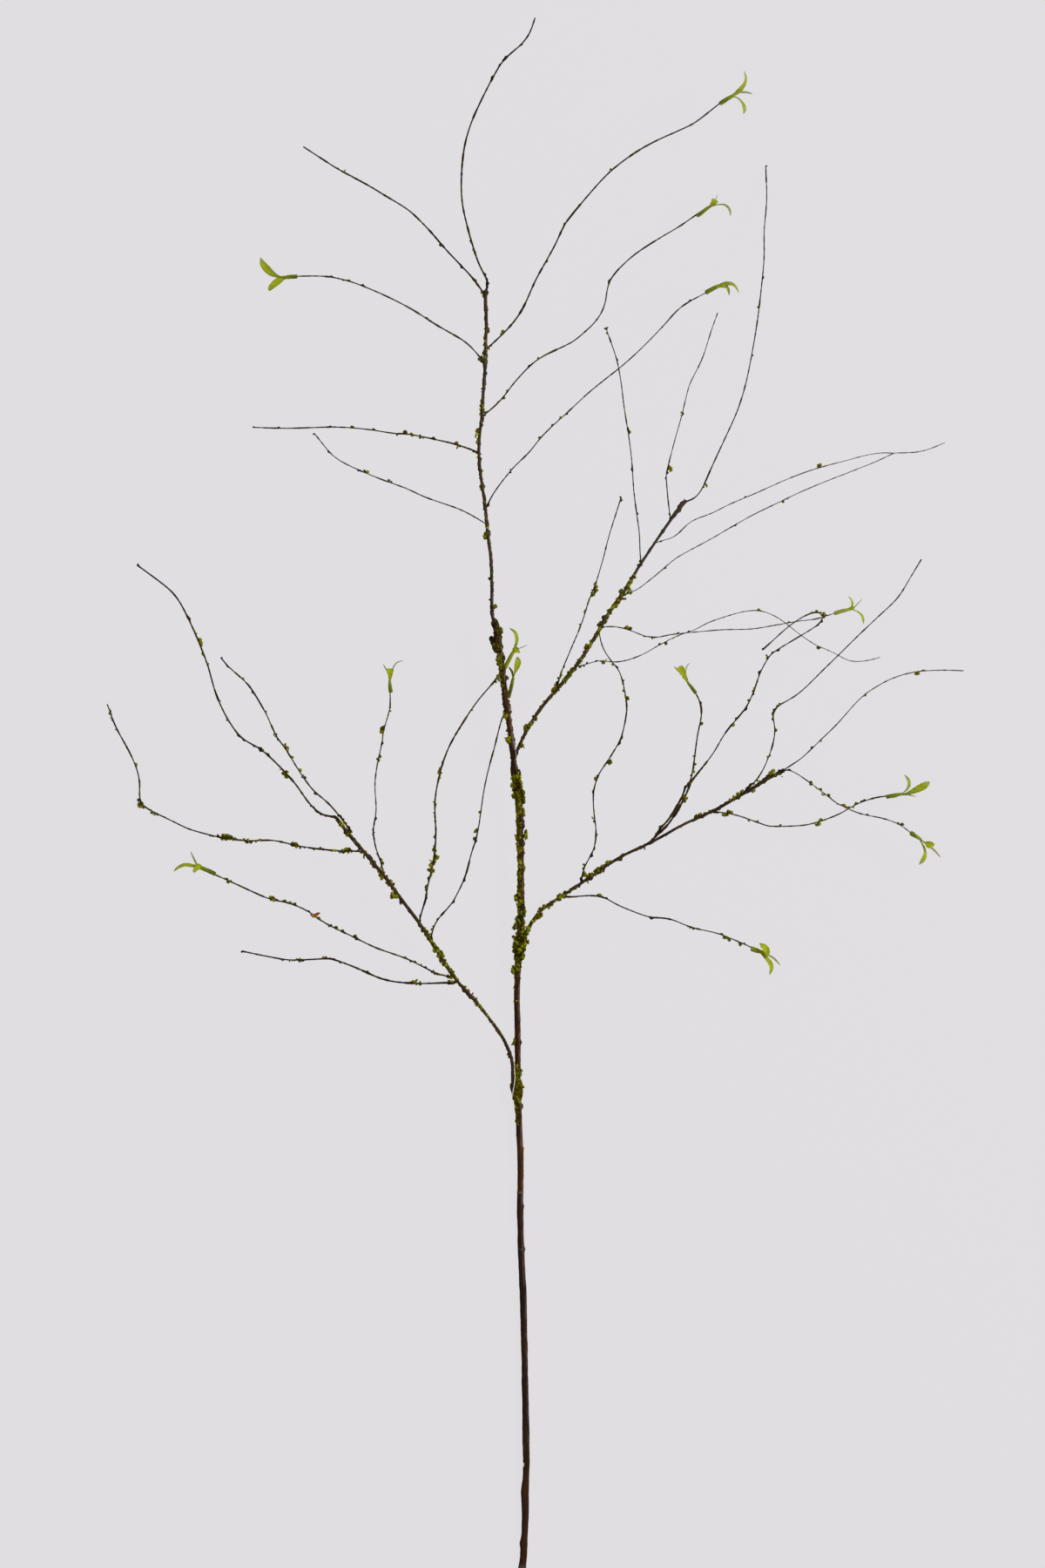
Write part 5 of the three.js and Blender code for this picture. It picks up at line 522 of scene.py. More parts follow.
# Mossy stretches: from and to as fractions, and tenths of the front that moss hides.
COVER = {
    "main_stem": [(0.11, 0.13, 1), (0.476, 0.496, 3), (0.496, 0.526, 8), (0.526, 0.545, 1),
        (0.555, 0.565, 1.5), (0.6, 0.64, 2), (0.64, 0.67, 8), (0.67, 0.69, 5), (0.69, 0.705, 6),
        (0.705, 0.735, 8), (0.735, 0.78, 4.8), (0.78, 0.82, 6.2), (0.82, 0.845, 9.5), (0.845, 0.93, 1.2),
        (0.93, 0.962, 3.6), (0.962, 1, 1)],
    "top_leader": [(0.105, 0.263, 2.3), (0.263, 0.316, 5), (0.368, 0.632, 1.8), (0.632, 0.684, 5),
        (0.789, 0.895, 2), (0.947, 1, 1)],
    "lateral_left": [(0.105, 0.211, 1.5), (0.211, 0.263, 5), (0.263, 0.316, 2), (0.368, 0.421, 1),
        (0.421, 0.474, 9), (0.474, 0.579, 6.5), (0.684, 0.789, 1), (0.842, 1, 3)],
    "lateral_right": [(0, 0.222, 6.2), (0.222, 0.389, 2), (0.722, 0.833, 2.5), (0.889, 1, 2.5)],
    "lateral_upper": [(0.098, 0.125, 8), (0.125, 0.176, 2), (0.176, 0.235, 1), (0.235, 0.294, 2),
        (0.294, 0.353, 8), (0.353, 0.412, 3), (0.412, 0.47, 2), (0.47, 0.53, 7), (0.53, 0.588, 5),
        (0.588, 0.706, 9)],
    "twig_01": [(0, 0.0714, 2), (0.143, 0.214, 3)],
    "twig_02": [(0.182, 0.273, 1), (0.727, 0.818, 2)],
    "twig_03": [(0, 0.118, 2), (0.941, 1, 1)],
    "twig_04": [(0, 0.1, 1)],
    "twig_05": [(0.0714, 0.143, 1), (0.929, 1, 1)],
    "twig_06": [(0.0667, 0.2, 1), (0.933, 1, 1)],
    "twig_07": [(0, 0.364, 2.5)],
    "twig_08": [(0, 0.111, 1), (0.444, 0.778, 1.7)],
    "twig_09": [(0.0588, 0.118, 1)],
    "twig_10": [(0.2, 0.3, 1)],
    "twig_11": [(0.545, 0.636, 2), (0.727, 0.818, 1)],
    "twig_13": [(0, 0.214, 1.7), (0.571, 0.643, 2)],
    "twig_14": [(0, 0.1, 7), (0.1, 0.2, 1), (0.3, 0.6, 4.7), (0.9, 1, 1)],
    "twig_15": [(0, 0.182, 2), (0.273, 0.455, 1), (0.727, 0.818, 3), (0.909, 1, 1)],
    "twig_16": [(0, 0.125, 3), (0.25, 0.375, 2), (0.562, 0.688, 2.5), (0.75, 0.812, 3)],
    "twig_17": [(0.231, 0.308, 2), (0.385, 0.538, 1), (0.615, 0.692, 1), (0.692, 0.769, 5), (0.769, 0.846, 2),
        (0.923, 1, 1)],
    "twig_18": [(0.7, 0.8, 2)],
    "twig_19": [(0, 0.438, 1.6), (0.5, 0.562, 1)],
    "twig_20": [(0, 0.111, 1), (0.111, 0.167, 4), (0.167, 0.278, 1.5), (0.5, 0.556, 3), (0.611, 0.667, 2),
        (0.778, 0.833, 4)],
    "twig_21": [(0, 0.125, 1), (0.25, 0.625, 3), (0.75, 0.875, 2)],
    "twig_22": [(0, 0.222, 1.5), (0.556, 0.667, 5), (0.667, 0.778, 2), (0.889, 1, 2)],
    "twig_23": [(0.286, 0.571, 3.5), (0.857, 1, 3)],
    "twig_24": [(0, 0.1, 2), (0.6, 0.7, 1), (0.8, 1, 2)],
    "twig_25": [(0, 0.0625, 1), (0.188, 0.25, 2), (0.312, 0.375, 1), (0.5, 0.562, 2), (0.625, 0.75, 3.5)],
    "twig_26": [(0, 0.0909, 8), (0.0909, 0.182, 1), (0.364, 0.636, 2)],
    "twig_27": [(0, 0.125, 4), (0.125, 0.25, 2), (0.312, 0.438, 5.5), (0.625, 0.688, 6), (0.688, 0.75, 2),
        (0.938, 1, 3)],
    "twig_28": [(0, 0.111, 5), (0.111, 0.333, 1), (0.556, 1, 1.8)],
    "twig_29": [(0.0769, 0.154, 2), (0.154, 0.231, 7), (0.231, 0.385, 2), (0.385, 0.462, 5), (0.462, 0.538, 1),
        (0.923, 1, 7)],
    "twig_30": [(0, 0.0769, 4), (0.385, 0.462, 4), (0.462, 0.538, 1), (0.846, 1, 3)],
    "twig_31": [(0, 0.0769, 5), (0.0769, 0.231, 1), (0.385, 0.462, 1), (0.462, 0.615, 4.5), (0.615, 1, 2.2)],
    "twig_32": [(0, 0.273, 3), (0.545, 0.636, 1), (0.727, 0.818, 2)],
}

# Light, set against the floor's measured tone.
WORLD = 0.46
KEY = 100
FILL = 16
FLOOR = (0.02, 0.0196, 0.0202)
GLOW = (0.7245, 0.71, 0.7322)

# Radius along each carrier in mm, as [fraction of its length, radius].
RADII = {
    "main_stem": [[0, 2.5], [0.02, 2.48], [0.1, 2.5], [0.35, 2.45], [0.75, 2.42], [1, 2.3]],
    "top_leader": [[0, 1.26], [0.5, 1.22], [0.9, 1.32], [1, 1.35]],
    "lateral_left": [[0, 1.34], [0.3, 1.24], [0.5, 1.43], [0.75, 1.35], [1, 1.42]],
    "lateral_right": [[0, 1.2], [0.3, 1.16], [0.6, 1.07], [0.8, 1.2], [1, 1.52]],
    "lateral_upper": [[0, 0.7], [0.015, 1.0], [0.04, 1.2], [0.07, 1.34], [0.3, 1.38], [0.6, 1.28], [0.85, 1.1], [1, 1.36]],
}
# Twigs: mean radius of each in mm, a little thicker at the foot.
TWIG_R = (0.625, 0.585, 0.594, 0.493, 0.511, 0.414, 0.479, 0.408, 0.440, 0.328, 0.404, 0.287, 0.300, 0.417, 0.327, 0.300,
          0.476, 0.366, 0.424, 0.455, 0.597, 0.480, 0.354, 0.480, 0.644, 0.520, 0.555, 0.450, 0.583, 0.505, 0.542, 0.635)
for _n in range(1, 33):
    RADII["twig_%02d" % _n] = [[0, TWIG_R[_n - 1] * 1.14], [0.25, TWIG_R[_n - 1] * 1.03], [1, TWIG_R[_n - 1] * 0.93]]
    if _n in (20, 21):
        RADII["twig_%02d" % _n] = [[0, 0.78], [0.23 if _n == 20 else 0.26, 0.84], [0.28 if _n == 20 else 0.34, TWIG_R[_n - 1] * 1.06], [1, TWIG_R[_n - 1] * 0.93]]

# Stretches of the main stem that have a moss piece of their own, as fractions of its length.
MOSS_UPPER = (0.6321, 0.8402)
COLLAR = (0.8439, 0.8603)
FORK_LEFT = (0.4799, 0.5337)
TOP_SOCKET = 0.9669

Z = np.array([0.0, 0.0, 1.0])


def unit(v):
    return v / (np.linalg.norm(v, axis=-1, keepdims=True) + 1e-12)


def spline(points, step):
    """Points about step apart along a centripetal curve through the given points."""
    p = np.asarray(points, float)
    q = np.vstack([2 * p[0] - p[1], p, 2 * p[-1] - p[-2]])
    out = [p[:1]]
    for i in range(1, len(p)):
        p0, p1, p2, p3 = q[i - 1], q[i], q[i + 1], q[i + 2]
        d0, d1, d2 = (np.linalg.norm(b - a) ** 0.5 for a, b in ((p0, p1), (p1, p2), (p2, p3)))
        t1 = ((p1 - p0) / d0 - (p2 - p0) / (d0 + d1) + (p2 - p1) / d1) * d1
        t2 = ((p2 - p1) / d1 - (p3 - p1) / (d1 + d2) + (p3 - p2) / d2) * d1
        n = max(2, int(np.ceil(np.linalg.norm(p2 - p1) / step * 3)))
        u = np.linspace(0, 1, n + 1)[1:, None]
        out.append(p1 + t1 * u + (-3 * p1 + 3 * p2 - 2 * t1 - t2) * u**2 + (2 * p1 - 2 * p2 + t1 + t2) * u**3)
    c = np.vstack(out)
    s = np.concatenate([[0], np.cumsum(np.linalg.norm(np.diff(c, axis=0), axis=1))])
    m = max(3, int(round(s[-1] / step)) + 1)
    w = np.linspace(0, s[-1], m)
    return np.stack([np.interp(w, s, c[:, k]) for k in range(3)], 1), w


def frames(p, start=Z):
    """Tangent and two normals at each point, carried along without twist."""
    t = unit(np.gradient(p, axis=0))
    n = np.zeros_like(p)
    a = np.array(start, float)
    for i in range(len(p)):
        a = a - t[i] * (a @ t[i])
        a = a / (np.linalg.norm(a) + 1e-12)
        n[i] = a
    return t, n, np.cross(t, n)


def wobble(rng, s, wave, count=5):
    """A smooth random line over s, about -1 to 1, with waves about that long."""
    out = np.zeros_like(s, float)
    for _ in range(count):
        out += np.sin(2 * np.pi * s / (wave * rng.uniform(0.6, 1.7)) + rng.uniform(0, 6.28)) * rng.uniform(0.4, 1)
    return out / count * 1.4


class Parts:
    """Vertices, faces and per-vertex values of one piece, in mm."""

    def __init__(self):
        self.v, self.q, self.t, self.a, self.n = [], [], [], {}, 0

    def add(self, v, quads=None, tris=None, **values):
        v = np.asarray(v, float).reshape(-1, 3)
        if quads is not None and len(quads):
            self.q.append(np.asarray(quads) + self.n)
        if tris is not None and len(tris):
            self.t.append(np.asarray(tris) + self.n)
        self.v.append(v)
        for k in set(self.a) | set(values):
            self.a.setdefault(k, [np.zeros(self.n)] if self.n else [])
            self.a[k].append(np.broadcast_to(np.asarray(values.get(k, 0.0), float), (len(v),)))
        self.n += len(v)

    def object(self, name, material, smooth=True):
        v = np.vstack(self.v) * MM
        v[:, 2] = np.maximum(v[:, 2], 0.00004)
        q = np.vstack(self.q) if self.q else np.zeros((0, 4), int)
        t = np.vstack(self.t) if self.t else np.zeros((0, 3), int)
        m = bpy.data.meshes.new(name)
        m.vertices.add(len(v))
        m.vertices.foreach_set("co", v.astype(np.float32).ravel())
        loops = np.concatenate([q.ravel(), t.ravel()]).astype(np.int32)
        sizes = np.concatenate([np.full(len(q), 4), np.full(len(t), 3)]).astype(np.int32)
        m.loops.add(len(loops))
        m.loops.foreach_set("vertex_index", loops)
        m.polygons.add(len(sizes))
        m.polygons.foreach_set("loop_start", np.concatenate([[0], np.cumsum(sizes)[:-1]]).astype(np.int32))
        m.polygons.foreach_set("loop_total", sizes)
        m.polygons.foreach_set("use_smooth", np.full(len(sizes), smooth))
        for k, parts in self.a.items():
            at = m.attributes.new(k, "FLOAT", "POINT")
            at.data.foreach_set("value", np.concatenate(parts).astype(np.float32))
        m.update(calc_edges=True)
        m.validate()
        o = bpy.data.objects.new(name, m)
        bpy.context.scene.collection.objects.link(o)
        m.materials.append(material)
        return o


def skin(rings, sides, closed_ends=True):
    """Faces of a tube of that many rings, with a fan at both ends whose two centres come last."""
    i = np.arange(rings - 1)[:, None] * sides
    j = np.arange(sides)[None, :]
    k = (j + 1) % sides
    quads = np.stack([i + j, i + k, i + sides + k, i + sides + j], -1).reshape(-1, 4)
    j = np.arange(sides)
    k = (j + 1) % sides
    a, b = rings * sides, rings * sides + 1
    last = (rings - 1) * sides
    tris = np.vstack([np.stack([k, j, np.full(sides, a)], 1), np.stack([last + j, last + k, np.full(sides, b)], 1)])
    return quads, tris


def tube(p, radius, sides, start=Z, ends=(0.5, 0.5)):
    """Vertices and faces of a closed tube. radius is one value, one a ring, or one for every ring and side."""
    t, n, b = frames(p, start)
    r = np.broadcast_to(np.asarray(radius, float).reshape(-1, 1) if np.ndim(radius) == 1 else radius, (len(p), sides)).copy()
    ang = np.arange(sides) * 2 * np.pi / sides
    d = n[:, None, :] * np.cos(ang)[None, :, None] + b[:, None, :] * np.sin(ang)[None, :, None]
    # rounded ends: one extra narrower ring past each end
    e0, e1 = ends
    v = p[:, None, :] + d * r[..., None]
    first = p[0] - t[0] * r[0].mean() * e0 * 0.7 + d[0] * r[0][:, None] * 0.66
    last = p[-1] + t[-1] * r[-1].mean() * e1 * 0.7 + d[-1] * r[-1][:, None] * 0.66
    v = np.concatenate([first[None], v, last[None]])
    quads, tris = skin(len(p) + 2, sides)
    tips = np.stack([p[0] - t[0] * r[0].mean() * e0, p[-1] + t[-1] * r[-1].mean() * e1])
    return np.vstack([v.reshape(-1, 3), tips]), quads, tris, (t, n, b, ang)


def per_ring(values, sides):
    """Values of each ring for the vertices that tube() returns."""
    v = np.concatenate([values[:1], values, values[-1:]])
    return np.concatenate([np.repeat(v, sides), [values[0], values[-1]]])


def ramp(table, x):
    t = np.array(table, float)
    return np.interp(x, t[:, 0], t[:, 1])


# ---- materials -----------------------------------------------------------------------------------
class Nodes:
    def __init__(self, name):
        self.m = bpy.data.materials.new(name)
        self.m.use_nodes = True
        self.t = self.m.node_tree
        self.bsdf = self.t.nodes["Principled BSDF"]

    def new(self, kind, **sets):
        n = self.t.nodes.new(kind)
        for k, v in sets.items():
            if hasattr(n, k) and not isinstance(v, tuple):
                setattr(n, k, v)
            else:
                n.inputs[k.replace("_", " ")].default_value = v
        return n

    def link(self, a, b):
        self.t.links.new(a, b)

    def coords(self, scale=(1, 1, 1)):
        c = self.new("ShaderNodeTexCoord")
        m = self.new("ShaderNodeMapping")
        m.inputs["Scale"].default_value = scale
        self.link(c.outputs["Object"], m.inputs["Vector"])
        return m.outputs["Vector"]

    def noise(self, vector, scale, detail=4, rough=0.6, distort=0.0):
        n = self.new("ShaderNodeTexNoise")
        n.inputs["Scale"].default_value = scale
        n.inputs["Detail"].default_value = detail
        n.inputs["Roughness"].default_value = rough
        n.inputs["Distortion"].default_value = distort
        self.link(vector, n.inputs["Vector"])
        return n.outputs["Fac"]

    def ramp(self, fac, stops):
        r = self.new("ShaderNodeValToRGB")
        e = r.color_ramp.elements
        e[0].position, e[0].color = stops[0][0], (*stops[0][1], 1)
        e[1].position, e[1].color = stops[-1][0], (*stops[-1][1], 1)
        for pos, col in stops[1:-1]:
            x = e.new(pos)
            x.color = (*col, 1)
        self.link(fac, r.inputs["Fac"])
        return r.outputs["Color"]

    def attribute(self, name):
        a = self.new("ShaderNodeAttribute")
        a.attribute_name = name
        return a.outputs["Fac"]

    def math(self, op, a, b):
        n = self.new("ShaderNodeMath", operation=op)
        for i, v in enumerate((a, b)):
            if isinstance(v, (int, float)):
                n.inputs[i].default_value = v
            else:
                self.link(v, n.inputs[i])
        return n.outputs[0]

    def mix(self, fac, a, b, kind="MIX"):
        n = self.new("ShaderNodeMix", data_type="RGBA", blend_type=kind)
        if isinstance(fac, (int, float)):
            n.inputs[0].default_value = fac
        else:
            self.link(fac, n.inputs[0])
        for i, v in ((6, a), (7, b)):
            if isinstance(v, tuple):
                n.inputs[i].default_value = (*v, 1)
            else:
                self.link(v, n.inputs[i])
        return n.outputs[2]

    def finish(self, color, rough, height=None, depth=0.0003, strength=0.6, spec=0.2, rough_range=None):
        self.link(color, self.bsdf.inputs["Base Color"])
        if rough_range is not None:
            r = self.new("ShaderNodeMapRange")
            r.inputs["To Min"].default_value, r.inputs["To Max"].default_value = rough_range
            self.link(rough, r.inputs["Value"])
            self.link(r.outputs["Result"], self.bsdf.inputs["Roughness"])
        else:
            self.bsdf.inputs["Roughness"].default_value = rough
        self.bsdf.inputs["Specular IOR Level"].default_value = spec
        if height is not None:
            b = self.new("ShaderNodeBump")
            b.inputs["Distance"].default_value = depth
            b.inputs["Strength"].default_value = strength
            self.link(height, b.inputs["Height"])
            self.link(b.outputs["Normal"], self.bsdf.inputs["Normal"])
        return self.m


def bark(name, dark, mid, red, spec=0.04, patch=55, fleck=0.35):
    k = Nodes(name)
    long = k.coords((1, 0.12, 1))
    free = k.coords()
    ridges = k.noise(long, 1500, 5, 0.62, 0.4)
    patches = k.noise(k.coords((1, 0.35, 1)), patch, 4, 0.6, 0.3)
    specks = k.noise(free, 900, 3, 0.6)
    flecks = k.noise(k.coords((1, 0.10, 1)), 760, 2, 0.5, 0.2)
    base = k.ramp(patches, [(0.30, dark), (0.46, mid), (0.62, red)])
    shade = k.ramp(ridges, [(0.28, (0.4, 0.4, 0.4)), (0.52, (1, 1, 1)), (0.78, (1.8, 1.5, 1.35))])
    col = k.mix(1.0, base, shade, "MULTIPLY")
    col = k.mix(k.ramp(flecks, [(0.60, (0, 0, 0)), (0.72, (fleck, fleck, fleck))]), col, (0.125, 0.068, 0.050))
    col = k.mix(k.math("MULTIPLY", k.attribute("node"), 0.75), col, tuple(c * 0.6 for c in dark))
    col = k.mix(k.math("MULTIPLY", k.attribute("pale"), 0.8), col, (0.130, 0.118, 0.105))
    # Painted highlight: pale streaks mixed in on the side that faces the key light, broken up by this noise.
    edge = k.noise(k.coords((1, 0.16, 1)), 520, 3, 0.6, 0.3)
    rim = k.math("MULTIPLY", k.attribute("rim"), k.ramp(edge, [(0.46, (0, 0, 0)), (0.62, (1, 1, 1))]))
    col = k.mix(rim, col, (0.235, 0.178, 0.165))
    height = k.math("ADD", k.math("MULTIPLY", ridges, 0.8), k.math("MULTIPLY", specks, 0.35))
    return k.finish(col, ridges, height, 0.0004, 0.75, spec, (0.5, 0.85))


def mottled(name, stops, scale, depth=0.0005):
    """A lumpy surface whose colour follows the tone of its lumps."""
    k = Nodes(name)
    free = k.coords()
    tone = k.math("ADD", k.math("MULTIPLY", k.attribute("tone"), 0.55), k.math("MULTIPLY", k.noise(free, scale, 4, 0.65, 0.2), 0.5))
    col = k.ramp(tone, stops)
    fine = k.noise(free, 2400, 4, 0.7)
    col = k.mix(1.0, col, k.ramp(fine, [(0.3, (0.6, 0.6, 0.6)), (0.65, (1.15, 1.15, 1.15))]), "MULTIPLY")
    return k.finish(col, fine, fine, depth, 0.9, 0.03, (0.7, 0.95))


def moss_material(name, dark, mid, bright):
    k = Nodes(name)
    free = k.coords()
    tone = k.math("ADD", k.math("MULTIPLY", k.attribute("tone"), 0.62), k.math("MULTIPLY", k.noise(free, 520, 4, 0.65), 0.40))
    col = k.ramp(tone, [(0.16, dark), (0.48, mid), (0.86, bright)])
    tint = k.noise(free, 95, 3, 0.6, 0.3)
    col = k.mix(1.0, col, k.ramp(tint, [(0.34, (1.15, 0.96, 0.9)), (0.5, (1, 1, 1)), (0.66, (0.84, 1.0, 1.0))]), "MULTIPLY")
    grain = k.noise(free, 1050, 3, 0.65)
    col = k.mix(1.0, col, k.ramp(grain, [(0.34, (0.38, 0.36, 0.4)), (0.5, (1, 1, 1)), (0.66, (1.55, 1.55, 1.6))]), "MULTIPLY")
    fine = k.noise(free, 2600, 4, 0.7)
    col = k.mix(1.0, col, k.ramp(fine, [(0.3, (0.6, 0.6, 0.6)), (0.62, (1.15, 1.15, 1.15))]), "MULTIPLY")
    return k.finish(col, fine, fine, 0.0005, 0.9, 0.015, (0.8, 1.0))


def leaf_material(name):
    k = Nodes(name)
    free = k.coords()
    blotch = k.noise(free, 240, 4, 0.6, 0.2)
    grain = k.noise(free, 1800, 3, 0.6)
    col = k.ramp(k.attribute("along"), [
        (0.0, (0.062, 0.078, 0.004)), (0.22, (0.115, 0.138, 0.008)), (0.42, (0.180, 0.205, 0.010)),
        (0.62, (0.230, 0.258, 0.006)), (0.84, (0.268, 0.304, 0.005)), (1.0, (0.256, 0.294, 0.012))])
    col = k.mix(1.0, col, k.ramp(blotch, [(0.28, (0.72, 0.74, 0.6)), (0.5, (1, 1, 1)), (0.75, (1.18, 1.14, 1.1))]), "MULTIPLY")
    rib = k.attribute("rib")
    col = k.mix(k.math("MULTIPLY", rib, 0.35), col, (0.33, 0.40, 0.05))
    col = k.mix(k.attribute("wan"), col, (0.145, 0.158, 0.095))
    height = k.math("ADD", k.math("MULTIPLY", grain, 0.5), k.math("MULTIPLY", blotch, 0.5))
    m = k.finish(col, grain, height, 0.00025, 0.5, 0.035, (0.42, 0.62))
    k.bsdf.inputs["Subsurface Weight"].default_value = 0.08
    k.bsdf.inputs["Subsurface Radius"].default_value = (0.9, 1.0, 0.3)
    k.bsdf.inputs["Subsurface Scale"].default_value = 0.0006
    return m


def plain(name, a, b, scale, rough, spec=0.3, depth=0.0003):
    k = Nodes(name)
    n = k.noise(k.coords(), scale, 4, 0.6, 0.2)
    return k.finish(k.ramp(n, [(0.3, a), (0.7, b)]), n, n, depth, 0.6, spec, rough)


STEM = bark("stem_bark", (0.0095, 0.0042, 0.0016), (0.0240, 0.0092, 0.0024), (0.0580, 0.0190, 0.0030), fleck=0.22)
SHOOT = bark("shoot_bark", (0.0140, 0.0072, 0.0018), (0.0330, 0.0176, 0.0030), (0.0600, 0.0350, 0.0038), fleck=0.45)
TWIG = bark("twig_wrap", (0.0080, 0.0044, 0.0024), (0.0195, 0.0108, 0.0046), (0.0420, 0.0285, 0.0040), patch=110, fleck=0.25)
SOCKET = mottled("socket_bark", [(0.14, (0.0070, 0.0045, 0.0035)), (0.36, (0.0230, 0.0115, 0.0060)), (0.56, (0.0560, 0.0420, 0.0060)),
                                 (0.76, (0.1150, 0.1050, 0.0110)), (0.92, (0.2400, 0.2250, 0.0800))], 520)
MOSS = moss_material("moss", (0.0145, 0.0098, 0.0006), (0.0790, 0.0690, 0.0020), (0.2760, 0.2860, 0.0085))
LEAF = leaf_material("sprout_leaf")
GLUE = plain("set_glue", (0.42, 0.40, 0.34), (0.62, 0.60, 0.54), 500, (0.25, 0.45), 0.4)
FILM = plain("old_glue", (0.085, 0.070, 0.052), (0.190, 0.168, 0.135), 420, (0.30, 0.55), 0.3)
FLAKE = plain("dry_flake", (0.15, 0.028, 0.004), (0.33, 0.085, 0.016), 600, (0.7, 0.95), 0.1)
CHIP = plain("bare_chip", (0.86, 0.70, 0.34), (0.98, 0.92, 0.66), 900, (0.5, 0.7), 0.3)


# ---- camera, floor and light ---------------------------------------------------------------------
# The picture is 1200 by 1800 px and 0.70 mm of the floor falls on one px. The picture's middle is
# over this point of the floor.
CENTRE = (-11.067 * MM, 15.4325 * MM)
HEIGHT = 3.5
cam = bpy.data.cameras.new("camera")
cam.type = "PERSP"
cam.sensor_width = 36.0
cam.lens = 36.0 * HEIGHT / (1800 * 0.70 * MM)
cam.clip_start, cam.clip_end = 0.05, 50
camera = bpy.data.objects.new("camera", cam)
camera.location = (*CENTRE, HEIGHT)
bpy.context.scene.collection.objects.link(camera)
bpy.context.scene.camera = camera
bpy.context.scene.view_settings.view_transform = "Standard"

world = bpy.data.worlds.new("studio")
bpy.context.scene.world = world
world.use_nodes = True
world.node_tree.nodes["Background"].inputs["Color"].default_value = (0.985, 0.98, 1.0, 1)
world.node_tree.nodes["Background"].inputs["Strength"].default_value = WORLD


def area(name, place, size, watts, colour=(1, 1, 1)):
    d = bpy.data.lights.new(name, "AREA")
    d.shape, d.size, d.energy, d.color = "DISK", size, watts, colour
    o = bpy.data.objects.new(name, d)
    o.location = place
    o.rotation_mode = "QUATERNION"
    o.rotation_quaternion = (-Vector(place)).to_track_quat("-Z", "Y")
    bpy.context.scene.collection.objects.link(o)
    return o


area("key", (2.3, 0.9, 1.9), 1.3, KEY)
area("fill", (-2.2, -0.6, 2.4), 2.0, FILL)

k = Nodes("floor")
grain = k.noise(k.coords(), 350, 3, 0.5)
k.finish(k.ramp(grain, [(0.3, tuple(c * 0.97 for c in FLOOR)), (0.7, FLOOR)]), 0.9, None, spec=0.0)
k.bsdf.inputs["Emission Color"].default_value = (*GLOW, 1)
k.bsdf.inputs["Emission Strength"].default_value = 1.0
bpy.ops.mesh.primitive_plane_add(size=9, location=(0, 0, 0))
floor = bpy.context.object
floor.name = "floor"
floor.data.materials.append(k.m)


# ---- shapes of the crumbs ------------------------------------------------------------------------
def crumb_shapes(seed, count, level):
    rng = np.random.default_rng(seed)
    out = []
    for _ in range(count):
        bm = bmesh.new()
        bmesh.ops.create_icosphere(bm, subdivisions=level, radius=1.0)
        v = np.array([x.co[:] for x in bm.verts])
        f = np.array([[q.index for q in x.verts] for x in bm.faces])
        bm.free()
        off = rng.uniform(-50, 50, 3)
        d = np.array([noise.noise(Vector(x * 1.5 + off)) for x in v])
        e = np.array([noise.noise(Vector(x * 3.4 - off)) for x in v])
        v = v * (1 + 0.58 * d + 0.44 * e)[:, None]
        v *= np.array([rng.uniform(0.95, 1.2), rng.uniform(0.85, 1.05), rng.uniform(0.75, 0.95)])
        out.append((v / np.linalg.norm(v, axis=1).mean() * 0.90, f))
    return out


def curl_shapes(seed, count):
    """Short bent shreds, standing on the origin along +Z and curling over."""
    rng = np.random.default_rng(seed)
    out = []
    for _ in range(count):
        turn = rng.uniform(1.0, 3.0)
        n = 8
        u = np.linspace(0, 1, n)
        ang = u * turn
        r = 1.15 / turn * 1.4
        p = np.stack([r * (1 - np.cos(ang)), rng.uniform(-0.25, 0.25) * u**2, r * np.sin(ang)], 1)
        rad = np.interp(u, [0, 0.3, 0.75, 1], [0.34, 0.30, 0.26, 0.12]) * rng.uniform(0.85, 1.25)
        rad = rad[:, None] * (1 + 0.25 * rng.uniform(-1, 1, (n, 6)))
        v, q, t, _ = tube(p, rad, 6, (1, 0, 0))
        tri = np.vstack([q[:, [0, 1, 2]], q[:, [0, 2, 3]], t])
        out.append((v, tri))
    return out


SMALL = crumb_shapes(11, 14, 2)
LARGE = crumb_shapes(12, 14, 3)
CURLS = curl_shapes(13, 14)


def spin(rng):
    q = rng.normal(size=4)
    q /= np.linalg.norm(q)
    w, x, y, z = q
    return np.array([
        [1 - 2 * (y * y + z * z), 2 * (x * y - z * w), 2 * (x * z + y * w)],
        [2 * (x * y + z * w), 1 - 2 * (x * x + z * z), 2 * (y * z - x * w)],
        [2 * (x * z - y * w), 2 * (y * z + x * w), 1 - 2 * (x * x + y * y)]])


def put_crumb(parts, rng, at, size, away, large=False, tone=None):
    """A crumb of that half size with its middle at the point, flattened a little towards the carrier."""
    v, f = (LARGE if large else SMALL)[rng.integers(14)]
    v = v @ spin(rng).T
    out = v @ away
    v = v - np.outer(out, away) * 0.2
    tone = rng.uniform(0, 1) if tone is None else tone
    rise = np.linalg.norm(v, axis=1)
    # The tone is lowered on the side that faces the carrier and in the dents between the crumb's bumps, as painted
    # shade, on top of the crumb's own tone.
    parts.add(at + v * size, None, f, tone=tone * 0.7 + 0.22 * out + 0.45 * (rise - 0.85))


def put_curl(parts, rng, at, size, away, tone=None):
    """A curled shred that stands on the carrier at that point."""
    v, f = CURLS[rng.integers(14)]
    a = np.cross(away, rng.normal(size=3))
    a /= np.linalg.norm(a) + 1e-9
    b = np.cross(away, a)
    v = v[:, :1] * a + v[:, 1:2] * b + v[:, 2:] * away
    parts.add(at + v * size, None, f, tone=rng.uniform(0.2, 1) if tone is None else tone)

# ---- smooth noise --------------------------------------------------------------------------------
_perm = np.random.default_rng(5).permutation(1024)


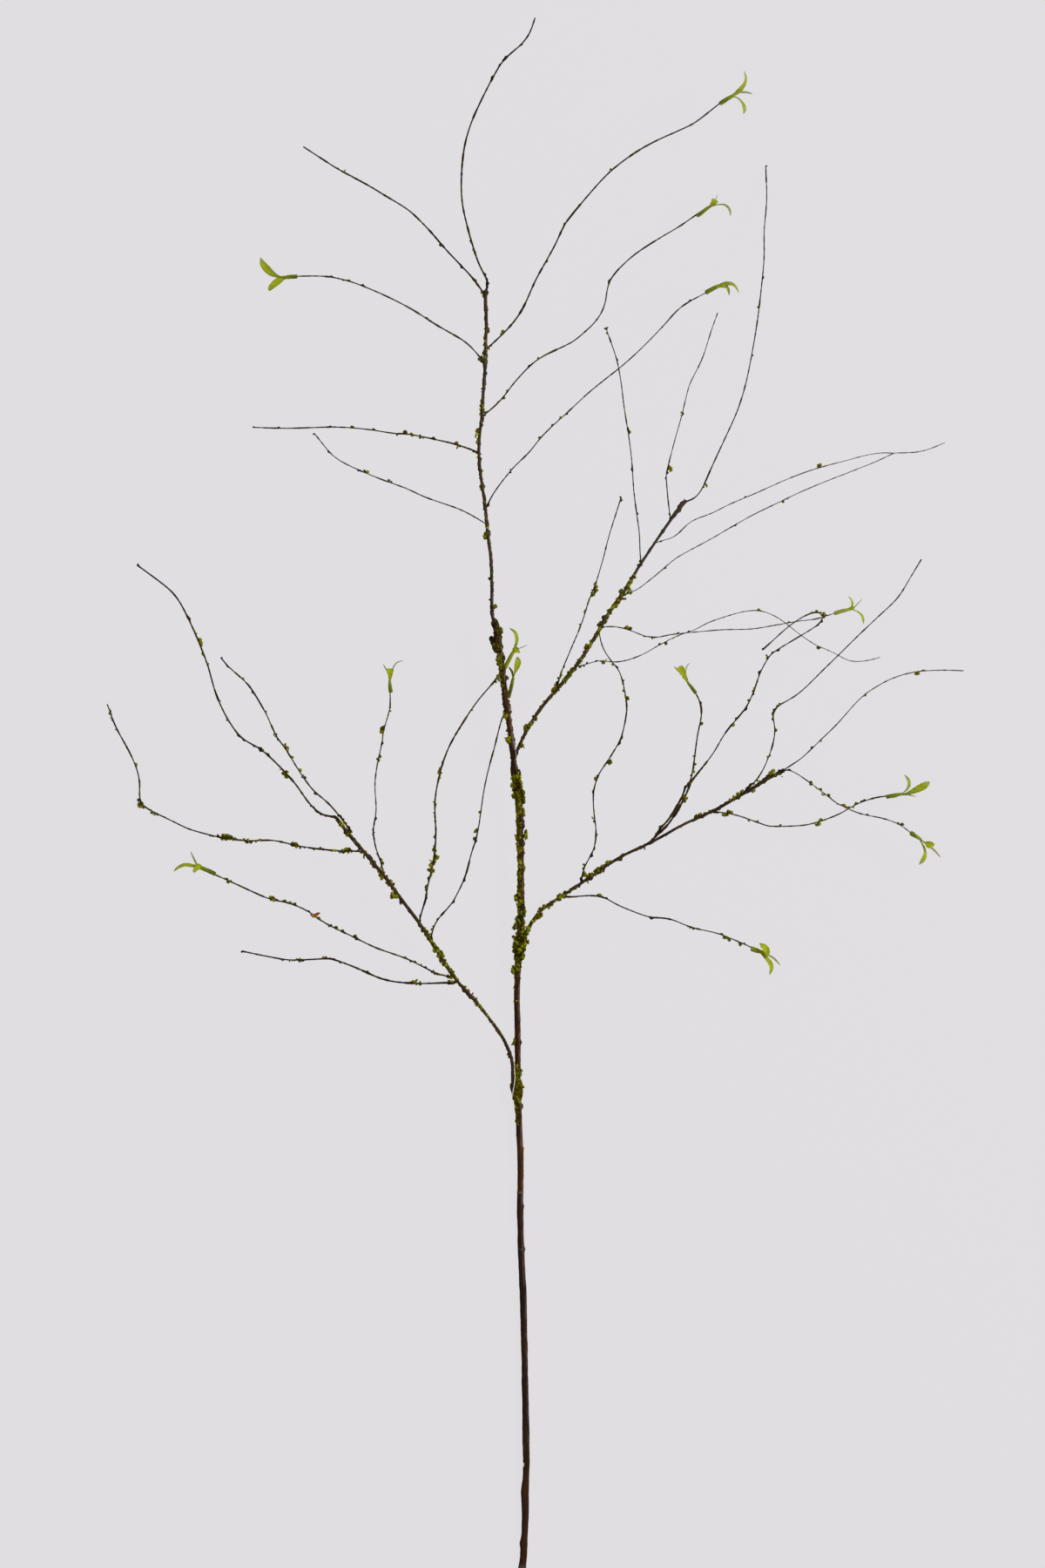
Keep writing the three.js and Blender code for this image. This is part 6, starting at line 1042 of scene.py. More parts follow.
def value_noise(p, seed=0):
    """Smooth noise from 0 to 1 at points of shape (..., 3)."""
    p = np.asarray(p, float)
    i = np.floor(p).astype(int)
    f = p - i
    f = f * f * (3 - 2 * f)
    out = 0.0
    for dx in (0, 1):
        for dy in (0, 1):
            for dz in (0, 1):
                h = _perm[(_perm[(_perm[(i[..., 0] + dx + seed * 57) % 1024] + i[..., 1] + dy) % 1024] + i[..., 2] + dz) % 1024]
                w = (f[..., 0] if dx else 1 - f[..., 0]) * (f[..., 1] if dy else 1 - f[..., 1]) * (f[..., 2] if dz else 1 - f[..., 2])
                out = out + w * h / 1023.0
    return out


def fbm(p, octaves=3, seed=0, gain=0.5):
    out, amp, total = 0.0, 1.0, 0.0
    for o in range(octaves):
        out = out + amp * value_noise(np.asarray(p) * 2.03**o + 17.1 * o, seed + o)
        total += amp
        amp *= gain
    return out / total


def even(n):
    """Spreads summed noise, which sits near 0.5, over 0 to 1."""
    return np.clip((n - 0.5) * 1.9 + 0.5, 0, 1)


def smooth(a, b, x):
    x = np.clip((x - a) / (b - a), 0, 1)
    return x * x * (3 - 2 * x)


# ---- routes and radii ----------------------------------------------------------------------------
class Route:
    def __init__(self, name):
        self.name = name
        self.p, s = spline(ROUTES[name], 0.8)
        self.length = s[-1]
        # what a sprout's sleeve hides at the end of its twig isn't counted
        self.shown = self.length - (7.0 if name in TIPPED else 0.0)
        self.s = s
        self.t, self.n, self.b = frames(self.p)
        left = unit(np.cross(Z, self.t))
        self.left, self.up = left, np.cross(self.t, left)

    def index(self, f):
        return int(np.clip(round(f * self.shown / self.length * (len(self.p) - 1)), 0, len(self.p) - 1))

    def radius(self, f):
        return float(ramp(RADII[self.name], f))

    def row(self, y):
        """The fraction of the route at that row of the picture."""
        rows = 899.5 - (self.p[:, 1] - 15.4325) / (0.7 * (1 - self.p[:, 2] / 3500.0))
        return float(self.s[np.argmin(np.abs(rows - y))] / self.shown)


def spot(x, y, z):
    """The point at that height, in mm, seen at that pixel of the picture."""
    k = 0.7 * (1 - z / 3500.0)
    return np.array([(x + 0.5 - 600) * k - 11.067, (899.5 - y) * k + 15.4325, z])


TIPPED = {"twig_" + k[-2:] for k in SPROUTS}
routes = {k: Route(k) for k in ROUTES}
made = []


def keep(o, slot, *nodes):
    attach(o, "root")
    if nodes:
        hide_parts(*nodes)
    made.append(o)
    return o


# ---- bark tubes ----------------------------------------------------------------------------------
# How strongly each carrier gets a painted highlight of pale streaks on the side that faces the key light, away from the
# moss.
PAINTED_HIGHLIGHT = {"main_stem": 1.0, "top_leader": 0.30, "lateral_left": 0.25, "lateral_right": 0.55, "lateral_upper": 0.35}

# How far the bare bark of the side shoots goes from brown to a dark grey.
GREYED = {"lateral_left": 0.35, "lateral_right": 0.6, "lateral_upper": 0.9}


def bark_tube(name, material, slot, sides, rough, seed, extra=None):
    """A carrier or twig with knobs, long streaks and small bumps where they were measured."""
    r = routes[name]
    rng = np.random.default_rng(seed)
    f = r.s / r.shown
    base = ramp(RADII[name], np.clip(f, 0, 1))
    ang = np.arange(sides) * 2 * np.pi / sides
    d = r.n[:, None, :] * np.cos(ang)[None, :, None] + r.b[:, None, :] * np.sin(ang)[None, :, None]
    near = d * base[:, None, None]
    where = near + (r.s[:, None, None] * np.array([0.0, 0.0, 1.0]))
    streaks = fbm(where * np.array([1.3, 1.3, 0.11]) / max(0.5, base.mean() / 2.4), 3, seed)
    lumps = fbm(where * np.array([0.35, 0.35, 0.14]) + 40, 2, seed + 5)
    fine = fbm(where * np.array([1.2, 1.2, 0.55]) + 80, 2, seed + 9)
    swell = 1 + rough[0] * wobble(rng, r.s, rough[3])[:, None]
    if sides < 12:
        # short thicker places along a thin twig
        knots = smooth(0.60, 0.88, even(fbm(np.stack([r.s / 6.5, 0 * r.s + seed * 3.7, 0 * r.s], -1), 2, seed)))
        swell = swell + 0.42 * knots[:, None]
    rad = base[:, None] * swell
    rad = rad + rough[1] * (streaks - 0.5) * 2 + rough[2] * (lumps - 0.5) * 2 + rough[1] * 0.7 * (fine - 0.5) * 2
    knobs = smooth(0.62, 0.95, even(fbm(where / (1.9 if sides > 12 else 2.6) + 120, 1, seed + 13)))
    rad = rad + rough[4] * knobs * ((f > rough[5]) * 1.0)[:, None]
    dark = np.zeros_like(rad)
    for s0, side, size in NODES.get(name, []):
        i = r.index(s0)
        toward = unit(r.left[i] * np.sign(side) + r.up[i] * rng.uniform(-0.5, 0.6))
        along = np.exp(-(((r.s - r.s[i]) / max(0.9, size * 0.42)) ** 2))
        face = np.clip(d @ toward, 0, 1) ** 1.5
        rise = max(0.25, abs(side) - base[i]) * 0.9
        rad = rad + along[:, None] * face * rise
        dark = np.maximum(dark, along[:, None] * face)
    pale = np.zeros_like(rad)
    # Painted highlight on the side that faces the key light, towards +X and up.
    rim = smooth(0.60, 0.90, d @ unit(np.array([1.0, 0.0, 0.45]))) * PAINTED_HIGHLIGHT.get(name, 0.0)
    if name == "main_stem":
        rim = rim * smooth(0.09, 0.19, f)[:, None]
    if name == "top_leader":
        pale = pale + 0.085
    if name in GREYED:
        patch = even(fbm(where * np.array([0.5, 0.5, 0.16]) + 200, 2, seed + 21))
        g = GREYED[name] * (0.55 + 0.45 * patch)
        if name == "lateral_upper":
            g = g * (0.35 + 0.65 * smooth(0.35, 0.5, f))[:, None]
        dark = np.maximum(dark, 0.88 * g)
        pale = np.maximum(pale, (0.20 if name == "lateral_upper" else 0.12) * g)
    if extra is not None:
        rad, dark, pale, rim = extra(r, f, ang, d, rad, dark, pale, rim)
    v, q, t, _ = tube(r.p, np.maximum(rad, base[:, None] * 0.5), sides, ends=(0.25, 0.4))
    parts = Parts()

    def spread(x):
        return np.concatenate([np.concatenate([x[:1], x, x[-1:]]).ravel(), [x[0].mean(), x[-1].mean()]])

    parts.add(v, q, t, node=spread(dark), pale=spread(pale), rim=spread(rim))
    return keep(parts.object(name, material), slot, name)


def stem_extra(r, f, ang, d, rad, dark, pale, rim):
    """The two faint joint rings, the greyer foot, the swellings and the flared cut end."""
    def bump(y, side, rise, length, turn=0.0):
        i = int(np.argmin(np.abs(f - r.row(y))))
        toward = unit(r.left[i] * side + r.up[i] * turn)
        return np.exp(-(((r.s - r.s[i]) / length) ** 2))[:, None] * np.clip(d @ toward, 0, 1) ** 2 * rise

    for y, wide, lift in ((1368.3, 0.62, 0.26), (1433.0, 0.55, 0.10)):
        i = int(np.argmin(np.abs(f - r.row(y))))
        ring = np.exp(-(((r.s - r.s[i]) / wide) ** 2))[:, None]
        rad = rad + ring * lift
        pale = np.maximum(pale, ring * (0.75 if y < 1400 else 0.4))
    rad = rad + bump(1384.6, -1, 0.7, 1.6) + bump(1433.5, -1, 0.8, 1.8)
    rad = rad + bump(1712, 1, 0.9, 8, 0.5) + bump(1771, 1, 0.8, 3.5, 0.3) + bump(1655, 1, 0.2, 3, 0.3) + bump(1667, 1, 0.2, 3, 0.3)
    rad = rad + bump(884, 1, 0.95, 3.6) + bump(881.6, -1, 0.80, 2.3) + bump(870, -1, -0.42, 3.4) + bump(842, 1, -0.30, 6)
    grey = 1 - smooth(r.row(1372), r.row(1366), f)[:, None]
    pale = np.maximum(pale, grey * 0.03)
    dark = np.maximum(dark, grey * 0.74)
    # How strong the painted highlight is along the stem, row by row.
    highlight_strength = np.interp(f, [r.row(y) for y in (1800, 1400, 1372, 1240, 1225, 1120, 1110, 1055, 1045, 912, 905, 886, 872, 860, 842, 770, 745)],
                     [0.22, 0.22, 0.30, 0.30, 0.38, 0.38, 0.1, 0.1, 0.26, 0.26, 0.2, 0.2, 0.42, 0.75, 0.62, 0.80, 0.6])
    rim = rim * highlight_strength[:, None]
    left = np.clip(d @ r.left.mean(0), 0, 1)
    greylumps = np.exp(-(((r.s - r.s[int(np.argmin(np.abs(f - r.row(1660))))]) / 7.0) ** 2))[:, None] * left
    pale = np.maximum(pale, greylumps * 0.2)
    # the lower stem's small sway and its width, where the smooth centre line doesn't follow them
    rows = (1262, 1282, 1302, 1322, 1342, 1362, 1382, 1402, 1422, 1440, 1455, 1472, 1492, 1512, 1532, 1552, 1575, 1595, 1615, 1635, 1655,
            1672, 1690, 1705, 1714, 1722, 1732, 1742, 1752, 1762, 1772, 1782, 1800)
    sway = (0, 0.1, 0.3, 0.4, 0.15, 0.05, -0.05, 0.3, 0.35, 0.65, 0.85, 0.45, 0.15, 0.3, 0.15, 0, -0.6, -0.35, 0, 0.05, -0.15,
            -0.15, -0.3, -0.3, -0.05, 0.5, 1.3, 1.3, 1.3, 1.0, 0.85, 0.45, 0.4)
    wide = (0, 0.1, 0.05, 0.25, 0.1, 0.05, 0.15, 0.25, 0.1, 0.25, 0.3, 0.55, 0.65, 0.2, 0.25, 0.2, 0.05, 0.15, 0.4, 0.4, 0.6,
            0.3, 0.15, 0.25, 0.35, 0.75, 0.65, 0.6, 0.3, 0.1, 0.55, 0.6, 0.8)
    at = [r.row(y) for y in rows][::-1]
    away = d @ -unit(r.left.mean(0))
    rad = rad + 0.7 * np.interp(f, at, sway[::-1])[:, None] * away + 0.7 * np.interp(f, at, wide[::-1])[:, None] * np.abs(away)
    foot = smooth(r.row(1792), r.row(1803), f)[:, None]
    rad = rad * (1 + 0.10 * foot)
    pale = np.maximum(pale, foot * 0.75)
    black = np.exp(-(((r.s - r.s[int(np.argmin(np.abs(f - r.row(1740))))]) / 8.0) ** 2))[:, None] * left
    dark = np.maximum(dark, black * 0.8)
    return rad, dark, pale, rim


bark_tube("main_stem", STEM, "stem_bark", 32, (0.030, 0.15, 0.20, 26.0, 0.34, 0.70), 101, stem_extra)
for _i, _n in enumerate(("top_leader", "lateral_left", "lateral_right", "lateral_upper")):
    bark_tube(_n, SHOOT, "shoot_bark", 18, (0.07, 0.11, 0.17, 11.0, 0.40, -1), 111 + _i)
for _i in range(1, 33):
    bark_tube("twig_%02d" % _i, TWIG, "twig_wrap", 9, (0.12, 0.04, 0.05, 6.0, 0.12, -1), 130 + _i)


# ---- moss ----------------------------------------------------------------------------------------
def coverage(name, f):
    """How much of the front is under moss at those fractions, 0 to 1."""
    out = np.zeros_like(f)
    for a, b, share in COVER.get(name, []):
        out = np.maximum(out, share / 10.0 * smooth(a - 0.02, a + 0.012, f) * (1 - smooth(b - 0.012, b + 0.02, f)))
    return out


def crust(parts, name, sides, thick, wave, seed, side_pull, lo=0.0, hi=1.0, gain=1.0, pull=0.30):
    """The thin lumpy layer. Where there is none it dips under the bark."""
    r = routes[name]
    rng = np.random.default_rng(seed)
    f = r.s / r.shown
    cov = coverage(name, f) * gain
    shown = (cov > 0.12) & (f >= lo) & (f <= hi)
    # whole stretches with a margin
    idx = np.flatnonzero(shown)
    if not len(idx):
        return
    runs = np.split(idx, np.flatnonzero(np.diff(idx) > 6) + 1)
    ang = np.arange(sides) * 2 * np.pi / sides
    for run in runs:
        a, b = max(0, run[0] - 2), min(len(r.p) - 1, run[-1] + 2)
        if b - a < 4:
            continue
        s = np.linspace(r.s[a], r.s[b], int((r.s[b] - r.s[a]) / 0.6) + 2)
        p = np.stack([np.interp(s, r.s, r.p[:, k]) for k in range(3)], 1)
        left, up = (unit(np.stack([np.interp(s, r.s, e[:, k]) for k in range(3)], 1)) for e in (r.left, r.up))
        here = np.interp(s, r.s, cov)
        base = ramp(RADII[name], np.clip(s / r.shown, 0, 1))
        t, n, bb = frames(p, r.n[a])
        d = n[:, None, :] * np.cos(ang)[None, :, None] + bb[:, None, :] * np.sin(ang)[None, :, None]
        w = d * base[:, None, None] + s[:, None, None] * np.array([0, 0, 1.0])
        sway = 0.9 * wobble(rng, s, 60.0)
        pref = unit(left * side_pull + up * 0.55 + left * sway[:, None] * (0.35 if side_pull else 1.0))
        face = (d * pref[:, None, :]).sum(-1)
        n1 = even(fbm(w / wave, 3, seed + 1))
        local = here[:, None] * 1.12 + pull * (face - 0.62)
        there = smooth(-0.04, 0.16, local - n1)
        lump = even(fbm(w / (wave * 0.34) + 30, 2, seed + 3))
        knob = even(fbm(w / (wave * 0.62) + 60, 2, seed + 4))
        high = 0.55 * knob + 0.45 * lump
        rad = base[:, None] - 0.35 + there * (0.35 + thick * (0.10 + 1.45 * high))
        v, q, tr, _ = tube(p, rad, sides, r.n[a], ends=(0.1, 0.1))
        # The tone follows the lumps' height, so the hollows between them come out darker: painted shade.
        tone = -0.20 + 1.15 * high + 0.04 * there
        tone = np.concatenate([np.concatenate([tone[:1], tone, tone[-1:]]).ravel(), [0.3, 0.3]])
        parts.add(v, q, tr, tone=tone)


def crumbs(parts, name, seed, lo=0.0, hi=1.0, measured=True, fill=0.35, small=(0.4, 0.95), side_pull=0.0):
    """Moss crumbs: those measured, with their side and reach, and small ones strewn where moss is."""
    r = routes[name]
    rng = np.random.default_rng(seed)
    if measured:
        for s0, reach, length in CRUMBS.get(name, []):
            if not lo <= s0 <= hi:
                continue
            i = r.index(s0)
            base = r.radius(s0)
            sign = 1.0 if reach > 0 else -1.0
            out = abs(reach)
            room = out - base * 0.55
            size = float(np.clip(min(0.70 * length, 0.62 * room), 0.55, 2.1))
            tilt = rng.uniform(-0.35, 0.45)
            side = r.left[i] * sign
            away = unit(side + r.up[i] * tilt)
            centre = r.p[i] + side * (out - size * 0.92) + r.up[i] * tilt * (out - size)
            tone = rng.uniform(0.35, 1.1)
            if size > 0.85 and rng.uniform() < 0.12:
                put_curl(parts, rng, r.p[i] + away * base * 0.7 + r.t[i] * rng.uniform(-0.4, 0.4), (out - base * 0.6) / 1.05, away, tone)
            else:
                put_crumb(parts, rng, centre, size, away, size > 1.0, tone)
            # smaller ones beside it, and between it and the bark
            gap = out - 2 * size - base
            if gap > -0.2:
                put_crumb(parts, rng, r.p[i] + away * (base + max(0.2, gap * 0.5)), max(0.5, size * 0.7), away, False, tone * 0.7)
            for _ in range(int(rng.integers(1, 3)) if size > 0.7 else 0):
                j = int(np.clip(i + rng.normal() * length * 0.6, 0, len(r.p) - 1))
                k = unit(side + r.up[j] * rng.uniform(-0.9, 0.9))
                z = size * rng.uniform(0.4, 0.7)
                put_crumb(parts, rng, r.p[j] + k * (base + z * rng.uniform(0.2, 0.7)), z, k, False, tone * rng.uniform(0.5, 1.1))
    f = r.s / r.shown
    cov = coverage(name, f) * ((f >= lo) & (f <= hi))
    total = cov.sum() * (r.s[1] - r.s[0])
    count = int(total * fill)
    if count:
        pick = rng.choice(len(f), count, p=cov / cov.sum())
        for i in pick:
            side = side_pull + rng.normal() * 0.9
            away = unit(r.left[i] * side + r.up[i] * (rng.normal() * 0.8 + 0.35))
            z = rng.uniform(*small) * (0.75 + 0.5 * rng.random() ** 3)
            base = r.radius(f[i])
            at = r.p[i] + away * (base + z * rng.uniform(-0.1, 0.45))
            if rng.uniform() < 0.12 and z > 0.6:
                put_curl(parts, rng, r.p[i] + away * base * 0.85, z * 1.7, away)
            else:
                put_crumb(parts, rng, at, z, away)


def moss_piece(name, slot, nodes, jobs):
    parts = Parts()
    for job in jobs:
        job(parts)
    if parts.n:
        o = parts.object(name, MOSS)
        keep(o, slot, *nodes)
        return o


def knobbly(parts, line, sides, seed, rough, wave, tone_shift=0.0, deep=1.0):
    """A lumpy body along points [x px, y px, height mm, half width px]."""
    line = np.array(line, float)
    mid = np.array([spot(x, y, z) for x, y, z, _ in line])
    p, s = spline(mid, 0.55)
    along = np.concatenate([[0], np.cumsum(np.linalg.norm(np.diff(mid, axis=0), axis=1))])
    half = np.interp(s / s[-1], along / along[-1], line[:, 3]) * 0.7
    ker = np.ones(5) / 5
    half = np.convolve(np.pad(half, 2, mode="edge"), ker, mode="valid")
    close = np.minimum(s, s[-1] - s) / 1.6
    half = half * np.sqrt(np.clip(0.12 + close * (2 - close), 0.12, 1) * (close < 1) + (close >= 1))
    ang = np.arange(sides) * 2 * np.pi / sides
    t, n, b = frames(p)
    d = n[:, None, :] * np.cos(ang)[None, :, None] + b[:, None, :] * np.sin(ang)[None, :, None]
    rad = np.repeat(half[:, None], sides, 1)
    # not as deep as wide
    rad = rad * (1 - (1 - deep) * np.abs(d @ Z))
    w = p[:, None, :] + d * rad[..., None]
    big = even(fbm(w / wave, 2, seed))
    small = fbm(w / (wave * 0.4) + 9, 2, seed + 2)
    rad = rad + rough * ((big - 0.55) + 0.6 * (small - 0.5))
    v, q, tr, _ = tube(p, rad, sides, ends=(0.7, 0.7))
    # The tone follows the lumps of the surface, so its hollows come out darker: painted shade, shifted by tone_shift.
    tone = 0.8 * big + 0.5 * (small - 0.5) + tone_shift
    tone = np.concatenate([np.concatenate([tone[:1], tone, tone[-1:]]).ravel(), [0.4, 0.4]])
    parts.add(v, q, tr, tone=tone)


def strew(q, seed, line, count, sizes, spread=1.9, tones=(0.0, 1.05), out=0.95):
    """Small crumbs all over the seen part of a knobbly body."""
    line = np.array(line, float)
    rng = np.random.default_rng(seed)
    for _ in range(count):
        y = rng.uniform(line[0, 1], line[-1, 1])
        x, z, half = (np.interp(y, line[:, 1], line[:, k]) for k in (0, 2, 3))
        turn = rng.uniform(-spread, spread)
        away = np.array([math.sin(turn), 0, math.cos(turn)])
        size = rng.uniform(*sizes)
        put_crumb(q, rng, spot(x, y, z) + away * half * 0.7 * out, size, away, size > 1.0, rng.uniform(*tones))


RIGHT_CLUMP = [(598.2, 1060, 10.6, 2.4), (598.4, 1064, 10.4, 2.7), (598.6, 1068, 10.2, 3.2), (598.8, 1072, 10.0, 4.0),
               (597.6, 1076, 9.8, 6.2), (597.4, 1081, 9.6, 6.9), (596.9, 1087, 9.4, 6.8), (596.2, 1092, 9.2, 5.9),
               (596.4, 1098, 9.0, 4.2), (595.8, 1102, 8.9, 3.0), (595.0, 1106, 8.8, 2.5)]
UPPER_BODY = [(592.8, 889.5, 15.5, 3.9), (593.0, 896, 15.3, 4.6), (593.0, 900, 15.2, 5.0), (594.3, 905, 15.0, 5.1),
              (595.6, 910, 14.8, 4.8), (596.4, 914, 14.6, 3.5), (596.4, 919, 14.4, 2.9), (596.6, 924, 14.2, 2.6)]


def thick_moss(q):
    """Thick moss over the joint of the lower right shoot and below the joint of the upper one."""
    knobbly(q, RIGHT_CLUMP, 44, 305, 1.6, 2.3, -0.06, 0.9)
    strew(q, 306, RIGHT_CLUMP, 150, (0.4, 1.15), tones=(-0.38, 1.02))
    knobbly(q, UPPER_BODY, 40, 307, 1.3, 2.2, -0.20, 0.9)
    strew(q, 308, UPPER_BODY, 80, (0.4, 1.0), tones=(-0.42, 0.95))
    rng = np.random.default_rng(309)
    for x, y, z, size, tone in ((588.6, 1064.6, 10.5, 1.2, 0.7), (590.4, 1061.6, 10.7, 1.1, 0.8), (593.0, 1057.6, 11.0, 0.9, 0.6),
                                (590.4, 1077.4, 9.8, 1.5, 1.0), (604.6, 1080.6, 9.6, 1.3, 0.6), (588.2, 1112.6, 8.8, 1.7, 0.9),
                                (590.4, 1109.2, 8.9, 1.4, 0.8), (592.0, 1106.4, 9.0, 1.3, 0.8), (601.6, 1096.5, 9.2, 1.2, 0.7),
                                (590.8, 1095.6, 9.0, 1.1, 0.7), (602.6, 1046.6, 11.6, 1.5, 0.8), (592.2, 1030.4, 12.6, 1.7, 0.95),
                                (603.4, 957.6, 14.2, 1.7, 0.95), (601.6, 959.6, 14.6, 1.2, 0.5), (591.4, 958.6, 14.6, 1.2, 0.8),
                                (588.4, 912.6, 14.8, 1.5, 0.8), (590.2, 911.0, 15.0, 1.1, 0.5), (586.9, 900.2, 15.2, 1.0, 0.3),
                                (601.6, 918.6, 14.4, 1.2, 0.2), (601.0, 910.6, 14.8, 1.5, 0.9), (598.2, 898.4, 16.8, 1.4, 1.05),
                                (593.4, 891.6, 19.0, 1.5, 1.05), (596.6, 922.4, 16.6, 1.0, 0.9), (596.2, 1089.6, 14.8, 1.7, 1.15),
                                (598.6, 1086.4, 14.9, 1.2, 0.95), (593.2, 1082.2, 14.2, 1.3, 1.0), (592.4, 1070.8, 13.0, 1.0, 0.7),
                                (592.6, 899.2, 19.2, 1.3, -0.6), (592.9, 903.8, 19.3, 1.4, -0.55), (591.2, 906.6, 18.6, 1.1, -0.4), (593.6, 895.4, 19.0, 1.0, -0.3),
                                (597.6, 1094.6, 14.0, 1.3, -0.5), (593.8, 1077.6, 14.2, 1.2, -0.5), (600.8, 1079.4, 14.0, 1.2, -0.45),
                                (594.6, 1087.2, 14.6, 1.1, -0.45), (598.4, 1101.0, 12.6, 1.1, -0.4)):
        put_crumb(q, rng, spot(x, y, z), size, unit(np.array([x - 596.5, 0, 2.0])), True, tone)


moss_piece("moss_sleeve_upper", "moss", ["moss_sleeve_upper"], [
    thick_moss,
    lambda q: crust(q, "main_stem", 36, 0.66, 4.2, 301, 0.8, MOSS_UPPER[0], MOSS_UPPER[1], 1.12, 0.55),
    lambda q: crumbs(q, "main_stem", 302, MOSS_UPPER[0], MOSS_UPPER[1], True, 2.3, (0.4, 0.95), 0.7),
])
def collar(q):
    """The thin ragged edge of the moss on the swelling under the upper right shoot."""
    rng = np.random.default_rng(313)
    for k in range(34):
        x = rng.uniform(587.2, 598.2)
        y = rng.uniform(883.0, 890.0)
        lean = (x - 592.6) / 5.6
        size = rng.uniform(0.35, 0.75)
        put_crumb(q, rng, spot(592.6 + (x - 592.6) * 0.92, y, 15.4 + 3.3 * math.sqrt(max(0.05, 1 - lean**2))), size,
                  unit(np.array([lean * 1.5, 0, 1.0])), False, rng.uniform(-0.20, 0.42) + 0.10 * (y - 885))
    for x, y, z, size, tone in ((595.6, 884.2, 16.4, 1.3, -0.25), (596.4, 886.4, 16.2, 1.4, -0.15), (597.0, 888.8, 16.0, 1.2, 0.0)):
        put_crumb(q, rng, spot(x, y, z), size, unit(np.array([1.0, 0, 0.8])), False, tone)


moss_piece("moss_collar_upper", "moss", ["moss_collar_upper"], [collar])


def lower_and_top(q):
    for a, b, seed in ((0.0, FORK_LEFT[0], 321), (FORK_LEFT[1], MOSS_UPPER[0], 322), (COLLAR[1], TOP_SOCKET, 323)):
        crust(q, "main_stem", 36, 0.6, 4.0, seed, 0.7, a, b, 1.0, 0.45)
        crumbs(q, "main_stem", seed + 10, a, b, True, 0.8, (0.35, 0.85), 0.5)


def stem_finds(q):
    """The stub of a shred above the lower fork, and the bright clumps at two joints."""
    knobbly(q, [(592.8, 1194.8, 6.6, 1.3), (590.6, 1195.9, 6.9, 1.35), (588.6, 1197.6, 7.0, 1.15), (586.6, 1199.4, 7.0, 0.95)], 14, 545, 0.3, 1.6, 0.12)
    rng = np.random.default_rng(546)
    for x, y, z, size, tone in ((578.4, 818.6, 19.6, 1.3, 0.8), (580.4, 821.4, 20.0, 1.9, 1.1), (578.0, 822.4, 19.4, 1.2, 0.9), (582.0, 819.4, 20.4, 1.3, 0.8),
                                (580.8, 824.6, 19.6, 1.1, 0.6), (577.2, 816.4, 19.2, 0.7, 0.3), (583.2, 847.6, 19.0, 1.5, 1.0), (584.6, 850.4, 19.0, 1.3, 0.9),
                                (580.4, 847.0, 18.6, 0.8, 0.6), (579.0, 846.8, 18.4, 0.45, 0.4), (585.0, 846.0, 19.6, 1.2, 0.9),
                                (582.2, 777.4, 20.8, 1.6, 0.55), (580.6, 779.6, 20.8, 1.2, 0.3), (580.4, 776.0, 21.0, 1.0, 0.3),
                                (596.6, 855.6, 18.4, 1.2, 0.35), (598.4, 853.8, 18.8, 1.6, 0.60), (600.0, 855.2, 18.2, 1.2, 0.55), (598.4, 857.0, 18.2, 1.1, 0.50),
                                (597.0, 852.8, 18.8, 0.9, 0.45), (601.0, 857.6, 17.8, 0.8, 0.85)):
        put_crumb(q, rng, spot(x, y, z), size, unit(np.array([x - 586.0, 0, 4.0])), size > 1.0, tone)
    # a fringe of tiny dark grains down the left side
    stem = routes["main_stem"]
    for k in range(46):
        y = rng.uniform(766, 884) if k % 3 else rng.uniform(790, 818)
        i = int(np.argmin(np.abs(stem.s / stem.shown - stem.row(y))))
        away = unit(stem.left[i] + stem.up[i] * rng.uniform(-0.2, 0.9))
        size = rng.uniform(0.3, 0.55)
        put_crumb(q, rng, stem.p[i] + away * (stem.radius(stem.row(y)) + size * rng.uniform(-0.1, 0.6)), size, away, False, rng.uniform(-0.5, 0.2))


moss_piece("moss_trim_stem", "moss", [], [lower_and_top, stem_finds])

FAMILIES = {
    "top_leader": range(1, 9), "lateral_upper": range(9, 17), "lateral_right": range(17, 25), "lateral_left": range(25, 33),
}
LOOSE = {"lateral_left": ((365.4, 1053.4, 33.6, 1.5, 0.35),), "lateral_right": ((757.6, 948.6, 23.6, 1.2, 0.55), (752.6, 956.6, 22.6, 0.7, 0.25),
    (785.2, 916.4, 28.2, 2.0, 0.55), (787.6, 915.9, 27.6, 1.4, 0.5), (784.4, 913.6, 28.6, 1.4, 0.45), (785.6, 919.4, 27.5, 1.2, 0.35),
    (776.8, 923.8, 26.9, 1.0, 0.5), (775.9, 926.2, 26.4, 0.8, 0.5), (787.0, 902.8, 31.0, 1.0, 0.3), (789.6, 900.0, 31.4, 0.9, 0.3),
    (739.2, 972.4, 18.8, 0.9, 0.6), (739.8, 974.2, 18.5, 0.75, 0.5))}
for _k, (_carrier, _twigs) in enumerate(FAMILIES.items()):
    def family(q, carrier=_carrier, twigs=_twigs, k=_k):
        crust(q, carrier, 20, 0.5, 3.4, 340 + k, 0.0)
        crumbs(q, carrier, 350 + k, 0, 1, True, 0.8, (0.35, 0.8))
        for x, y, z, size, tone in LOOSE.get(carrier, ()):
            put_crumb(q, np.random.default_rng(int(x * 7)), spot(x, y, z), size, Z, size > 1.0, tone)
        for t in twigs:
            n = "twig_%02d" % t
            crust(q, n, 10, 0.34, 2.4, 360 + t, 0.0)
            crumbs(q, n, 400 + t, 0, 1, True, 0.22, (0.35, 0.7))
    moss_piece("moss_trim_" + _carrier, "moss", [], [family])


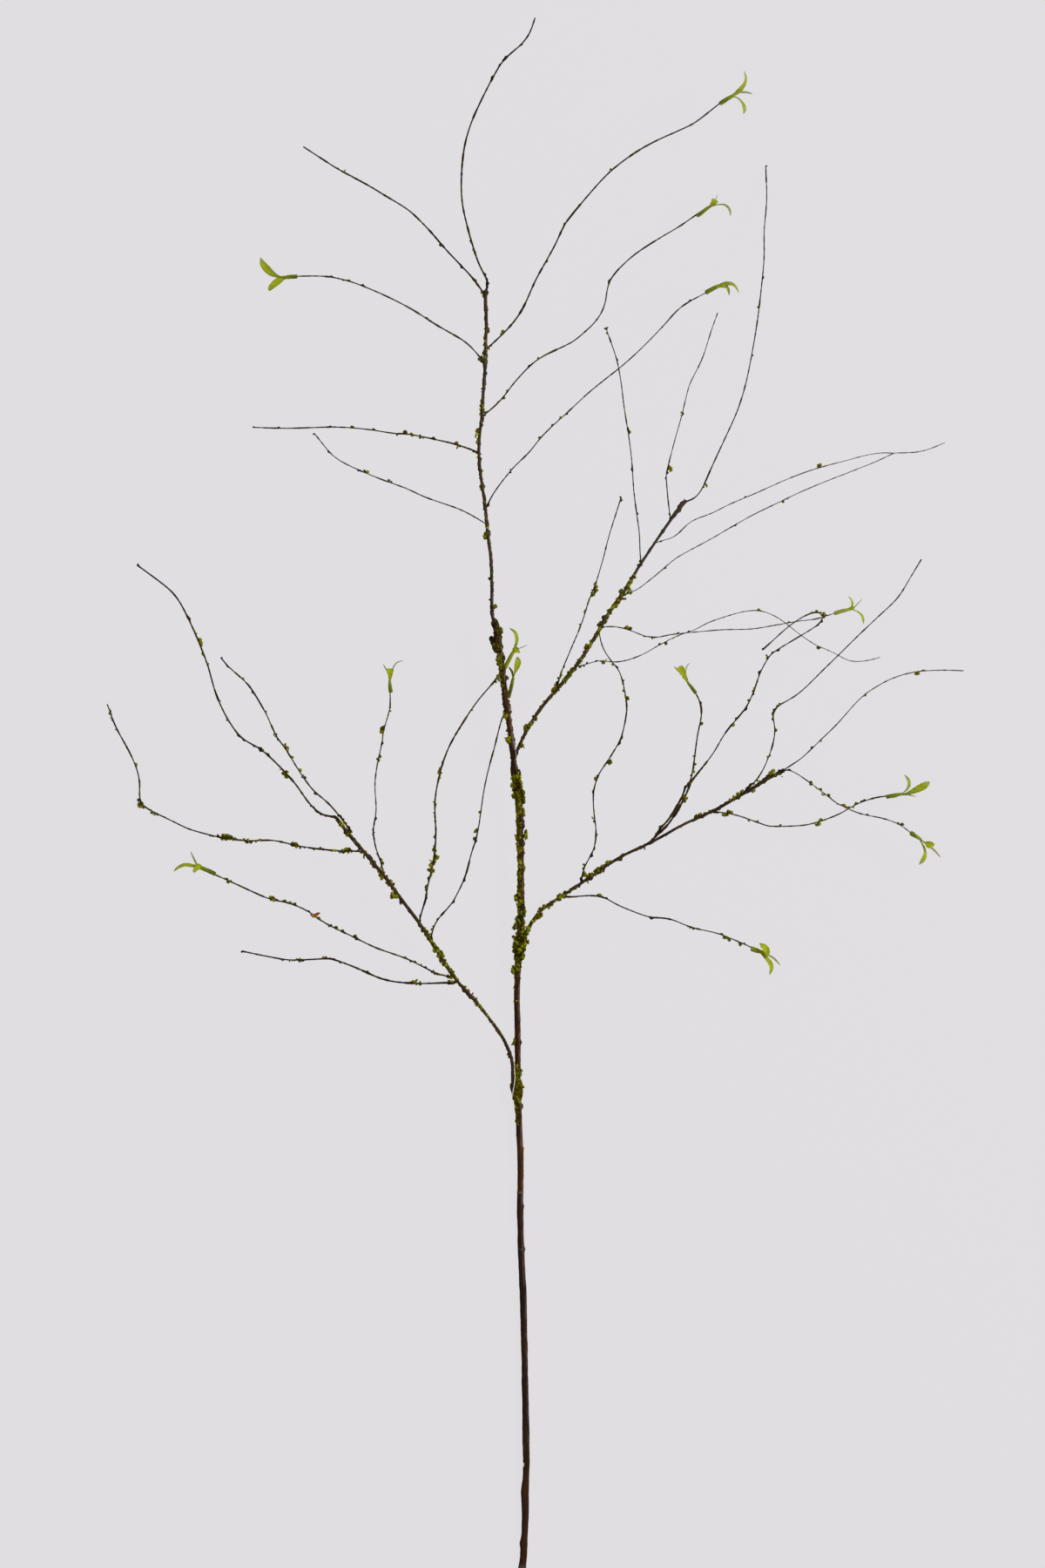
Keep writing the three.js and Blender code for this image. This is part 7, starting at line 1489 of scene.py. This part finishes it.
# ---- joints --------------------------------------------------------------------------------------
SOCKET_BODY = [(567.6, 719.5, 22.4, 2.6), (569.4, 723, 22.4, 3.4), (571.0, 728.6, 22.3, 4.4), (571.4, 733, 22.3, 4.8), (571.2, 738, 22.2, 5.2),
               (571.2, 742, 22.1, 5.2), (572.2, 746.0, 22.0, 4.2), (573.8, 750, 21.9, 3.9), (574.8, 755, 21.8, 4.4),
               (574.4, 760, 21.7, 3.6), (575.6, 765, 21.6, 2.9), (576.8, 770, 21.4, 2.7)]
q = Parts()
knobbly(q, SOCKET_BODY, 44, 501, 1.2, 2.2, 0.0, 0.92)
# the dark lump beside the leader, the ear, the swelling under the ear, the green lump and the dark one
knobbly(q, [(566.8, 711.0, 23.2, 3.1), (567.6, 713.8, 23.2, 4.2), (568.6, 718.0, 23.0, 4.3), (569.6, 722.4, 22.8, 3.2)], 26, 503, 0.8, 1.8, -0.12)
knobbly(q, [(563.8, 729.4, 23.0, 2.0), (564.0, 732.4, 23.0, 3.0), (565.4, 736.4, 22.8, 3.2), (567.4, 740.0, 22.6, 2.6)], 24, 502, 0.8, 1.7, -0.34)
knobbly(q, [(566.8, 736.6, 23.2, 2.0), (567.2, 740.6, 23.2, 3.1), (568.4, 744.8, 22.8, 3.2), (570.8, 748.6, 22.4, 2.4)], 24, 507, 0.9, 1.7, 0.04)
knobbly(q, [(574.0, 719.0, 22.8, 2.0), (574.2, 723.0, 22.8, 2.9), (574.0, 728.0, 22.6, 2.6)], 22, 508, 0.7, 1.5, 0.22)
knobbly(q, [(577.0, 758.6, 22.6, 1.8), (577.6, 754.6, 22.8, 2.3), (577.0, 751.0, 22.6, 1.9)], 22, 504, 0.6, 1.6, -0.12)
knobbly(q, [(576.2, 743.4, 22.6, 1.2), (577.0, 740.6, 22.6, 1.4)], 16, 505, 0.4, 1.5, -0.2)
strew(q, 506, SOCKET_BODY, 70, (0.35, 0.95), 1.7, (-0.1, 0.95), 0.96)
keep(q.object("top_socket", SOCKET), "joint_socket", "top_socket")

q = Parts()
rng = np.random.default_rng(520)
for x, y, size, tone in ((575.6, 721.4, 1.0, 0.9), (576.0, 724.4, 1.0, 0.8), (566.8, 738.0, 0.6, 0.6), (569.4, 742.2, 0.7, 0.9),
                         (572.4, 750.4, 1.1, 0.7), (573.6, 753.6, 1.3, 1.0), (571.6, 756.6, 1.2, 0.9), (574.6, 757.0, 1.0, 0.9), (571.8, 760.4, 1.2, 0.7),
                         (575.6, 749.4, 1.0, 0.9), (573.8, 763.4, 1.1, 0.9), (574.6, 766.6, 1.0, 0.8), (577.0, 760.6, 0.7, 0.5),
                         (571.8, 778.4, 1.5, 0.9), (571.2, 776.2, 1.0, 0.8), (573.0, 781.0, 0.9, 0.6),
                         (572.4, 767.6, 0.8, 0.5), (571.6, 745.0, 0.7, 0.6), (567.8, 719.5, 0.5, 0.3), (573.2, 734.4, 0.7, 0.8),
                         (579.0, 793.0, 0.9, 0.8), (575.4, 770.6, 0.8, 0.6)):
    inner = abs(x - 573) < 3.6 and y < 770
    at = spot(x, y, 25.0 if inner and y < 746 else (24.2 if inner else 22.0))
    put_crumb(q, rng, at, size, unit(np.array([x - 573, 0, 1.0 if inner else 0.2])), size > 1.0, tone)
keep(q.object("moss_trim_socket", MOSS), "moss")

FORK_BODY = [(594.8, 1237.5, 6.4, 2.9), (595.2, 1241, 6.3, 3.4), (595.4, 1246, 6.3, 4.3), (595.2, 1251, 6.1, 4.8),
             (594.6, 1257, 6.0, 4.9), (593.8, 1262, 5.9, 4.2), (593.4, 1267, 5.8, 3.4)]
q = Parts()
knobbly(q, FORK_BODY, 36, 531, 1.2, 2.4, -0.10, 0.85)
strew(q, 535, FORK_BODY, 90, (0.4, 0.95), 1.7, (0.0, 1.0))
crust(q, "main_stem", 36, 0.6, 3.6, 532, 1.0, FORK_LEFT[0], FORK_LEFT[1], 1.0, 0.75)
crumbs(q, "main_stem", 533, FORK_LEFT[0], FORK_LEFT[1], True, 0.9, (0.35, 0.8), 0.9)
rng = np.random.default_rng(534)
for x, y, z, size, tone in ((592.9, 1223.0, 8.4, 1.35, 1.0), (592.6, 1225.0, 8.4, 0.9, 0.8), (598.3, 1228.6, 6.2, 1.1, 0.6),
                            (596.9, 1234.6, 8.2, 1.0, 0.7), (600.2, 1247.2, 6.3, 1.2, 0.75), (597.0, 1250.0, 9.4, 1.3, 0.15),
                            (593.2, 1247.0, 9.3, 1.1, 0.7), (594.6, 1243.0, 9.0, 1.0, 0.8), (590.6, 1258.0, 7.5, 1.2, 0.5)):
    put_crumb(q, rng, spot(x, y, z), size, Z, True, tone)
keep(q.object("moss_fork_left", MOSS), "moss", "moss_fork_left")

# dark stub beside the fork, the dark knob below it and the line of set glue
q = Parts()
knobbly(q, [(586.0, 1243.2, 6.6, 0.9), (586.2, 1247, 6.5, 1.35), (587.0, 1251, 6.2, 1.2), (588.2, 1254.5, 6.0, 0.9)], 12, 541, 0.25, 2.0)
knobbly(q, [(598.0, 1266.8, 5.6, 1.9), (598.6, 1269.0, 5.5, 2.0), (598.0, 1273.0, 5.4, 1.6)], 16, 542, 0.45, 2.0)
keep(q.object("fork_stub", SOCKET), "joint_socket")

p, s = spline([spot(x, y, z) for x, y, z in ((589.9, 1214.6, 8.6), (590.3, 1226, 9.0), (590.8, 1238, 9.0), (590.0, 1245, 8.9),
                                               (588.7, 1251.5, 8.6), (587.7, 1259.5, 7.4))], 0.5)
rad = np.interp(s / s[-1], [0, 0.12, 0.5, 0.8, 1], [0.16, 0.30, 0.36, 0.42, 0.25])[:, None] * (1 + 0.18 * (fbm(np.repeat(p[:, None, :], 10, 1) / 2.2, 2, 7) - 0.5))
v, f, t, _ = tube(p, rad, 10)
q = Parts()
q.add(v, f, t)
p, s = spline([spot(x, y, z) for x, y, z in ((590.0, 852.6, 20.0), (590.9, 858.0, 19.9), (591.6, 864.0, 19.6), (592.0, 870.8, 18.8))], 0.5)
rad = np.interp(s / s[-1], [0, 0.2, 0.6, 0.9, 1], [0.14, 0.34, 0.48, 0.40, 0.18])[:, None] * (1 + 0.3 * (fbm(np.repeat(p[:, None, :], 10, 1) / 1.6, 2, 17) - 0.5))
keep(q.object("glue_line", GLUE), "glue")
v, f, t, _ = tube(p, rad, 10)
q = Parts()
q.add(v, f, t)
keep(q.object("glue_film", FILM), "glue")


# ---- leaf sprouts --------------------------------------------------------------------------------
def soft_ramp(table, n):
    x = np.linspace(0, 1, n)
    t = np.array(table, float)
    y = np.interp(np.linspace(0, 1, 201), t[:, 0], t[:, 1])
    ker = np.hanning(27)
    ker /= ker.sum()
    y = np.convolve(np.pad(y, 13, mode="edge"), ker, mode="valid")
    return np.interp(x, np.linspace(0, 1, 201), y)


OUTLINES = {
    "lens": [[0, 0.26], [0.2, 0.30], [0.36, 0.60], [0.52, 0.93], [0.66, 1.0], [0.80, 0.86], [0.92, 0.50], [1, 0.12]],
    "spoon": [[0, 0.20], [0.28, 0.24], [0.44, 0.52], [0.60, 0.90], [0.74, 1.02], [0.87, 0.96], [0.95, 0.74], [1, 0.42]],
    "early": [[0, 0.42], [0.12, 0.72], [0.28, 1.0], [0.45, 0.92], [0.65, 0.64], [0.82, 0.46], [1, 0.14]],
    "late": [[0, 0.30], [0.25, 0.34], [0.45, 0.55], [0.65, 0.92], [0.78, 1.0], [0.90, 0.70], [1, 0.16]],
    "broad": [[0, 0.14], [0.2, 0.34], [0.42, 0.70], [0.62, 0.96], [0.76, 1.02], [0.88, 0.86], [0.96, 0.50], [1, 0.20]],
    "blunt": [[0, 0.40], [0.2, 0.72], [0.42, 0.98], [0.62, 1.0], [0.82, 0.82], [0.94, 0.60], [1, 0.42]],
    "fan": [[0, 0.22], [0.3, 0.40], [0.6, 0.74], [0.88, 1.0], [1, 0.96]],
    "tuft": [[0, 0.14], [0.40, 0.16], [0.55, 0.70], [0.70, 1.0], [0.86, 0.92], [1, 0.45]],
    "torn": [[0, 0.45], [0.2, 0.78], [0.5, 1.0], [0.8, 0.86], [1, 0.40]],
    "blade": [[0, 0.55], [0.25, 0.74], [0.5, 1.0], [0.75, 0.86], [0.92, 0.5], [1, 0.14]],
}


def leaf(parts, points, width, roll, seed, bright, shape="lens", foot=0.40, wan=0.0):
    """One thin leaf from its foot to its tip; "torn" and "fan" ones have uneven, waving edges."""
    rng = np.random.default_rng(seed)
    p, s = spline(points, 0.4)
    n = len(p)
    u = s / s[-1]
    t = unit(np.gradient(p, axis=0))
    side = unit(np.cross(Z, t))
    other = np.cross(t, side)
    rolls = math.radians(roll) + 0.06 * np.sin(u * 2 + rng.uniform(0, 6)) * u
    w = side * np.cos(rolls)[:, None] + other * np.sin(rolls)[:, None]
    w = unit(w - t * (w * t).sum(1)[:, None])
    up = np.cross(t, w)
    half = soft_ramp(OUTLINES[shape], n) * width / 2
    thick = soft_ramp([[0, 0.85], [0.25, 0.72], [0.5, 0.46], [0.9, 0.34], [1, 0.22]], n)
    thick = np.minimum(thick, half * 1.6 + 0.1)
    sides = 22
    a = np.arange(sides) * 2 * np.pi / sides
    x = np.cos(a)
    y = np.sin(a)
    jag = {"torn": 0.24, "tuft": 0.24, "fan": 0.12}.get(shape, 0.05)
    at = s * 0.9 + rng.uniform(0, 99)
    left = 1 + jag * (even(fbm(np.stack([at, 0 * at, 0 * at], -1), 2, seed)) - 0.5) * 2
    right = 1 + jag * (even(fbm(np.stack([at + 40, 0 * at, 0 * at], -1), 2, seed + 1)) - 0.5) * 2
    reach = half[:, None] * np.where(x[None, :] > 0, left[:, None], right[:, None])
    cup = soft_ramp([[0, 0.0], [0.3, 0.10], [0.6, 0.30], [1, 0.22]], n) * half
    rib = np.exp(-((x / 0.16) ** 2))
    flat = np.sign(y) * np.abs(y) ** 0.8
    height = (thick / 2)[:, None] * flat[None, :] * (1 - 0.35 * np.abs(x) ** 3)[None, :]
    height = height + cup[:, None] * (x**2)[None, :]
    height = height + (jag * 1.3 * np.sin(s * 1.9 + rng.uniform(0, 6)) * half)[:, None] * (x**3)[None, :]
    height = height - (0.10 * rib)[None, :] * np.sign(y)[None, :] * smooth(0.2, 0.5, u)[:, None] * (thick / 0.5)[:, None] * 0.5
    v = p[:, None, :] + w[:, None, :] * (reach * x[None, :])[..., None] + up[:, None, :] * height[..., None]
    blunt = {"fan": 0.12, "blunt": 0.35}.get(shape, 0.9)
    tips = np.stack([p[0] - t[0] * 0.2, p[-1] + t[-1] * half[-1] * blunt])
    q, tr = skin(n, sides)
    along = np.repeat((foot + (1 - foot) * u) * bright, sides)
    # the tips are duller than the middle
    pale = np.repeat(np.clip(wan + 0.35 * smooth(0.72, 1.0, u) * (shape not in ("fan", "torn", "tuft")), 0, 1), sides)
    parts.add(np.vstack([v.reshape(-1, 3), tips]), q, tr, wan=np.concatenate([pale, [wan, wan]]),
              along=np.concatenate([along, [foot, bright]]), rib=np.concatenate([np.tile(rib, n) * np.repeat(smooth(0.1, 0.4, u), sides), [0, 0]]))


def sprout(key):
    data = SPROUTS[key]
    seed = 600 + int(key[-2:])
    rng = np.random.default_rng(seed)
    q = Parts()
    a, b = (np.array(x, float) for x in data["sleeve"])
    long = np.linalg.norm(b - a)
    mid = (a + b) / 2 + np.array([rng.normal() * 0.15, rng.normal() * 0.15, 0])
    p, s = spline([a, mid, b], 0.45)
    u = s / s[-1]
    sides = 20
    full, neck = data.get("girth", (1.62, 1.15))
    half = np.interp(u, [0, 0.03, 0.3, 0.6, 0.85, 1], [full * 0.84, full, full, full * 0.86 + neck * 0.14, full * 0.35 + neck * 0.65, neck])
    ang = np.arange(sides) * 2 * np.pi / sides
    t, n, bb = frames(p)
    d = n[:, None, :] * np.cos(ang)[None, :, None] + bb[:, None, :] * np.sin(ang)[None, :, None]
    w = d * half[:, None, None] + s[:, None, None] * np.array([0, 0, 1.0])
    lumps = fbm(w * np.array([0.7, 0.7, 0.42]), 2, seed)
    grooves = fbm(w * np.array([1.5, 1.5, 0.10]) + 20, 2, seed + 1)
    rad = half[:, None] + data.get("lumpy", 0.26) * (lumps - 0.5) * 2 + 0.22 * (grooves - 0.5) * 2
    v, f, tr, _ = tube(p, rad, sides, ends=(0.12, 0.7))
    tone = (data.get("lift", 0.10) + 0.34 * u[:, None] ** 1.4 + 0.16 * (lumps - 0.5) + 0.40 * (grooves - 0.5)) + 0 * rad
    tone = tone + 0.22 * (1 - smooth(0.0, 0.07, u))[:, None]
    tone = np.concatenate([np.concatenate([tone[:1], tone, tone[-1:]]).ravel(), [0.0, 0.2]])
    q.add(v, f, tr, along=tone, rib=0.0, wan=data.get("pale", 0.0))
    axis = (b - a) / long
    for i, lf in enumerate(data["leaves"]):
        pts = np.array(lf["points"], float)
        run = np.linalg.norm(np.diff(pts, axis=0), axis=1).sum()
        root = b - axis * min(1.6, 0.15 * run)
        leaf(q, np.vstack([root, pts]), lf["width"], lf["roll"], seed * 7 + i, lf.get("fresh", 1.0), lf.get("shape", "lens"), lf.get("foot", 0.40), lf.get("wan", 0.0))
    keep(q.object(key, LEAF), "sprout_leaf", key)


for _key in SPROUTS:
    sprout(_key)


# ---- small finds ---------------------------------------------------------------------------------
def flake(parts, at, normal, size, seed, along=None, slim=0.7):
    """A thin dry scale, a little curled."""
    rng = np.random.default_rng(seed)
    n = unit(np.array(normal, float))
    a = unit(np.cross(n, rng.normal(size=3)))
    if along is not None:
        a = unit(along - n * (along @ n))
    b = np.cross(n, a)
    rings, around = 7, 18
    verts = []
    ang = np.arange(around) * 2 * np.pi / around
    edge = 1 + 0.25 * np.sin(2 * ang + 1) + 0.15 * np.sin(3 * ang + rng.uniform(0, 6)) + 0.08 * np.sin(7 * ang)
    for side in (1, -1):
        rr = np.linspace(0.15, 1, rings) if side > 0 else np.linspace(1, 0.15, rings)
        for r in rr:
            x, y = r * edge * np.cos(ang) * size, r * edge * np.sin(ang) * size * slim
            z = 0.28 * size * (x / size) ** 2 + side * 0.10 * (1 - r**4) + 0.03
            verts.append(at + x[:, None] * a + y[:, None] * b + z[:, None] * n)
    v = np.array(verts)
    q, t = skin(len(v), around)
    tips = np.stack([v[0].mean(0), v[-1].mean(0)])
    parts.add(np.vstack([v.reshape(-1, 3), tips]), q, t)


q = Parts()
r31 = routes["twig_31"]
hit = int(np.argmin(np.linalg.norm(r31.p[:, :2] - spot(362, 1050, 30)[:2], axis=1)))
flake(q, np.array([*spot(361.4, 1049.7, r31.p[hit][2] + 0.9)[:2], r31.p[hit][2] + 0.9]), Z + np.array([0.0, 0.25, 0.0]), 3.3, 701, np.array([1.0, 0.16, 0.0]), 0.52)
r32 = routes["twig_32"]
hit = int(np.argmin(np.linalg.norm(r32.p[:, :2] - spot(393, 1105, 30)[:2], axis=1)))
flake(q, r32.p[hit] + r32.up[hit] * 0.7, r32.up[hit], 0.55, 703)
keep(q.object("dry_flakes", FLAKE), "dry_flake")

q = Parts()
ms = routes["main_stem"]
hit = int(np.argmin(np.abs(ms.s / ms.shown - ms.row(1680.4))))
flake(q, ms.p[hit] + unit(ms.left[hit] + ms.up[hit] * 0.8) * 2.85, ms.left[hit] + ms.up[hit] * 0.8, 1.7, 711, ms.t[hit], 0.6)
keep(q.object("bare_chip", CHIP), "stem_bark")

triangles = 0
for o in made:
    n = sum(len(p.vertices) - 2 for p in o.data.polygons)
    triangles += n
    if n > 60000:
        print("PIECE", o.name, n)
print("TRIANGLES", triangles, "PIECES", len(made))
